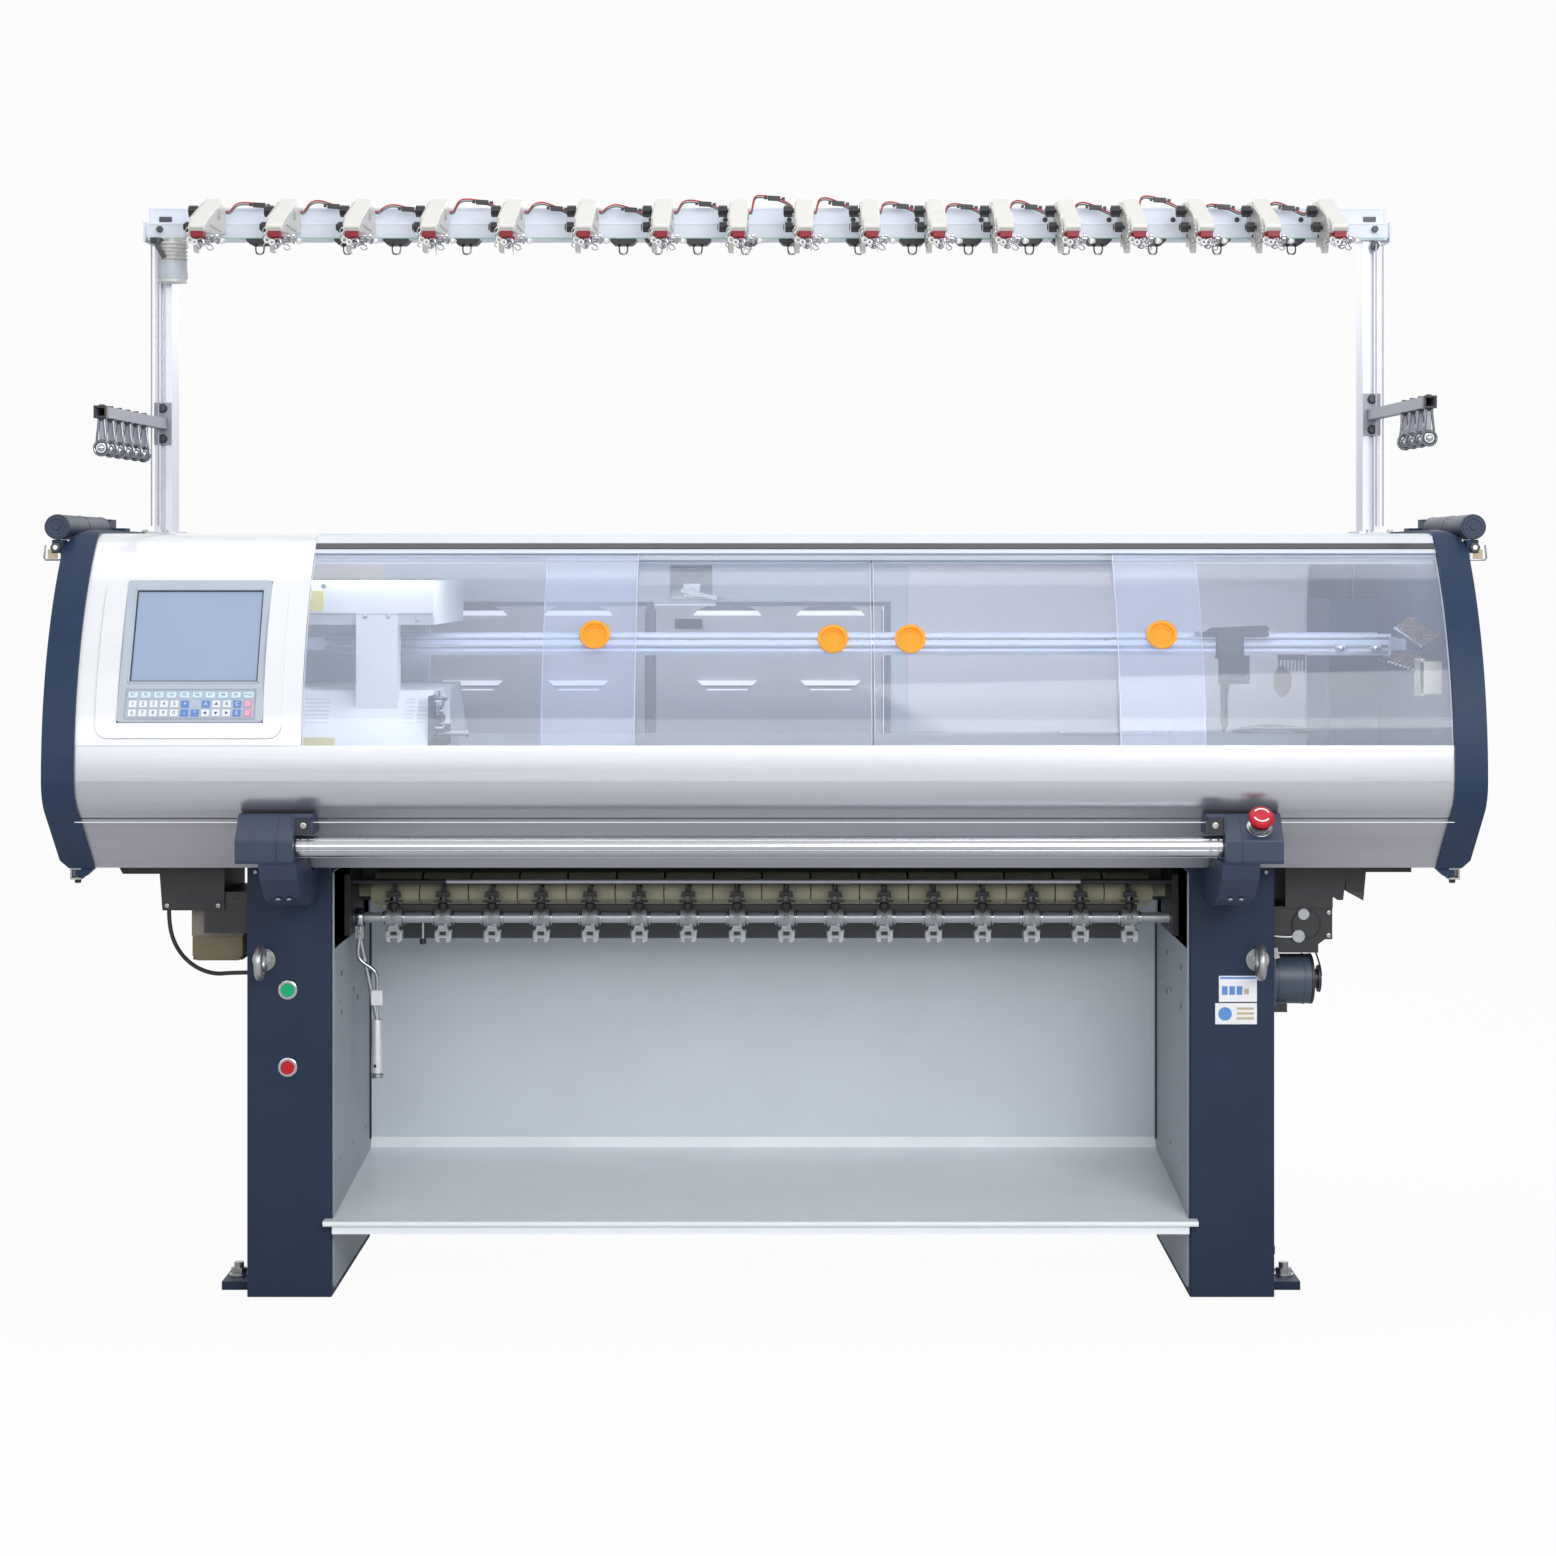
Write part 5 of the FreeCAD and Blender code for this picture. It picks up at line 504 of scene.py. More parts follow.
    def done(self, name, finish, body="machine", slot=None, bevel=0.0, steps=2, angle=35):
        """Turn the faces into a piece that rides on a body."""
        bmesh.ops.scale(self.bm, vec=(MM, MM, MM), verts=self.bm.verts)
        bmesh.ops.recalc_face_normals(self.bm, faces=self.bm.faces)
        mesh = bpy.data.meshes.new(name)
        self.bm.to_mesh(mesh)
        self.bm.free()
        mesh.materials.append(finish)
        piece = bpy.data.objects.new(name, mesh)
        bpy.context.scene.collection.objects.link(piece)
        mesh.shade_smooth()
        mesh.set_sharp_from_angle(angle=math.radians(angle))
        if bevel:
            edge = piece.modifiers.new("edge", "BEVEL")
            edge.width = bevel * MM
            edge.segments = steps
            edge.limit_method = "ANGLE"
            edge.angle_limit = math.radians(angle)
            edge.harden_normals = True
        look = finish.name.split(".")[0]
        slot = slot or SLOT_OF.get(look, look)
        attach(piece, body)
        return piece


def curve_mesh(data):
    """The mesh that a curve or a text makes; the curve itself is removed."""
    maker = bpy.data.objects.new(data.name, data)
    mesh = bpy.data.meshes.new_from_object(maker)
    bpy.data.objects.remove(maker)
    bpy.data.curves.remove(data)
    return mesh


def new_forms(count):
    return [Form() for _ in range(count)]


def move_to(x, forms):
    for form in forms:
        form.x = x


# ------------ cable
CABLE_ROUTE = ((-0.976, -0.175, 0.626), (-0.976, -0.175, 0.598), (-0.964, -0.175, 0.562), (-0.939, -0.175, 0.534),
               (-0.904, -0.175, 0.519), (-0.870, -0.175, 0.522), (-0.838, -0.175, 0.522))
CABLE_DIAMETER = 0.0075
RIB_DEPTH = 0.86


def cable_line():
    """Points along the smooth curve that the route's points steer."""
    data = bpy.data.curves.new("cable_line", "CURVE")
    data.dimensions = "3D"
    data.resolution_u = 24
    line = data.splines.new("NURBS")
    line.points.add(len(CABLE_ROUTE) - 1)
    for point, place in zip(line.points, CABLE_ROUTE):
        point.co = (*place, 1.0)
    line.order_u = 3
    line.use_endpoint_u = True
    mesh = curve_mesh(data)
    points = [vert.co.copy() for vert in mesh.vertices]
    bpy.data.meshes.remove(mesh)
    return points


def corrugated_cable():
    """The black ribbed cable from the box to the leg."""
    path = cable_line()
    rings = []
    side = Vector(REAR)
    for index, point in enumerate(path):
        along = (path[min(index + 1, len(path) - 1)] - path[max(index - 1, 0)]).normalized()
        across = along.cross(side).normalized()
        radius = CABLE_DIAMETER / 2 * (1.0 if index % 2 else RIB_DEPTH)
        rings.append([(point + side * a + across * b) / MM for a, b in circle(radius, 16)])
    piece = Form().loops(rings).done("ribbed_cable", BLACK)
    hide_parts("corrugated_cable")


corrugated_cable()

# ------------ shared curves and places
ARC_Y, ARC_Z, ARC_R = 95.0, 855.0, 527.5
BEAM_LEFT, BEAM_LENGTH = -1075.0, 2166.0
GUIDE_SHARES = (0.0914, 0.1621, 0.2013, 0.2581, 0.3841, 0.4120, 0.4441, 0.4825, 0.5199,
                0.5739, 0.6168, 0.6620, 0.7110, 0.7400, 0.7664, 0.8103, 0.8620, 0.9220)
WIDE_PITCH, NARROW_PITCH, WIDE_COUNT = 129.96, 112.415, 7
UNIT_X = [-951.97 + WIDE_PITCH * min(i, WIDE_COUNT) + NARROW_PITCH * max(i - WIDE_COUNT, 0) for i in range(17)]
SECTION_PITCH = 82.55
SECTION_X = [(i - 7.5) * SECTION_PITCH for i in range(16)]
BED_TOP_Z, BED_GAP = 905.0, 4.0
SLOPE = math.sqrt(0.5)


def on_arc(radius, z):
    """Y on the casing's front arc at a radius and a height."""
    return ARC_Y - math.sqrt(radius ** 2 - (z - ARC_Z) ** 2)


def arc_at(radius, angle):
    return ARC_Y - radius * math.cos(angle), ARC_Z + radius * math.sin(angle)


def arc_outline(outer, inner, low, high, steps):
    """Closed outline of a curved slab in (Y, Z)."""
    angles = [low + (high - low) * index / steps for index in range(steps + 1)]
    return [arc_at(outer, angle) for angle in angles] + [arc_at(inner, angle) for angle in reversed(angles)]


def on_bed(side, along, rise):
    """(Y, Z) on a needle bed: along runs down the slope and rise stands off it."""
    return side * (BED_GAP + (along + rise) * SLOPE), BED_TOP_Z + (rise - along) * SLOPE


# ------------ keypad
PANEL_UP = Vector((0, 0.39242, 0.91978))
PANEL_OUT = Vector((0, -0.91978, 0.39242))
PANEL_ORIGIN = Vector((-892.5, -380.95, 1056.67))
PANEL_TURN = Matrix((Vector(RIGHT), PANEL_UP, PANEL_OUT)).transposed()
KEYPAD_UP, KEY_FACE, KEY_ROW = -91.0, 6.8, 15.0
FUNCTION_PITCH, FUNCTION_SIZE, FUNCTION_FIGURE = 20.2, (14.6, 9.4, 1.3), 4.8
NUMBER_PITCH, NUMBER_SIZE, NUMBER_FIGURE = 16.4, (12.4, 11.4, 1.3), 6.6
ARROW_SIZE = 3.4
# each key: the first letter of its colour, then its figure; a dot leaves a gap
KEYS = ("cF1 cF2 cF3 cF4 cF5 cF6 cF7 cF8 cF9 cF10", "w1 w2 w3 w4 w5 b+ . bA wup wB bC pD",
        "w6 w7 w8 w9 w0 b- b* wleft wdown wright bE pG")
ARROW_TURNS = {"up": math.pi / 2, "left": math.pi, "down": -math.pi / 2, "right": 0.0}
KEY_COLOURS = {"w": ("white", KEY_WHITE), "c": ("cyan", KEY_CYAN), "b": ("blue", KEY_BLUE), "p": ("pink", KEY_PINK)}


def on_panel(across, up, out):
    return PANEL_ORIGIN + Vector((across, 0, 0)) + PANEL_UP * up + PANEL_OUT * out


def panel_frame(form, half_wide, half_high, bar, wide, high, across, up, out):
    """Four bars round a field of the control panel."""
    for x, y, size in ((0, half_high, (wide, *bar)), (0, -half_high, (wide, *bar)),
                       (-half_wide, 0, (bar[0], high, bar[1])), (half_wide, 0, (bar[0], high, bar[1]))):
        form.turned_box(on_panel(across + x, up + y, out), size, PANEL_TURN)
    return form


caps = {letter: Form() for letter in KEY_COLOURS}
ink, pale = new_forms(2)
for row, keys in enumerate(KEYS):
    keys = keys.split()
    pitch, size, figure = ((NUMBER_PITCH, NUMBER_SIZE, NUMBER_FIGURE) if row
                           else (FUNCTION_PITCH, FUNCTION_SIZE, FUNCTION_FIGURE))
    for column, (letter, *text) in enumerate(keys):
        if not text:
            continue
        text = "".join(text)
        across = (column - (len(keys) - 1) / 2) * pitch
        up = KEYPAD_UP + (1 - row) * KEY_ROW
        caps[letter].turned_box(on_panel(across, up, KEY_FACE + 0.25), size, PANEL_TURN)
        target = pale if letter in "bp" else ink
        if text in ARROW_TURNS:
            corners = circle(ARROW_SIZE, 3, ARROW_TURNS[text])
            target.loops([[on_panel(across + x, up + y, KEY_FACE + height) for x, y in corners]
                          for height in (0.8, 1.15)])
        else:
            target.lettering(text, on_panel(across, up, KEY_FACE + 0.95), PANEL_TURN, figure)
for letter, (colour, finish) in KEY_COLOURS.items():
    caps[letter].done(f"keys_{colour}", finish, bevel=0.5)
ink.done("key_figures", KEY_INK)
pale.done("key_figures_pale", KEY_WHITE)

# screen surround, its inner lip and the fine line round the keypad film
SCREEN_PLACE = (1.8, 25.0)
panel_frame(Form(), 102, 79.5, (3.0, 3.0), 207, 162, *SCREEN_PLACE, 5.6).done("screen_surround", BEZEL, bevel=0.8)
panel_frame(Form(), 99.4, 76.6, (1.6, 1.4), 199, 154, *SCREEN_PLACE, 3.6).done(
    "screen_inner_lip", DARK_STEEL, bevel=0.3)
panel_frame(Form(), 101.5, 24.6, (0.9, 0.6), 203, 49.2, 0, KEYPAD_UP, KEY_FACE).done(
    "keypad_outline", SEAM_GREY, bevel=0.15)

# shadow line at the foot of the fascia's raised frame
FRAME_LEFT, FRAME_RIGHT = -1040.5, -749.5
FRAME_LOW, FRAME_HIGH = 922.0, 1140.0
FRAME_CORNER = 20.0
SIDE_STEP, SIDE_STEPS, CORNER_STEPS = 18, 12, 6


def frame_line():
    """Points down the left side and round both lower corners."""
    flat = [(FRAME_LEFT, FRAME_HIGH - SIDE_STEP * step) for step in range(SIDE_STEPS)]
    for centre, start in ((FRAME_LEFT + FRAME_CORNER, math.pi), (FRAME_RIGHT - FRAME_CORNER, 1.5 * math.pi)):
        for step in range(CORNER_STEPS + 1):
            angle = start + math.pi / 2 * step / CORNER_STEPS
            flat.append((centre + FRAME_CORNER * math.cos(angle),
                         FRAME_LOW + FRAME_CORNER + FRAME_CORNER * math.sin(angle)))
    return [(x, on_arc(ARC_R + 0.2, z), z) for x, z in flat]


Form().wire(frame_line(), 0.9, 8).done("fascia_frame_line", FRAME_SHADE)

# ------------ needle beds
NEEDLES = 624
NEEDLE_PITCH = SECTION_PITCH * 16 / NEEDLES
NEEDLE_HALF = 0.35
NEEDLE_PARTS = ((5.0, 120.0, 1.1), (66.0, 72.0, 5.0))  # stem and butt: start, end, rise
NEEDLE_FACES = ((0, 1, 2, 3), (7, 6, 5, 4), (3, 2, 6, 7), (0, 3, 7, 4), (1, 5, 6, 2))
for side, name in ((-1, "front_needles"), (1, "rear_needles")):
    stems = Form()
    for index in range(NEEDLES):
        stems.x = (index - (NEEDLES - 1) / 2) * NEEDLE_PITCH
        for start, end, rise in NEEDLE_PARTS:
            corners = [stems.vert((dx, *on_bed(side, along, height))) for dx in (-NEEDLE_HALF, NEEDLE_HALF)
                       for along, height in ((start, 0.0), (end, 0.0), (end, rise), (start, rise))]
            for order in NEEDLE_FACES:
                stems.bm.faces.new([corners[k] for k in order])
    stems.done(name, CHROME, slot="machined_steel")

COVER_PROFILES = ((708, ((84, -0.2), (108, -0.2), (108, 3.6), (104, 4.6), (88, 4.6), (84, 3.6))),
                  (706, ((30, 0.8), (42, 0.8), (42, 2.8), (30, 2.8))))
strips, screws = new_forms(2)
for side in SIDES:
    for reach, profile in COVER_PROFILES:
        strips.prism_x([on_bed(side, along, rise) for along, rise in profile], -reach, reach)
    for index in range(17):
        screws.screw(((index - 8) * SECTION_PITCH, *on_bed(side, 96, 4.5)), (0, side * SLOPE, SLOPE), 5.0, 2.6, 16)
strips.done("bed_cover_strips", ZINC, slot="machined_steel", bevel=0.5)
screws.done("bed_cover_screws", DARK_STEEL, slot="machined_steel")

# ------------ yarn units
UNIT_HOOD = [(114.6, 1772), (114.6, 1817), (104, 1827.5), (70, 1827.5), (44, 1815), (-57, 1779), (-81.5, 1766),
             (-81.5, 1756), (-70, 1753), (54, 1761)]
UNIT_SIDE = [(107, 1813), (100, 1822), (70, 1822), (-39, 1785), (-55, 1770), (-51, 1753), (-17, 1746.5), (-14, 1727),
             (3, 1727), (20, 1738.5), (57, 1742.5), (48, 1768), (70, 1777), (107, 1788)]
UNIT_SCREWS = ((-12, 1768), (60, 1806), (92, 1800), (30, 1758))
POINTED_UNITS = (3, 4, 6, 7, 8, 9)
UNIT_EYES = (((-9.5, -76, 1740.5), 4.2), ((-1.5, -78, 1736.5), 3.8))
TENSION = (-58, 1741)  # Y and Z of the tension discs' pin
KNOB_FACES = ((39.8, 1802, 7.2), (-4.2, 1770, 6.4))
WIRE_LIFT = (1826, 1829, 1822, 1832, 1826, 1822, 1830, 1838, 1834, 1827, 1824, 1829, 1826, 1837, 1823, 1826)

units = new_forms(12)
hoods, blocks, bails, eyes, plates, balls, knobs, discs, joints, slots, lips, lights = units
for index, x in enumerate(UNIT_X):
    move_to(x, units)
    hoods.prism_x(UNIT_HOOD, -10.6, 17.5)
    plates.prism_x(UNIT_SIDE, -15.2, -12.4)
    for y, z in UNIT_SCREWS:
        joints.screw((-15.2, y, z), LEFT, 3.4, 1.6, 14)
    slots.boxes((-16.0, -15.0, -8.5, -4.5, 1731, 1752), (-16.0, -15.0, 60, 64, 1776, 1798))
    slots.turned_box((-15.6, 8, 1752), (0.9, 22, 3.4), turned(0.35, "X"))
    lips.box(-8, 15, -83.4, -81.2, 1757.5, 1761)
    plates.box(17.3, 18.6, -40, 60, 1768, 1771)
    blocks.boxes((-6, 14, -60, -32, 1737, 1742.4), (-3, 9, -60, -38, 1733.5, 1739.4))
    lights.box(-7.5, 13.5, -79.5, -60, 1744.5, 1757)
    # wire bail on the left, its tail down to the eyelets and the curled wires beside them
    bails.wire([(-9, -70, 1762), (-14, -73, 1761), (-16.5, -75, 1758), (-17, -76, 1745), (-14, -77, 1741),
                (-4, -77, 1740)], 1.15, 7)
    bails.wire([(-12, -60, 1758), (-15, -66, 1752), (-18, -68, 1744), (-13, -70, 1737)], 0.9)
    bails.tube([(2, -66, 1741), (6, -74, 1738), (12, -76, 1732), (8, -75, 1726.5), (1, -74, 1728), (-2, -73, 1734),
                (3, -70, 1740)], 1.1, 7)
    bails.tube([(12, -52, 1746), (22, -52, 1750), (31, -46, 1747), (36, -40, 1743)], 1.1, 7)
    bails.tube([(13, -44, 1741), (21, -48, 1735), (26, -52, 1729), (20, -55, 1725.5), (15, -56, 1730)], 1.0, 7)
    bails.tube([(-5, -44, 1743), (-14, -48, 1740), (-19, -54, 1734), (-15, -58, 1730)], 0.9, 7)
    for place, radius in UNIT_EYES:
        eyes.ring(place, (0.25, -1, 0.1), radius, 1.7, 18)
    bails.ring((8.5, -77, 1737), (0.1, -1, 0.0), 5.4, 1.1, 20, 7)
    for dx in (16.5, 19.4):
        discs.disc((dx, *TENSION), RIGHT, 8.6, 1.3, 0.5, 26)
    discs.rod((12, *TENSION), (27, *TENSION), 1.5, 12)
    discs.coil((21, *TENSION), (26.5, *TENSION), 3.4, 0.6, 4, 5)
    discs.disc((5.5, -64, 1735), (0.3, 1, 0), 6.4, 1.2, 0.4, 24)
    discs.rod((4, -72, 1735), (6, -56, 1735), 1.4, 12)
    balls.ball((38, -38, 1742.5), 5.0)
    knobs.lathe([(0, 2.4), (0.8, 3.6), (3.4, 3.6), (4.2, 2.2)], (40.5, -38.5, 1742.5), (1, -0.3, 0), 16)
    if index in POINTED_UNITS:
        bails.lathe([(0, 1.6), (10, 1.5), (24, 0.35)], (12, -60, 1739), (0.06, -0.05, -1), 10)
    joints.box(-8, 12, 96, 114.5, 1808, 1823)
    plates.disc((18.2, 40, 1796), RIGHT, 9.5, 2.0, 0.6, 24)
    joints.screw((-24, 159.6, 1801), FRONT, 4.6, 2.4, 16)
hoods.done("unit_hoods", BEIGE, bevel=3.2, steps=3, angle=25)
lights.done("unit_lens_covers", LENS, bevel=1.6)
lips.done("unit_hood_lips", BEIGE_DARK, bevel=0.4)
blocks.done("unit_sensor_blocks", PLATE_WHITE, slot="device_beige", bevel=1.2)
bails.done("unit_bails", CHROME)
eyes.done("unit_eyelets", EYELET)
plates.done("unit_side_plates", BEIGE_SIDE, bevel=0.6)
slots.done("unit_plate_slots", BEIGE_DARK, bevel=0.2)
balls.done("unit_knob_balls", EYELET)
knobs.done("unit_knob_caps", LAMP)
discs.done("unit_tension_discs", CHROME)
joints.done("unit_fixings", DARK_STEEL, bevel=0.4)

# knob faces: a raised ring on each knob's outer end
faces = Form()
for x in UNIT_X:
    for y, z, radius in KNOB_FACES:
        faces.lathe([(-0.5, radius), (0.9, radius - 0.6), (0.9, radius - 2.4), (0.2, radius - 2.8)],
                    (x - 33, y, z), LEFT, 24)
faces.done("unit_knob_faces", DARK_STEEL, bevel=0.2)

# each row: the shift along X, the lift and the size of a plug's block
PLUG_BLOCKS = ((0, 5.4, (22, 8, 8.4)), (16, 4.2, (6, 6, 6)), (-15, 6.2, (5, 5, 5)))
# twin wires from unit to unit over the beam, with a plug at each
red, green, plugs = new_forms(3)
for index, (x, after) in enumerate(zip(UNIT_X, UNIT_X[1:])):
    lift = WIRE_LIFT[index]
    sag = lift - 8 - (index * 5) % 7
    span = after - x
    for form, dy, dz in ((red, -1.8, 1.4), (green, 1.8, -1.6)):
        form.tube([(x + 12, 104 + dy, 1812), (x + 22, 112 + dy, 1808 + dz),
                   (x + span * 0.25, 124 + dy, lift - 4 + dz), (x + span * 0.38, 130 + dy, lift + dz),
                   (x + span * 0.60, 134 + dy, sag + 4 + dz),
                   (after - span * 0.22, 128 + dy, sag - 6 + dz), (after - 16, 112 + dy, 1812 + dz),
                   (after - 8, 106 + dy, 1808)], 1.5, 6)
    for dx, dz, size in PLUG_BLOCKS:
        plugs.turned_box((x + span * 0.55 + dx, 133, sag + dz), size, turned(0.06))
red.done("unit_wires_red", WIRE_RED)
green.done("unit_wires_green", WIRE_GREEN)
plugs.done("unit_wire_plugs", BLACK, bevel=0.8)

DISH = [(-24.0, 1763.7), (-22.5, 1759), (-15.5, 1752.4), (15.5, 1752.4), (22.5, 1759), (24.0, 1763.7)]
LOOP_PATH = [(-7, 120, 1753), (-7.2, 119, 1746), (-6.4, 118, 1740), (-3.4, 117, 1736.4), (3.4, 117, 1736.4),
             (6.4, 118, 1740), (7.2, 119, 1746), (7, 120, 1753)]
# black dishes with wire loops under the beam, and the strip on its lip
dishes, loops = new_forms(2)
for share in GUIDE_SHARES:
    move_to(BEAM_LEFT + BEAM_LENGTH * share, (dishes, loops))
    dishes.prism_y(DISH, 109.4, 147)
    for dx in (-7, 7):
        dishes.rod((dx, 120, 1749.5), (dx, 120, 1753), 3.2, 12)
    loops.tube(LOOP_PATH, 1.5, 7)
dishes.done("guide_dishes", BLACK, bevel=1.4)
loops.done("guide_loops", CLIP)
Form().box(-1068, 1084, 109.6, 111.2, 1761.6, 1764.4).done("beam_lip_strip", TEAL, bevel=0.3)
Form().boxes((-1069, 1085, 113.6, 115.2, 1787.4, 1790.6), (-1069, 1085, 158.6, 160.2, 1818.6, 1822.0)).done(
    "beam_edge_bands", BEAM_LIGHT, bevel=0.6)

# beam end caps, and the bolts near the beam's ends
ends, bolts = new_forms(2)
for x0, x1 in ((-1078.4, -1075.0), (1091.0, 1094.4)):
    ends.boxes((x0, x1, 108, 191, 1757, 1791.5), (x0, x1, 158, 191, 1791, 1823))
ends.done("beam_end_caps", BEAM, bevel=0.8)
for x in (-1050, 1066):
    bolts.hex_head((x, 109.6, 1779), FRONT, 6.4, 4.2)
    bolts.box(x - 11, x + 11, 158.0, 159.8, 1797, 1806)
    bolts.hex_head((x, 110, 1750), FRONT, 8.5, 6.0)
bolts.done("beam_end_bolts", DARK_STEEL, bevel=0.5)

# ------------ posts and side arms
POST_X, POST_FOOT, POST_TOP = (-1056, 1072), 1251, 1752
ARMS = ((-1, -1046.0, 1440.0, 6), (1, 1062.0, 1456.0, 4))  # side, root, height and clips of each arm
ARM_SPLAY = math.tan(math.radians(2.0))
ARM_ROOT_Y, ARM_REACH = 115.0, 420.0
CLIP_REACH, CLIP_PITCH = 408.0, 55.0
SLEEVE_OUTER, SLEEVE_INNER = 10.2, 7.2

grooves, feet = new_forms(2)
for x in POST_X:
    for dx in (-6.0, 6.0):
        grooves.box(x + dx - 1.2, x + dx + 1.2, 97.2, 99.4, 1262, POST_TOP)
    feet.box(x - 24, x + 24, 90, 112, 1246, POST_FOOT)
    for dx in (-18, 18):
        feet.hex_head((x + dx, 100, POST_FOOT), UP, 5.5, 4.5)
grooves.done("post_groove_lips", ALU_DARK, bevel=0.3)
feet.done("post_foot_plates", ZINC, bevel=0.5)

rings, discs, ends, bolts = new_forms(4)
for side, root_x, height, count in ARMS:
    under = height - 9.0
    ring_z = under - 49.0
    for index in range(count):
        back = CLIP_REACH - CLIP_PITCH * index
        x = root_x + side * back * ARM_SPLAY
        y = ARM_ROOT_Y - back
        rings.ring((x, y - 3.4, ring_z), REAR, 11.5, 2.3)
        for hand in SIDES:
            rings.tube([(x + hand * 8, y - 2.5, ring_z + 9), (x + hand * 7, y - 3, ring_z + 20),
                        (x + hand * 5.5, y - 3, ring_z + 33), (x + hand * 4.5, y - 3, under - 3)], 2.0)
        for dy in (-5.2, 4.4):
            discs.disc((x, y + dy, ring_z), REAR, 8.6, 2.4, 0.8, 28)
        discs.lathe([(0, 5.2), (3.4, 4.6), (4.6, 2.4)], (x, y - 6.2, ring_z), FRONT, 20)
        bolts.hex_head((x, y, under - 0.2), DOWN, 6.0, 5.0)
        bolts.rod((x, y, height + 8.6), (x, y, height + 12.4), 4.6)
    ends.x = root_x + side * ARM_REACH * ARM_SPLAY
    tip_y = ARM_ROOT_Y - ARM_REACH
    for x0, x1, z0, z1 in ((-SLEEVE_OUTER, SLEEVE_OUTER, SLEEVE_INNER, SLEEVE_OUTER),
                           (-SLEEVE_OUTER, SLEEVE_OUTER, -SLEEVE_OUTER, -SLEEVE_INNER),
                           (-SLEEVE_OUTER, -SLEEVE_INNER, -SLEEVE_INNER, SLEEVE_INNER),
                           (SLEEVE_INNER, SLEEVE_OUTER, -SLEEVE_INNER, SLEEVE_INNER)):
        ends.box(x0, x1, tip_y - 1.5, tip_y + 14, height + z0, height + z1)
    for z in (height - 26, height + 27):
        bolts.hex_head((root_x, 111.4, z), FRONT, 7.0, 5.0)
        bolts.disc((root_x, 114.2, z), REAR, 8.4, 1.8, 0.4, 24)
rings.done("arm_clip_wires", CLIP)
discs.done("arm_clip_discs", CHROME)
ends.done("arm_end_sleeves", BLACK, bevel=0.6)
bolts.done("arm_bolts", DARK_STEEL, bevel=0.4)

# ------------ signal lamp
LAMP_X, LAMP_Y = -1024.0, 93.0
LAMP_CUP = [(0, 26.2), (20, 26.6), (30, 25.6), (35.5, 22.0), (37.5, 15.0), (37.9, 0.5)]
LAMP_RIBS = (1751, 1744.5, 1738, 1731.5, 1725)
Form().lathe(LAMP_CUP, (LAMP_X, LAMP_Y, 1721.5), DOWN, 48).done("lamp_cup", CUP)
ribs = Form()
for z in LAMP_RIBS:
    ribs.hoop((LAMP_X, LAMP_Y, z), UP, 1.2, 0.6, 25.2, 26.3)
ribs.done("lamp_ribs", LAMP)
Form().lathe([(0, 12), (16, 12), (22, 9), (24, 1)], (LAMP_X, LAMP_Y, 1716), DOWN).done("lamp_bulb", LAMP)
arm = Form(LAMP_X).turned_box((-19, 66, 1742), (8, 2.4, 40), turned(-0.5)).box(-34, -16, 64, 110, 1750, 1760)
arm.screw((-27, 63.8, 1755), FRONT, 4.5, 3).done("lamp_bracket", DARK_STEEL, bevel=0.6)

# ------------ feed rollers
ROLLERS = (("left_feed_roller", -1131.0, -1), ("right_feed_roller", 1147.0, 1))
ROLLER_Z, SEAT_BOLT_Z = 1255, 1222
ROLLER_BANDS = (-292, -150, 4)
ROLLER_FACE = [(-0.4, 17.0), (1.6, 17.0), (1.6, 13.0), (0.6, 12.0), (0.6, 5.5), (3.2, 5.0), (3.2, 0.6)]

parts = new_forms(5)
frames, plates, bolts, centres, seats = parts
for _, x, side in ROLLERS:
    move_to(x, parts)
    seats.box(-9, 9, -296, -262, 1213, 1234.4)
    seats.prism_y([(-side * 4, 1213), (-side * 4, 1226), (-side * 44, 1206), (-side * 44, 1190)], -292, -266)
    bolts.hex_head((side * 2, -296.5, SEAT_BOLT_Z), FRONT, 9.0, 5.5)
    centres.disc((side * 2, -303, SEAT_BOLT_Z), REAR, 4.0, 2.0, 0.4, 20)
    move_to(x + side * 8, (frames, plates))
    frames.wire([(-12, -292, 1226), (-14, -294, 1206), (-12, -294, 1202), (12, -294, 1202), (14, -294, 1206),
                 (12, -292, 1226)], 1.5, 8)
    plates.box(-8, 8, -294.6, -293.2, 1204, 1219)
seats.done("feed_roller_seats", CAP_NAVY, bevel=1.0)
bolts.done("feed_roller_bolts", DARK_STEEL, bevel=0.4)
centres.done("feed_bolt_centres", PLATE_WHITE)
frames.done("feed_wire_frames", CLIP)
plates.done("feed_frame_plates", TAN, bevel=0.3)
for body, x, _ in ROLLERS:
    Form().lathe(ROLLER_FACE, (x, -300, ROLLER_Z), FRONT, 40).done(f"{body}_face", ROLLER_NAVY, body, bevel=0.3)
    bands = Form()
    for y in ROLLER_BANDS:
        bands.hoop((x, y, ROLLER_Z), REAR, 3, 2.4, 19.9, 20.6)
    bands.done(f"{body}_bands", ROLLER_NAVY, body)

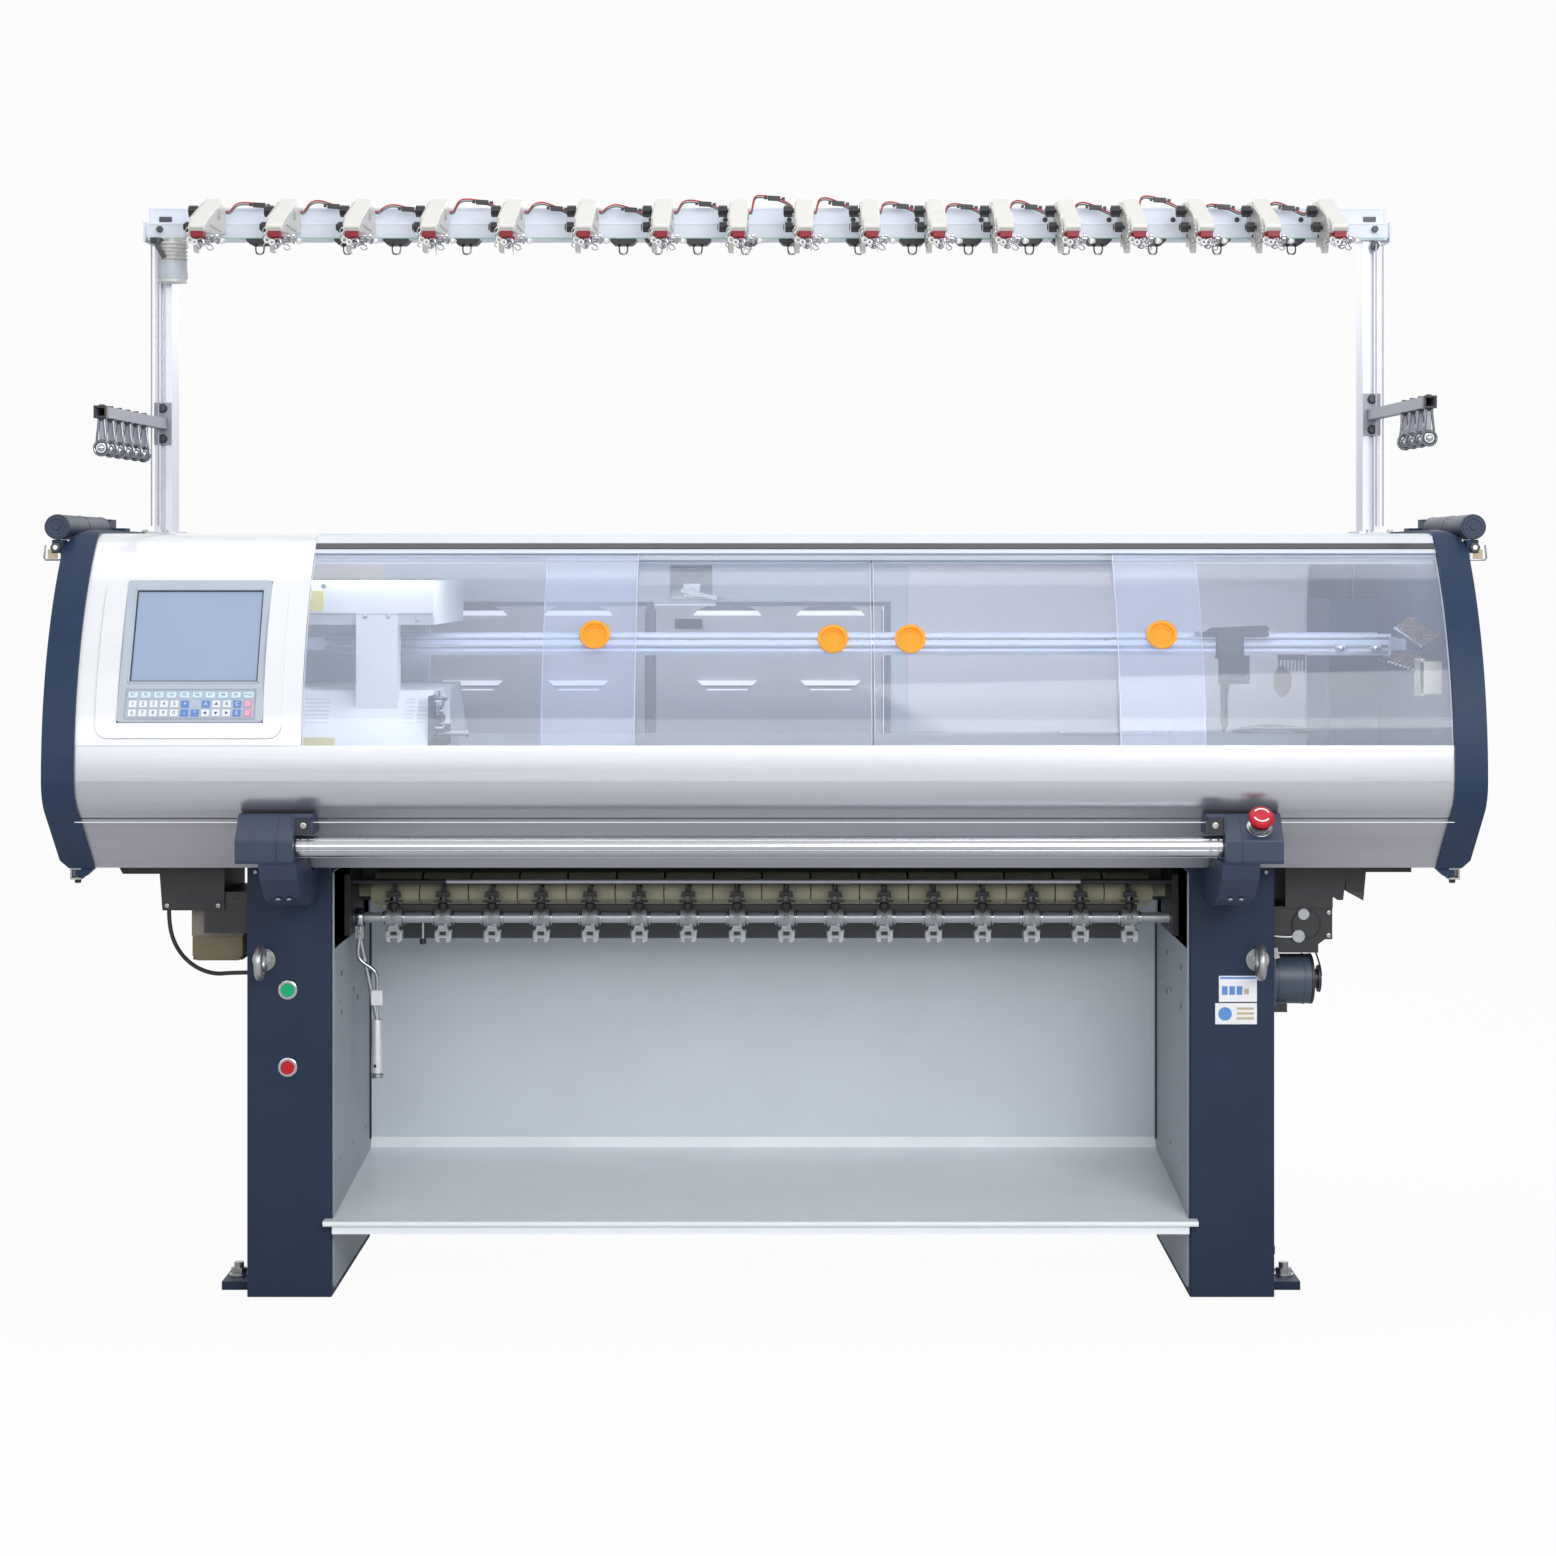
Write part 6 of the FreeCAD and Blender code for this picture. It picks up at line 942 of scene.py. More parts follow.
# ------------ top band over the windows
BAND_LEFT, BAND_RIGHT = -717.0, 1087.0
for name, finish, radius, low, high, bevel in (("head_rail_strip", BAND_GREY, 529.6, 0.785, 0.818, 0.5),
                                               ("head_rail_gasket", DARK_STEEL, 529.2, 0.7625, 0.7835, 0.4)):
    Form().prism_x(arc_outline(radius, 527.2, low, high, 4), BAND_LEFT, BAND_RIGHT).done(name, finish, bevel=bevel)

# ------------ behind the windows
CORNER_Y, CORNER_Z = 330.0, 1135.0
WALL_Y = 436.8
PANEL_LEFT, PANEL_RIGHT, PANEL_LOW, PANEL_HIGH, PANEL_RIM = 262, 1002, 884, 1197, 4
STRIP_HIGH, STRIP_RIBS = 1204, (1010, 1030, 1052, 1074)
DISC_PLACE, DISC_HALF = (956.5, 979.5), (16.5, 28.5)
STOP_LOW, STOP_HIGH = 778, 1126.5
STOP_INNER, STOP_UNDER = 793, 1119.2
LOUVRE_COLUMNS = ((-602, -475), (-407, -280), (-132, -5), (58, 186))
DOORS = {"left_rear_door": (-640, -218), "right_rear_door": (-203, 219)}


def wall_line(y, z0, z1, steps=6):
    """(Y, Z) points up the rear wall at a depth, bending forward with the cover's rear corner."""
    radius = y - CORNER_Y
    low = math.asin((max(z0, CORNER_Z) - CORNER_Z) / radius)
    high = math.asin((z1 - CORNER_Z) / radius)
    points = [(y, z0)] if z0 < CORNER_Z else []
    for step in range(steps + 1):
        angle = low + (high - low) * step / steps
        points.append((CORNER_Y + radius * math.cos(angle), CORNER_Z + radius * math.sin(angle)))
    return points


def on_wall(form, x0, x1, z0, z1, near, far=WALL_Y):
    """A sheet on the rear wall between two depths."""
    return form.prism_x(wall_line(far, z0, z1) + wall_line(near, z0, z1)[::-1], x0, x1)


on_wall(Form(), PANEL_LEFT, PANEL_RIGHT, PANEL_LOW, PANEL_HIGH, 434.2).done(
    "rear_light_panel", LIGHT_PANEL, bevel=0.8)
rim = Form().box(PANEL_LEFT, PANEL_RIGHT, 432.6, 434.6, PANEL_LOW, PANEL_LOW + PANEL_RIM)
for x0, x1, z0, z1 in ((PANEL_LEFT, PANEL_RIGHT, PANEL_HIGH - PANEL_RIM, PANEL_HIGH),
                       (PANEL_LEFT, PANEL_LEFT + PANEL_RIM, PANEL_LOW + PANEL_RIM, PANEL_HIGH - PANEL_RIM),
                       (PANEL_RIGHT - PANEL_RIM, PANEL_RIGHT, PANEL_LOW + PANEL_RIM, PANEL_HIGH - PANEL_RIM)):
    on_wall(rim, x0, x1, z0, z1, 432.6, 434.6)
rim.done("rear_panel_rim", BAND_GREY, bevel=0.5)
Form().prism_y([(DISC_PLACE[0] + DISC_HALF[0] * a, DISC_PLACE[1] + DISC_HALF[1] * b)
                for a, b in circle(1, 40)], 432.8, 434.6).done(
    "rear_brown_disc", BROWN, bevel=0.4)
dark = on_wall(Form(), 1004, 1086, PANEL_LOW, STRIP_HIGH, 434.0)
for x in STRIP_RIBS:
    on_wall(dark, x - 2.5, x + 2.5, PANEL_LOW, STRIP_HIGH, 430.5, 434.2)
dark.done("rear_dark_strip", NAVY, bevel=0.6)
on_wall(Form(), -840, -703, 1163, 1200, 430.0).done("rear_sand_panel", SAND, bevel=0.8)

# stops inside the wall, behind the gaps round the doors, dark as painted shade in the gaps; the latch swings through
# the break in the top one
stops = Form()
for spans, z0, z1 in ((((-654, -642), (-217.2, -203.8), (221, 233)), STOP_LOW, STOP_HIGH),
                      (((-642, -217.2), (-203.8, 221)), STOP_LOW, STOP_INNER),
                      (((-642, -217.2), (-90, 221)), STOP_UNDER, STOP_HIGH)):
    for x0, x1 in spans:
        stops.box(x0, x1, 433.2, WALL_Y, z0, z1)
stops.done("rear_door_stops", DOOR_PAINTED_SHADE, bevel=0.3)

# pale folded faces of the rear doors' louvres, made to glow as painted light; their dark undersides and the doors'
# edges as painted shade; and the latch plate
for index, (body, (left, right)) in enumerate(DOORS.items()):
    pale, dark = new_forms(2)
    for x0, x1 in LOUVRE_COLUMNS[2 * index:2 * index + 2]:
        pale.prism_y([(x0 + 8, 1110), (x1 - 8, 1110), (x1, 1101), (x0, 1101)], 428.6, 433.6)
        dark.prism_y([(x0 + 26, 1118), (x1 - 26, 1118), (x1 - 8, 1110.4), (x0 + 8, 1110.4)], 431.6, 434.2)
        pale.prism_y([(x0 + 8, 981), (x1 - 8, 981), (x1 - 18, 972), (x0 + 18, 972)], 428.6, 433.6)
        dark.box(x0 + 18, x1 - 18, 429.6, 434.2, 969.6, 971.8)
        pale.box(x0 + 26, x1 - 26, 431.0, 433.6, 962.8, 965.4)
    for x0, x1 in ((left, left + 2.4), (right - 2.4, right)):
        dark.box(x0, x1, 434.6, 436.9, 798, 1112)
    pale.done(f"{body}_louvres", LOUVRE_PAINTED_LIGHT, body, bevel=0.4)
    dark.done(f"{body}_louvre_shade", DOOR_PAINTED_SHADE, body, bevel=0.2)
latch = on_wall(Form(), -173, -96, 1130, 1194, 432.0).box(-150, -118, 426.0, 432.2, 1134, 1160)
latch.rod((-134, 432, 1142), (-134, 420, 1142), 9, 24).turned_box((-120, 422, 1140), (70, 5, 9), turned(0.22))
latch.done("rear_latch_plate", ZINC, bevel=0.8)

# each row: where it starts in Y and Z, the Z where it ends and its springs
SPRING_ROWS, ROW_END = ((-117, 1096, 1072, 12), (2, 1040, 1030, 11)), -330
# springs in two rows on the right cheek, and a cream bracket in front of them
coils, pins = new_forms(2)
for y0, z0, z1, count in SPRING_ROWS:
    for index in range(count):
        share = index / (count - 1)
        y, z = y0 + (ROW_END - y0) * share, z0 + (z1 - z0) * share
        coils.coil((1086, y, z + 8), (1062, y, z - 6), 5.0, 1.2, 6)
        pins.rod((1088, y, z + 9), (1058, y, z - 8), 1.6, 8)
        pins.lathe([(0, 4.5), (4, 4.0), (5, 1.5)], (1058, y, z - 8), (-1, 0, -0.4), 14)
coils.done("yarn_break_springs", COPPER)
pins.done("yarn_break_pins", CLIP)
Form().boxes((1052, 1058, -346, -298, 984, 1044), (1052, 1087, -346, -340, 988, 1040),
             (1050, 1053, -338, -306, 998, 1030)).done("cream_holder", CREAM_PLATE, bevel=1.0)

RAIL_LEFT, RAIL_RIGHT, RAIL_FRONT = -735, 1055, -66
TRACKS = ((1044, 1049.5), (1055.5, 1060), (1069, 1073))
DOME_X, DOME_STEPS = 869, ((0, 0), (4, 5), (16, 10), (38, 13.5), (62, 14.5))
TOOTH_PITCH, TOOTH_WIDTH = 6, 2.4
# rail fixings and tracks, the chrome bar on the needle bed, and the gripper and comb at the right
bolts, tracks, comb = new_forms(3)
for x in (975, 1034):
    bolts.lathe([(-1, 9), (2, 9), (3, 8), (3, 5), (6, 4.6), (6.8, 3)], (x, RAIL_FRONT, 1053), FRONT, 28)
for index in range(11):
    bolts.screw((-540 + index * 140, RAIL_FRONT, 1070), FRONT, 3.2, 1.2, 14)
bolts.done("yarn_rail_bolts", CHROME, bevel=0.2)
for y0, y1 in ((-67.4, -66.0), (66.0, 67.4)):
    for z0, z1 in TRACKS:
        tracks.box(RAIL_LEFT, RAIL_RIGHT, y0, y1, z0, z1)
tracks.done("yarn_rail_tracks", BAR, bevel=0.4)
bar = Form().box(507, 690, -14, -8, 905.5, 912)
for x in (515, 598, 682):
    bar.screw((x, -11, 911.8), UP, 3.0, 1.6, 14)
bar.done("sinker_bar", BAR, bevel=0.6)
dome = Form().loops([[(DOME_X + (66 - drop) * a, (14 - drop * 0.12) * b, 908 + lift) for a, b in circle(1, 28)]
                     for drop, lift in DOME_STEPS])
dome.rod((810, -16, 917), (930, -16, 917), 2.4, 12).rod((800, -10, 911), (938, -10, 911), 2.0, 12)
dome.done("gripper_dome", DARK_STEEL, bevel=0.5)
comb.box(868, 914, -76, -68.6, 1034, 1043)
for index in range(8):
    tooth_x = DOME_X + index * TOOTH_PITCH
    comb.box(tooth_x, tooth_x + TOOTH_WIDTH, -75, -72, 1016, 1034.4)
comb.done("rail_comb", BLACK, bevel=0.4)

# ------------ yarn carrier
CARRIER_X = 788.0
carrier = Form(CARRIER_X).boxes((-22, 22, -82, -66.4, 1042, 1074), (-60, 64, -80, -70, 1074, 1082),
                                (-16, 28, -80, -66.6, 1000, 1042))
for dx in (-12, 0, 12):
    carrier.screw((dx, -82, 1066), FRONT, 3.4, 1.8, 16)
carrier.wire([(6, -74, 1003), (6, -60, 998), (4, -24, 995), (2, -12, 962), (0, -3, 918)], 2.4, 8)
carrier.done("yarn_carrier_body", BLACK, "yarn_carrier", bevel=0.8)

# ------------ carriage
MECHANISM_X = -527
COVER_SCREWS = ((-712, 1160), (-560, 1104), (-645, 1110), (-607, 1110))
# each row: Y, Z, radius and reach of a bright stud
STUDS = ((-272, 968, 8, 16), (-250, 978, 5, 20), (-236, 946, 9, 14), (-270, 930, 7, 18), (-246, 920, 10, 13),
         (-222, 914, 6, 17))
yellow = Form().box(-739, -712, -233.4, -232.2, 1119, 1152)
yellow.turned_box((-712, -301.6, 909), (56, 1.2, 15), turned(-0.08, "X"))
yellow.done("plain_yellow_plates", YELLOW, "carriage", bevel=0.3)
screws = Form()
for x, z in COVER_SCREWS:
    screws.screw((x, -232, z), FRONT, 4.2, 2.0)
screws.done("carriage_screws", CHROME, "carriage")
Form().boxes((-741.4, -533.6, -232.8, -231.6, 1113.2, 1114.4), (-661.0, -659.2, -233.0, -231.8, 998, 1096)).done(
    "carriage_seams", SEAM_GREY, "carriage", slot="carriage_white")
works, bright = Form(MECHANISM_X), Form(MECHANISM_X)
works.boxes((-8.5, 0, -290, -205, 902, 982), (0, 12, -282, -246, 938, 952), (0, 8, -262, -220, 962, 974),
            (0, 15, -286, -262, 906, 921))
for y, z, radius, reach in STUDS:
    bright.lathe([(0, radius), (reach - 3, radius), (reach - 2, radius * 0.8), (reach, radius * 0.55)],
                 (-0.5, y, z), RIGHT, 24)
bright.coil((5, -282, 950), (5, -282, 972), 4.0, 1.0, 6)
bright.rod((0, -262, 921), (55, -262, 921), 3.4, 14)
bright.disc((51, -262, 921), RIGHT, 7.0, 5.0, 0.8, 24).disc((35, -262, 921), RIGHT, 5.0, 3.0, 0.6, 24)
bright.rod((9, -286, 976), (9, -286, 991), 2.2, 12)
works.rod((18, -250, 903), (18, -250, 936), 5.5, 18)
for index in range(9):
    works.box(3 + index * 2.4, 4.1 + index * 2.4, -296, -284, 903, 917)
works.done("carriage_mechanism", DARK_STEEL, "carriage", bevel=0.6)
bright.done("carriage_mechanism_bright", CHROME, "carriage", bevel=0.3)

# ------------ windows: edges and pulls
EDGE_LOW, EDGE_HIGH = 0.0905, 0.7625
WINDOWS = ((-717.5, -195.5, 524.5, -261.5), (-344.5, 177.5, 508.5, 115.5), (180.5, 702.5, 508.5, 238.5),
           (565.5, 1087.5, 524.5, 635.5))
PULL_ANGLE = 0.44903
PULL_PROFILE = [(0.4, 23.2), (1.8, 24.4), (3.6, 24.4), (5.2, 22.6), (5.2, 19.0), (3.6, 17.6), (0.4, 16.6),
                (-3.0, 16.2), (-3.6, 14.4), (-3.6, 6.4), (-2.6, 5.6), (-2.6, 0.6)]
for number, (x0, x1, radius, pull_x) in enumerate(WINDOWS, 1):
    body = f"window_{number}"
    edges = Form()
    for edge in (x0 + 0.2, x1 - 1.4):
        edges.prism_x(arc_outline(radius + 0.35, radius - 5.2, EDGE_LOW, EDGE_HIGH, 48), edge, edge + 1.2)
    edges.done(f"{body}_edges", EDGE, body)
    out = (0, -math.cos(PULL_ANGLE), math.sin(PULL_ANGLE))
    Form().lathe(PULL_PROFILE, (pull_x, *arc_at(radius, PULL_ANGLE)), out, 56).done(
        f"{body}_pull_rim", ORANGE, body, bevel=0.3)

# ------------ take-down
SHAFT_Y, SHAFT_Z = -62.0, 600.0
ROD_Y, ROD_Z = -92.0, 664.0
ADJUSTER_Y = -71
LEVER_X, LEVER_HEAD_X = -648, -684
LEVER_PATH = ((-676, -4, 588), (-677, -4, 572), (-680, -4, 540), (-674, -4, 527), (-660, -4, 517), (-650.5, -4, 507),
              (-648, -2, 492), (-648.5, 0, 470), (-648, 0, 424))

Form().box(-633, 633, -60.2, -49.8, 611.0, 621.8).done("tie_bar_cover", BLACK, "pinch_lever", bevel=0.6)
Form().lathe([(0, 2.4), (1.2, 3.9), (1063, 3.9), (1064, 2.4)], (-529, ROD_Y, ROD_Z), RIGHT, 24).done(
    "guard_rod_bright", SHAFT)
# olive sheet behind the take-down roller; its dark olive is painted shade above the guard rod
Form().boxes((-686, 686, 44.6, 46.6, 671.6, 704.6), (-686, 686, 41.0, 44.6, 701, 704.6)).done(
    "olive_shade_sheet", OLIVE_PAINTED_SHADE, bevel=0.4)
Form().prism_x([(64, 551), (68, 549), (68, 604), (64, 604)], -636, 636).done(
    "rear_cross_plate", DARK_STEEL, bevel=0.5)

parts = new_forms(7)
wings, pins, coils, hoops, fittings, recesses, sleeves = parts
for x in SECTION_X:
    move_to(x, parts)
    for size, z in (((24, 11, 3.4), 637.0), ((30, 10, 3.4), 628.0)):
        wings.turned_box((0, ADJUSTER_Y, z), size, Matrix.Identity(3))
    wings.rod((0, ADJUSTER_Y, 637), (0, ADJUSTER_Y, 650), 2.6, 12)
    wings.lathe([(0, 7.0), (3, 8.0), (8, 8.0), (10, 6.5)], (0, ADJUSTER_Y, 616.5), UP, 20)
    pins.rod((0, -78, 646), (0, ROD_Y + 5, ROD_Z + 1), 1.3, 8)
    coils.coil((0, ADJUSTER_Y, 629), (0, ADJUSTER_Y, 637), 5.4, 0.9, 4)
    for dx in (-17.5, -13.6, 13.6, 17.5):
        hoops.hoop((dx, SHAFT_Y, SHAFT_Z), RIGHT, 1.4, 1.0, 9.2, 12.2, 32)
    fittings.screw((0, SHAFT_Y - 14.6, SHAFT_Z + 1), FRONT, 5.0, 3.2)
    fittings.box(-9, 9, -72.5, -69.5, 569, 583).rod((-14.5, -64, 577), (14.5, -64, 577), 2.2, 12)
    fittings.lathe([(0, 3.6), (3, 3.6), (4, 2.6)], (11.5, -64, 577), RIGHT, 16)
    fittings.hex_head((5, -72.4, 588.6), FRONT, 3.6, 2.6)
    recesses.boxes((-5.5, 5.5, -73.2, -72.2, 571, 577.5), (-13.4, -12.6, -70.4, -69.6, 562, 584))
    sleeves.hoop((0, SHAFT_Y, SHAFT_Z), RIGHT, 13.4, 12.4, 13.5, 15.5, 36)
wings.done("adjuster_wings", BLACK, "pinch_lever", bevel=0.7)
pins.done("adjuster_pins", DARK_STEEL, "pinch_lever")
coils.done("adjuster_springs", CLIP, "pinch_lever")
hoops.done("shaft_rings", CHROME, "pinch_lever")
fittings.done("clamp_fittings", CAST_GREY, "pinch_lever", bevel=0.5)
recesses.done("clamp_recesses", BLACK, "pinch_lever")
sleeves.done("clamp_sleeves", CAST_GREY, "pinch_lever", bevel=0.4)
Form().rod((-571, SHAFT_Y, 560), (-571, SHAFT_Y, 592), 2.8).done("shaft_pin", CHROME, "pinch_lever")
Form().lathe([(0, 4.2), (1, 5.6), (8.5, 5.6), (9.5, 4.0)], (-571, SHAFT_Y, 555), UP, 20).done(
    "shaft_pin_foot", BLACK, "pinch_lever")

# release lever: clip on the rod, bent bar, hub and its screws, grip and the grip's hole
Form().box(-658.5, -638.5, -69, -55, 452, 478).done("lever_clip", PLATE_WHITE, "pinch_lever", bevel=2.4, steps=3)
Form().tube([(x, SHAFT_Y + dy, z) for x, dy, z in LEVER_PATH], 3.6, 12).done("lever_bent_bar", CHROME, "pinch_lever")
hub = Form().lathe([(0, 15.4), (1.5, 16.4), (12.5, 16.4), (14, 15.4)], (LEVER_HEAD_X, SHAFT_Y, SHAFT_Z), RIGHT, 36)
for z in (570, 578):
    hub.hex_head((-677, -69.2, z), FRONT, 4.4, 3.4)
hub.lathe([(0, 9.8), (1, 10.8), (4, 10.8), (5, 9.6)], (LEVER_X, SHAFT_Y, 337), DOWN, 28)
hub.done("lever_fittings", CHROME, "pinch_lever", bevel=0.3)
Form().lathe([(0, 6.4), (1.5, 8.2), (4, 8.6), (84, 10.3), (89.5, 10.4), (90.6, 9.6)], (LEVER_X, SHAFT_Y, 429), DOWN,
             40).done("lever_grip", GRIP, "pinch_lever")
Form().disc((-650.5, SHAFT_Y - 9.9, 351), FRONT, 2.7, 0.8, 0.2, 18).done("lever_grip_hole", BLACK, "pinch_lever")

# dark gap between the inner covers and the back panel
Form().twin_boxes(693.6, 697.0, 199.0, 203.0, 178, 566).done("back_panel_gasket", BLACK, bevel=0.4)

# ------------ start bar and its brackets
BAR_Y, BAR_Z, BAR_RINGS = -425, 752, (704, 716)
SEAM = [(-462.6, 729), (-462.6, 765.2), (-425.3, 804.6), (-402, 804.6), (-402, 803.4), (-424.6, 803.4),
        (-461.4, 764.6), (-461.4, 729)]
seams, pockets, rims, screws, hoops = new_forms(5)
for side in SIDES:
    seams.prism_x(SEAM, *sorted((side * 751.0, side * 752.4)))
    rims.box(*sorted((side * 697.6, side * 727.4)), -447.4, -443.0, 798.4, 802.6)
    x0, x1 = sorted((side * 724.2, side * 727.6))
    rims.prism_y([(x0, 774), (x1, 774), (x1, 799), (x0, 799)], -448.5, -443)
    screws.screw((side * 711.5, -445.8, 787), FRONT, 5.5, 3.0, 20)
    screws.screw((side * 824, -230, 693), FRONT, 3.6, 2.0, 16)
    for x in (742, 759):
        screws.screw((side * x, -396, 667.2), (0, -0.25, -1), 4.5, 2.6)
    for start in BAR_RINGS:
        hoops.lathe([(0, 16.6), (0.6, 17.6), (2.4, 17.6), (3, 16.6)], (side * start, BAR_Y, BAR_Z), (side, 0, 0), 48)
pockets.twin_boxes(700.5, 724.5, -445.9, -444.0, 774, 798.5)
seams.done("bracket_seams", BLACK, slot="navy_paint")
pockets.done("bracket_pockets", BLACK, bevel=0.4)
rims.done("bracket_pocket_rims", BRACKET_NAVY, bevel=0.8)
screws.done("bracket_screws", ZINC, bevel=0.2)
hoops.done("start_bar_rings", BAR, "start_bar", slot="aluminium_profile")

# emergency stop: pale arcs on the head, its base and the collar's rings
STOP_OUT = Vector((0, -0.7254, 0.6882))
STOP_SEAT = Vector((781.0, -443.5, 784.5))
STOP_FACE = 30.1
STOP_ARCS, ARC_STEPS = ((0.35, 2.5), (3.5, 5.65)), 20
arcs, hoops = new_forms(2)
for start, end in STOP_ARCS:
    rows = []
    for step in range(ARC_STEPS + 1):
        angle = start + (end - start) * step / ARC_STEPS
        spoke = Vector(RIGHT) * math.cos(angle) + STOP_OUT.cross(Vector(RIGHT)) * math.sin(angle)
        rows.append([STOP_SEAT + STOP_OUT * (STOP_FACE + rise) + spoke * radius
                     for radius, rise in ((11.0, 0.0), (13.4, 0.0), (13.4, 0.35), (11.0, 0.35))])
    arcs.loops(rows)
arcs.done("emergency_stop_arcs", PLATE_WHITE, "emergency_stop")
Form().lathe([(-0.5, 20.5), (1.6, 20.5), (2.4, 19.0), (2.4, 16.2)], STOP_SEAT, STOP_OUT, 48).done(
    "emergency_stop_base", CLIP)
for along in (5.0, 8.6):
    hoops.hoop(STOP_SEAT + STOP_OUT * along, STOP_OUT, 0.7, 0.4, 15.9, 16.7)
hoops.done("emergency_stop_rings", CHROME)

# ------------ legs
PLATE_Y, MARK_Y, SHEET_Z = (-231.2, -229.8), (-231.8, -231.0), (164, 690)
COVER_HOLES = ((52, 527), (-138, 526), (52, 460), (-138, 461))
BOLT_X, BOLT_Z = 810, 550
FOOT_X, FOOT_Y = 868, 130
Form().boxes((747, 809, *PLATE_Y, 481.5, 524), (741, 809, *PLATE_Y, 445, 479.5)).done(
    "plain_leg_plates", PLATE_WHITE, bevel=0.3)
blue, tan, holes, fixings, rims, washers = new_forms(6)
blue.box(749, 807, *MARK_Y, 519, 522)
for x in (752, 764, 776):
    blue.box(x, x + 9, *MARK_Y, 493, 507)
blue.disc((757, -231.4, 462), REAR, 11.0, 0.8, 0.2, 40).done("plain_plate_blue_shapes", PLATE_BLUE)
for z in (469, 461, 453):
    tan.box(776, 804, *MARK_Y, z, z + 3.4)
tan.box(788, 796, *MARK_Y, 494, 503).done("plain_plate_tan_shapes", TAN, slot="white_fascia")
Form().twin_boxes(686, 699.6, 222.2, 224.9, *SHEET_Z).twin_boxes(697.2, 699.6, 206, 224.9, *SHEET_Z).done(
    "panel_edge_angles", GREY_PAINT, bevel=0.4)
holes.disc((-733, -230.2, 678.6), REAR, 5.8, 1.0, 0.2, 28)
for y, z in COVER_HOLES:
    holes.disc((696.8, y, z), RIGHT, 5.0, 0.8, 0.2, 24).disc((-696.8, y, z - 10), RIGHT, 5.0, 0.8, 0.2, 24)
holes.done("leg_holes", BLACK)
for side in SIDES:
    fixings.hex_head((side * BOLT_X, -239, BOLT_Z), FRONT, 12.5, 7.0)
    fixings.disc((side * BOLT_X, -231.4, BOLT_Z), REAR, 19.0, 2.6, 0.8, 36)
    for y in (-190, 190):
        for z in (100, 400):
            fixings.screw((side * 838, y, z), (side, 0, 0), 6.0, 3.4, 20)
    for y in (-150, 0, 150):
        for z in (210, 470):
            fixings.screw((side * 697, y, z), (-side, 0, 0), 4.0, 2.2, 16)
    for y in (-FOOT_Y, FOOT_Y):
        washers.disc((side * FOOT_X, y, 14.9), UP, 17.0, 2.4, 0.5)
fixings.done("leg_fixings", ZINC, bevel=0.4)
for z in (501, 375):
    rims.lathe([(-0.4, 15.4), (1.0, 16.2), (2.6, 15.6), (3.4, 14.2)], (-771, -230, z), FRONT, 44)
rims.done("button_rims", CHROME)
washers.done("foot_washers", ZINC)

# dark plates at the top of the inner covers, behind the take-down's ends: painted shade under the casing
Form().twin_boxes(697.0, 698.4, -217, 190, 566, 693).done("inner_cover_tops", DARK_STEEL, bevel=0.4)

# clips under the end caps
clips, bolts, lips = new_forms(3)
for side, x in ((-1, -1106.0), (1, 1121.0)):
    lips.prism_y([(x - side * dx, z) for dx, z in ((2, 706.4), (34, 706.4), (17, 691), (2, 691))], -289, -262)
    for a, b, z0, z1 in ((-6, 12, 703, 706), (-6, -3, 690, 703), (-6, 12, 687, 690)):
        clips.box(*sorted((x - side * a, x - side * b)), -292, -264, z0, z1)
    bolts.hex_head((x - side * 4, -278, 687), DOWN, 5.5, 6.5)
lips.done("cap_lips", CAP_NAVY, bevel=1.0)
clips.done("cap_clips", ZINC, bevel=0.5)
bolts.done("cap_clip_bolts", BLACK)

# ------------ boxes and motor under the casing
MOTOR_Y, MOTOR_Z, MOTOR_BANDS = -150, 509, (846, 853, 896)
BOX_LINES = ((-982, -884, 690), (-982, -884, 640), (864, 938, 660), (864, 938, 652))
BOX_SCREWS = ((933.8, 584.5), (934, 622), (-976, 700), (-976, 634), (-892, 700), (-892, 634))
Form().prism_y([(-942.4, 626), (-857.8, 626), (-857.8, 548), (-865, 538.6), (-935, 538.6), (-942.4, 546)],
               -151.2, -58.8).done("khaki_box_cover", KHAKI, bevel=2.0)
# lighter khaki over the box's top part: painted light, the top lit and the foot left darker
Form().box(-943.2, -857.0, -152.2, -57.8, 580, 626.4).done("khaki_box_collar", KHAKI_PAINTED_LIGHT, bevel=0.8)
lines, screws, caps, bands = new_forms(4)
for x0, x1, z in BOX_LINES:
    lines.box(x0, x1, -191.2, -189.6, z - 0.9, z + 0.9)
lines.box(-914, -840, -186.2, -184.6, 640, 642)
lines.prism_y([(965, 655.5), (991.6, 641.6), (993.4, 654), (972, 657)], -181.2, -179.8)
lines.done("box_seams", DARK_STEEL, bevel=0.3)
for x, z in BOX_SCREWS:
    screws.screw((x, -185 if x > 0 else -190, z), FRONT, 4.2, 2.6)
screws.turned_box((846, -193, 556), (9, 3, 18), turned(-0.25)).done("box_screws", ZINC, bevel=0.3)
Form().disc((897, -186.0, 603), REAR, 24.0, 2.4, 1.0, 48).ring((897, -187.2, 603), REAR, 23.0, 1.0, 48, 6).done(
    "belt_box_round_cover", BLACK)
for x, z, radius in ((891.9, 619.7, 9.5), (883.6, 583.4, 10.5)):
    caps.lathe([(0, radius), (3.5, radius), (4.6, radius - 1.2), (4.6, radius - 3.0), (4.0, radius - 3.4),
                (4.0, 0.5)], (x, -186.4, z), FRONT, 36)
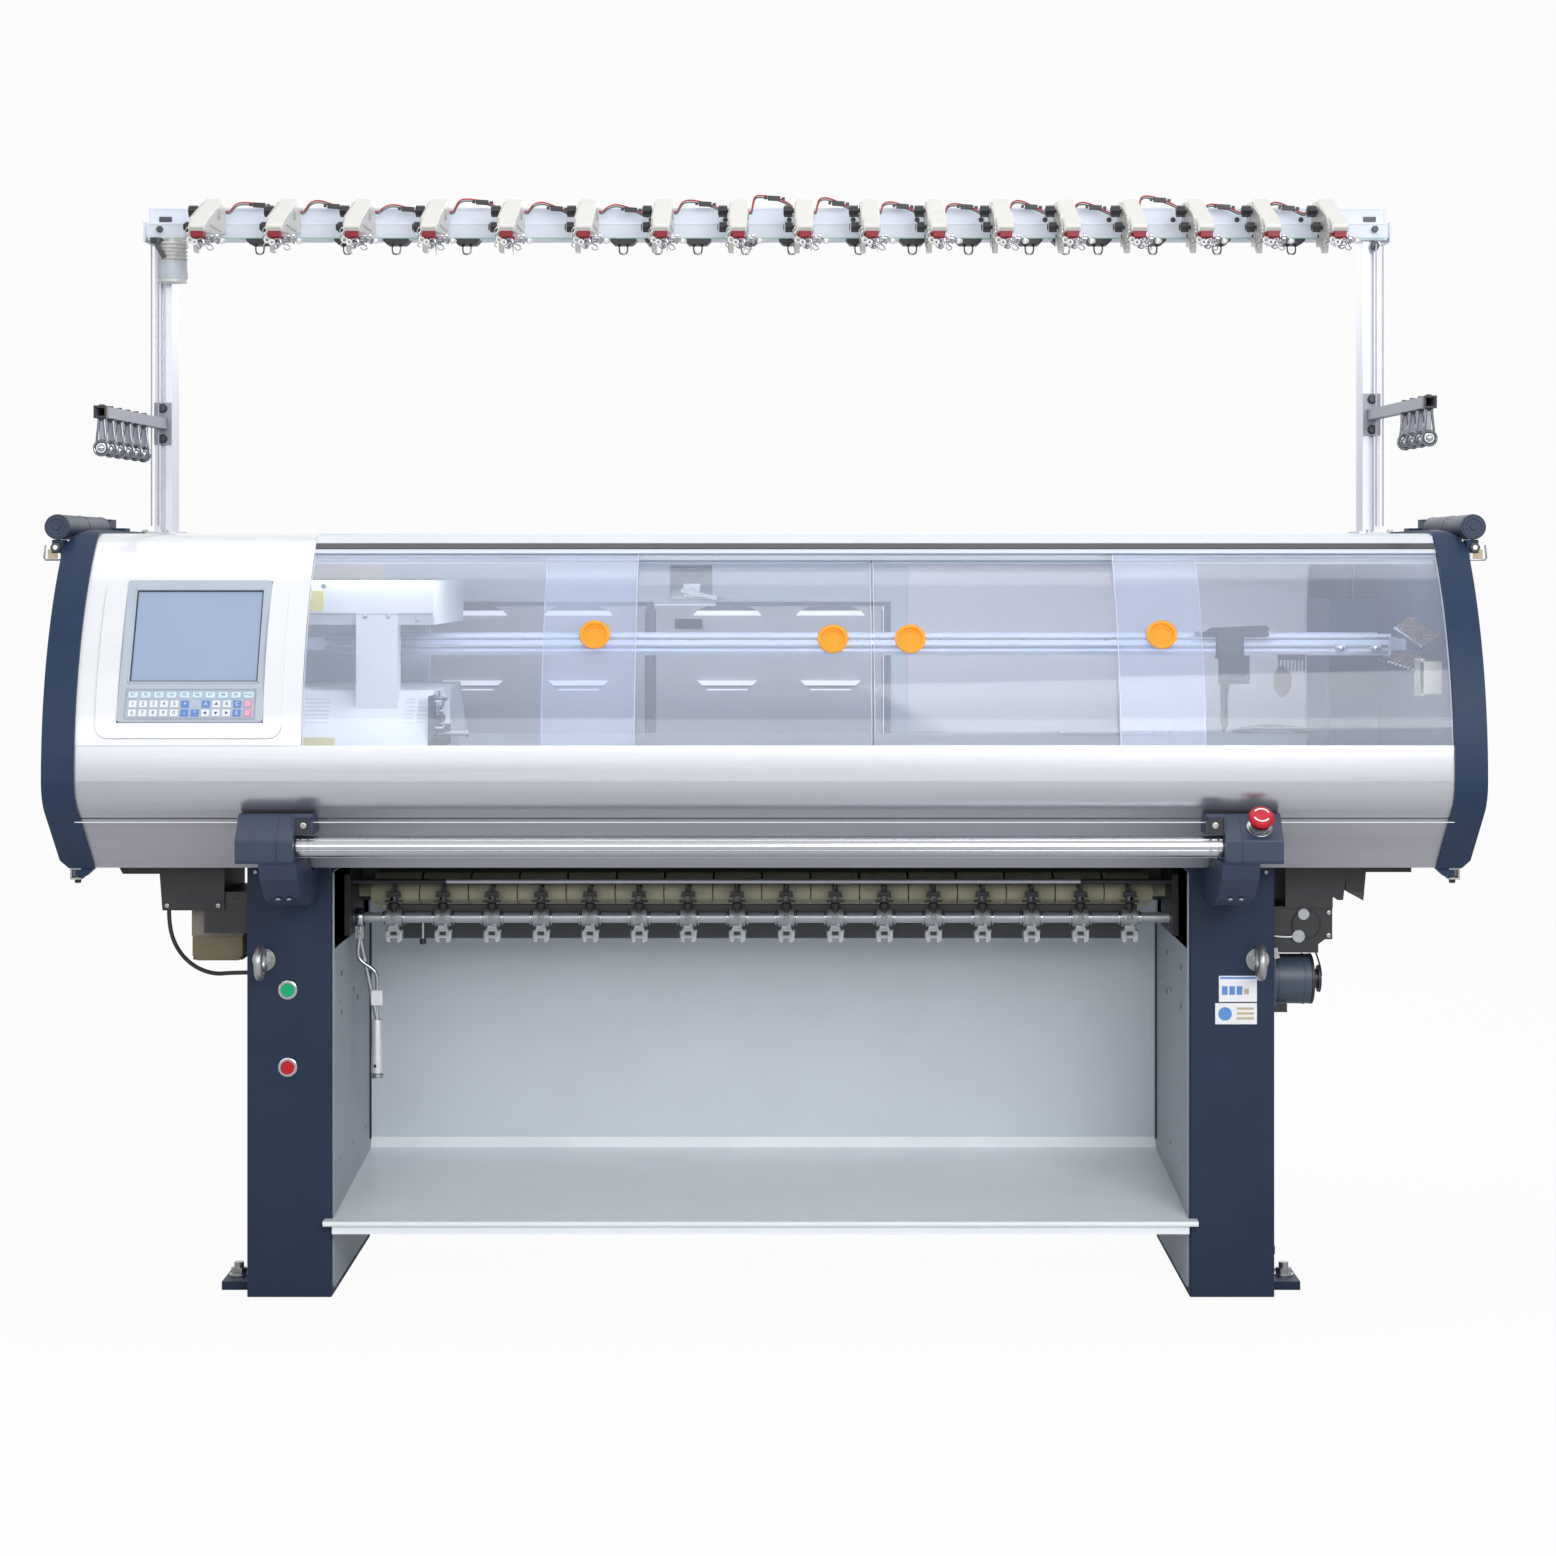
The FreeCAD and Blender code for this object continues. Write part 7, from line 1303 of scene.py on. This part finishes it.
caps.done("belt_box_caps", CAP_GREY)
Form().tube([(839, -184, 584), (852, -188.5, 583), (866, -189, 582.4), (876, -189, 583.4)], 1.3).done(
    "belt_box_wire", PLATE_WHITE, slot="zinc_steel")
pulley = Form().lathe([(0, 40.9), (0.6, 41.6), (4.6, 41.6), (5.2, 40.4), (5.2, 15.9), (16, 15.9), (16.8, 22.6),
                       (18.6, 22.8), (19.2, 21.0), (19.2, 7), (17.6, 5), (17.6, 0.6)],
                      (906, MOTOR_Y, MOTOR_Z), RIGHT, 56)
pulley.tube([(917, -150, 556), (921, -152, 545), (925, -158, 528), (925.6, -164, 515)], 1.6)
pulley.box(838.2, 868, -171, -129, 456, 470).done("motor_pulley_cover", BLACK, bevel=0.5)
for x in MOTOR_BANDS:
    bands.hoop((x, MOTOR_Y, MOTOR_Z), RIGHT, 1.6, 1.2, 41.0, 41.9, 56)
bands.done("motor_bands", MOTOR_GREY)

# ------------ painted highlight along the panel seam, and sheet fixings
Form().box(-1071.5, 1087.5, -433.4, -432.0, 790.4, 791.6).done("panel_seam_line", SEAM_HIGHLIGHT)
# each row: how many, the first X, the pitch, Y and the heights
SHEET_ROWS = ((9, -960, 242, 440, (760, 1150)), (7, -630, 210, 228, (600, 200)))
screws = Form()
for count, first, pitch, y, heights in SHEET_ROWS:
    for index in range(count):
        for z in heights:
            screws.screw((first + index * pitch, y, z), REAR, 4.6, 2.4)
screws.done("sheet_screws", ZINC)

# ------------ floor, lamps and world
FLOOR = 14.0


def pale_rays(tree, kinds):
    """1 for the named kinds of ray, 0 for the rays that light the object."""
    path = tree.nodes.new("ShaderNodeLightPath")
    found = path.outputs[kinds[0]]
    for kind in kinds[1:]:
        either = tree.nodes.new("ShaderNodeMath")
        either.operation = "MAXIMUM"
        tree.links.new(found, either.inputs[0])
        tree.links.new(path.outputs[kind], either.inputs[1])
        found = either.outputs["Value"]
    return found


def floor_material():
    made = bpy.data.materials.new("floor")
    made.use_nodes = True
    tree = made.node_tree
    link = linker(tree)
    tree.nodes.remove(tree.nodes["Principled BSDF"])
    plain = node(tree, "ShaderNodeBsdfDiffuse", Color=(0.80, 0.80, 0.81, 1))
    glow = node(tree, "ShaderNodeEmission", Color=(1, 1, 1, 1), Strength=1.0)
    share = tree.nodes.new("ShaderNodeMath")
    share.operation = "MULTIPLY"
    share.inputs[1].default_value = 0.95
    tree.links.new(pale_rays(tree, ("Is Camera Ray", "Is Transmission Ray")), share.inputs[0])
    mixed = tree.nodes.new("ShaderNodeMixShader")
    link(share, "Value", mixed, "Fac")
    link(plain, "BSDF", mixed, 1)
    link(glow, "Emission", mixed, 2)
    link(mixed, "Shader", tree.nodes["Material Output"], "Surface")
    return made


floor_mesh = bpy.data.meshes.new("floor")
corners = ((-FLOOR, -FLOOR, 0), (FLOOR, -FLOOR, 0), (FLOOR, FLOOR, 0), (-FLOOR, FLOOR, 0))
floor_mesh.from_pydata(corners, [], [(0, 1, 2, 3)])
floor_mesh.materials.append(floor_material())
floor = bpy.data.objects.new("floor", floor_mesh)
bpy.context.scene.collection.objects.link(floor)

world = bpy.data.worlds.new("studio")
world.use_nodes = True
tree = world.node_tree
link = linker(tree)
sky = tree.nodes["Background"]
sky.inputs["Color"].default_value = (0.96, 0.98, 1.0, 1)
sky.inputs["Strength"].default_value = 0.44
white = node(tree, "ShaderNodeBackground", Color=(1, 1, 1, 1), Strength=0.97)
mixed = tree.nodes.new("ShaderNodeMixShader")
tree.links.new(pale_rays(tree, ("Is Camera Ray", "Is Glossy Ray", "Is Transmission Ray")), mixed.inputs["Fac"])
link(sky, "Background", mixed, 1)
link(white, "Background", mixed, 2)
link(mixed, "Shader", tree.nodes["World Output"], "Surface")
bpy.context.scene.world = world


def lamp(name, place, target, size, power):
    data = bpy.data.lights.new(name, "AREA")
    data.shape = "RECTANGLE"
    data.size, data.size_y = size
    data.energy = power
    made = bpy.data.objects.new(name, data)
    made.location = place
    made.rotation_euler = (Vector(target) - Vector(place)).to_track_quat("-Z", "Y").to_euler()
    bpy.context.scene.collection.objects.link(made)


lamp("key", (1.9, -4.6, 3.0), (0, 0, 0.7), (3.2, 1.8), 100)
lamp("front", (0.1, -5.9, 2.3), (0, 0, 0.8), (5.2, 1.0), 62)
lamp("fill", (-2.8, -3.6, 2.2), (0, 0, 0.9), (2.4, 2.4), 16)
lamp("inside", (0.1, -0.235, 1.205), (0.1, 0.42, 0.98), (1.9, 0.05), 3.4)
lamp("over", (0, -0.4, 4.4), (0, 0, 0.9), (4.0, 1.6), 52)
lamp("rear", (0.4, 4.2, 2.8), (0, 0, 0.9), (3.2, 2.0), 46)

bpy.context.scene.view_settings.view_transform = "Standard"
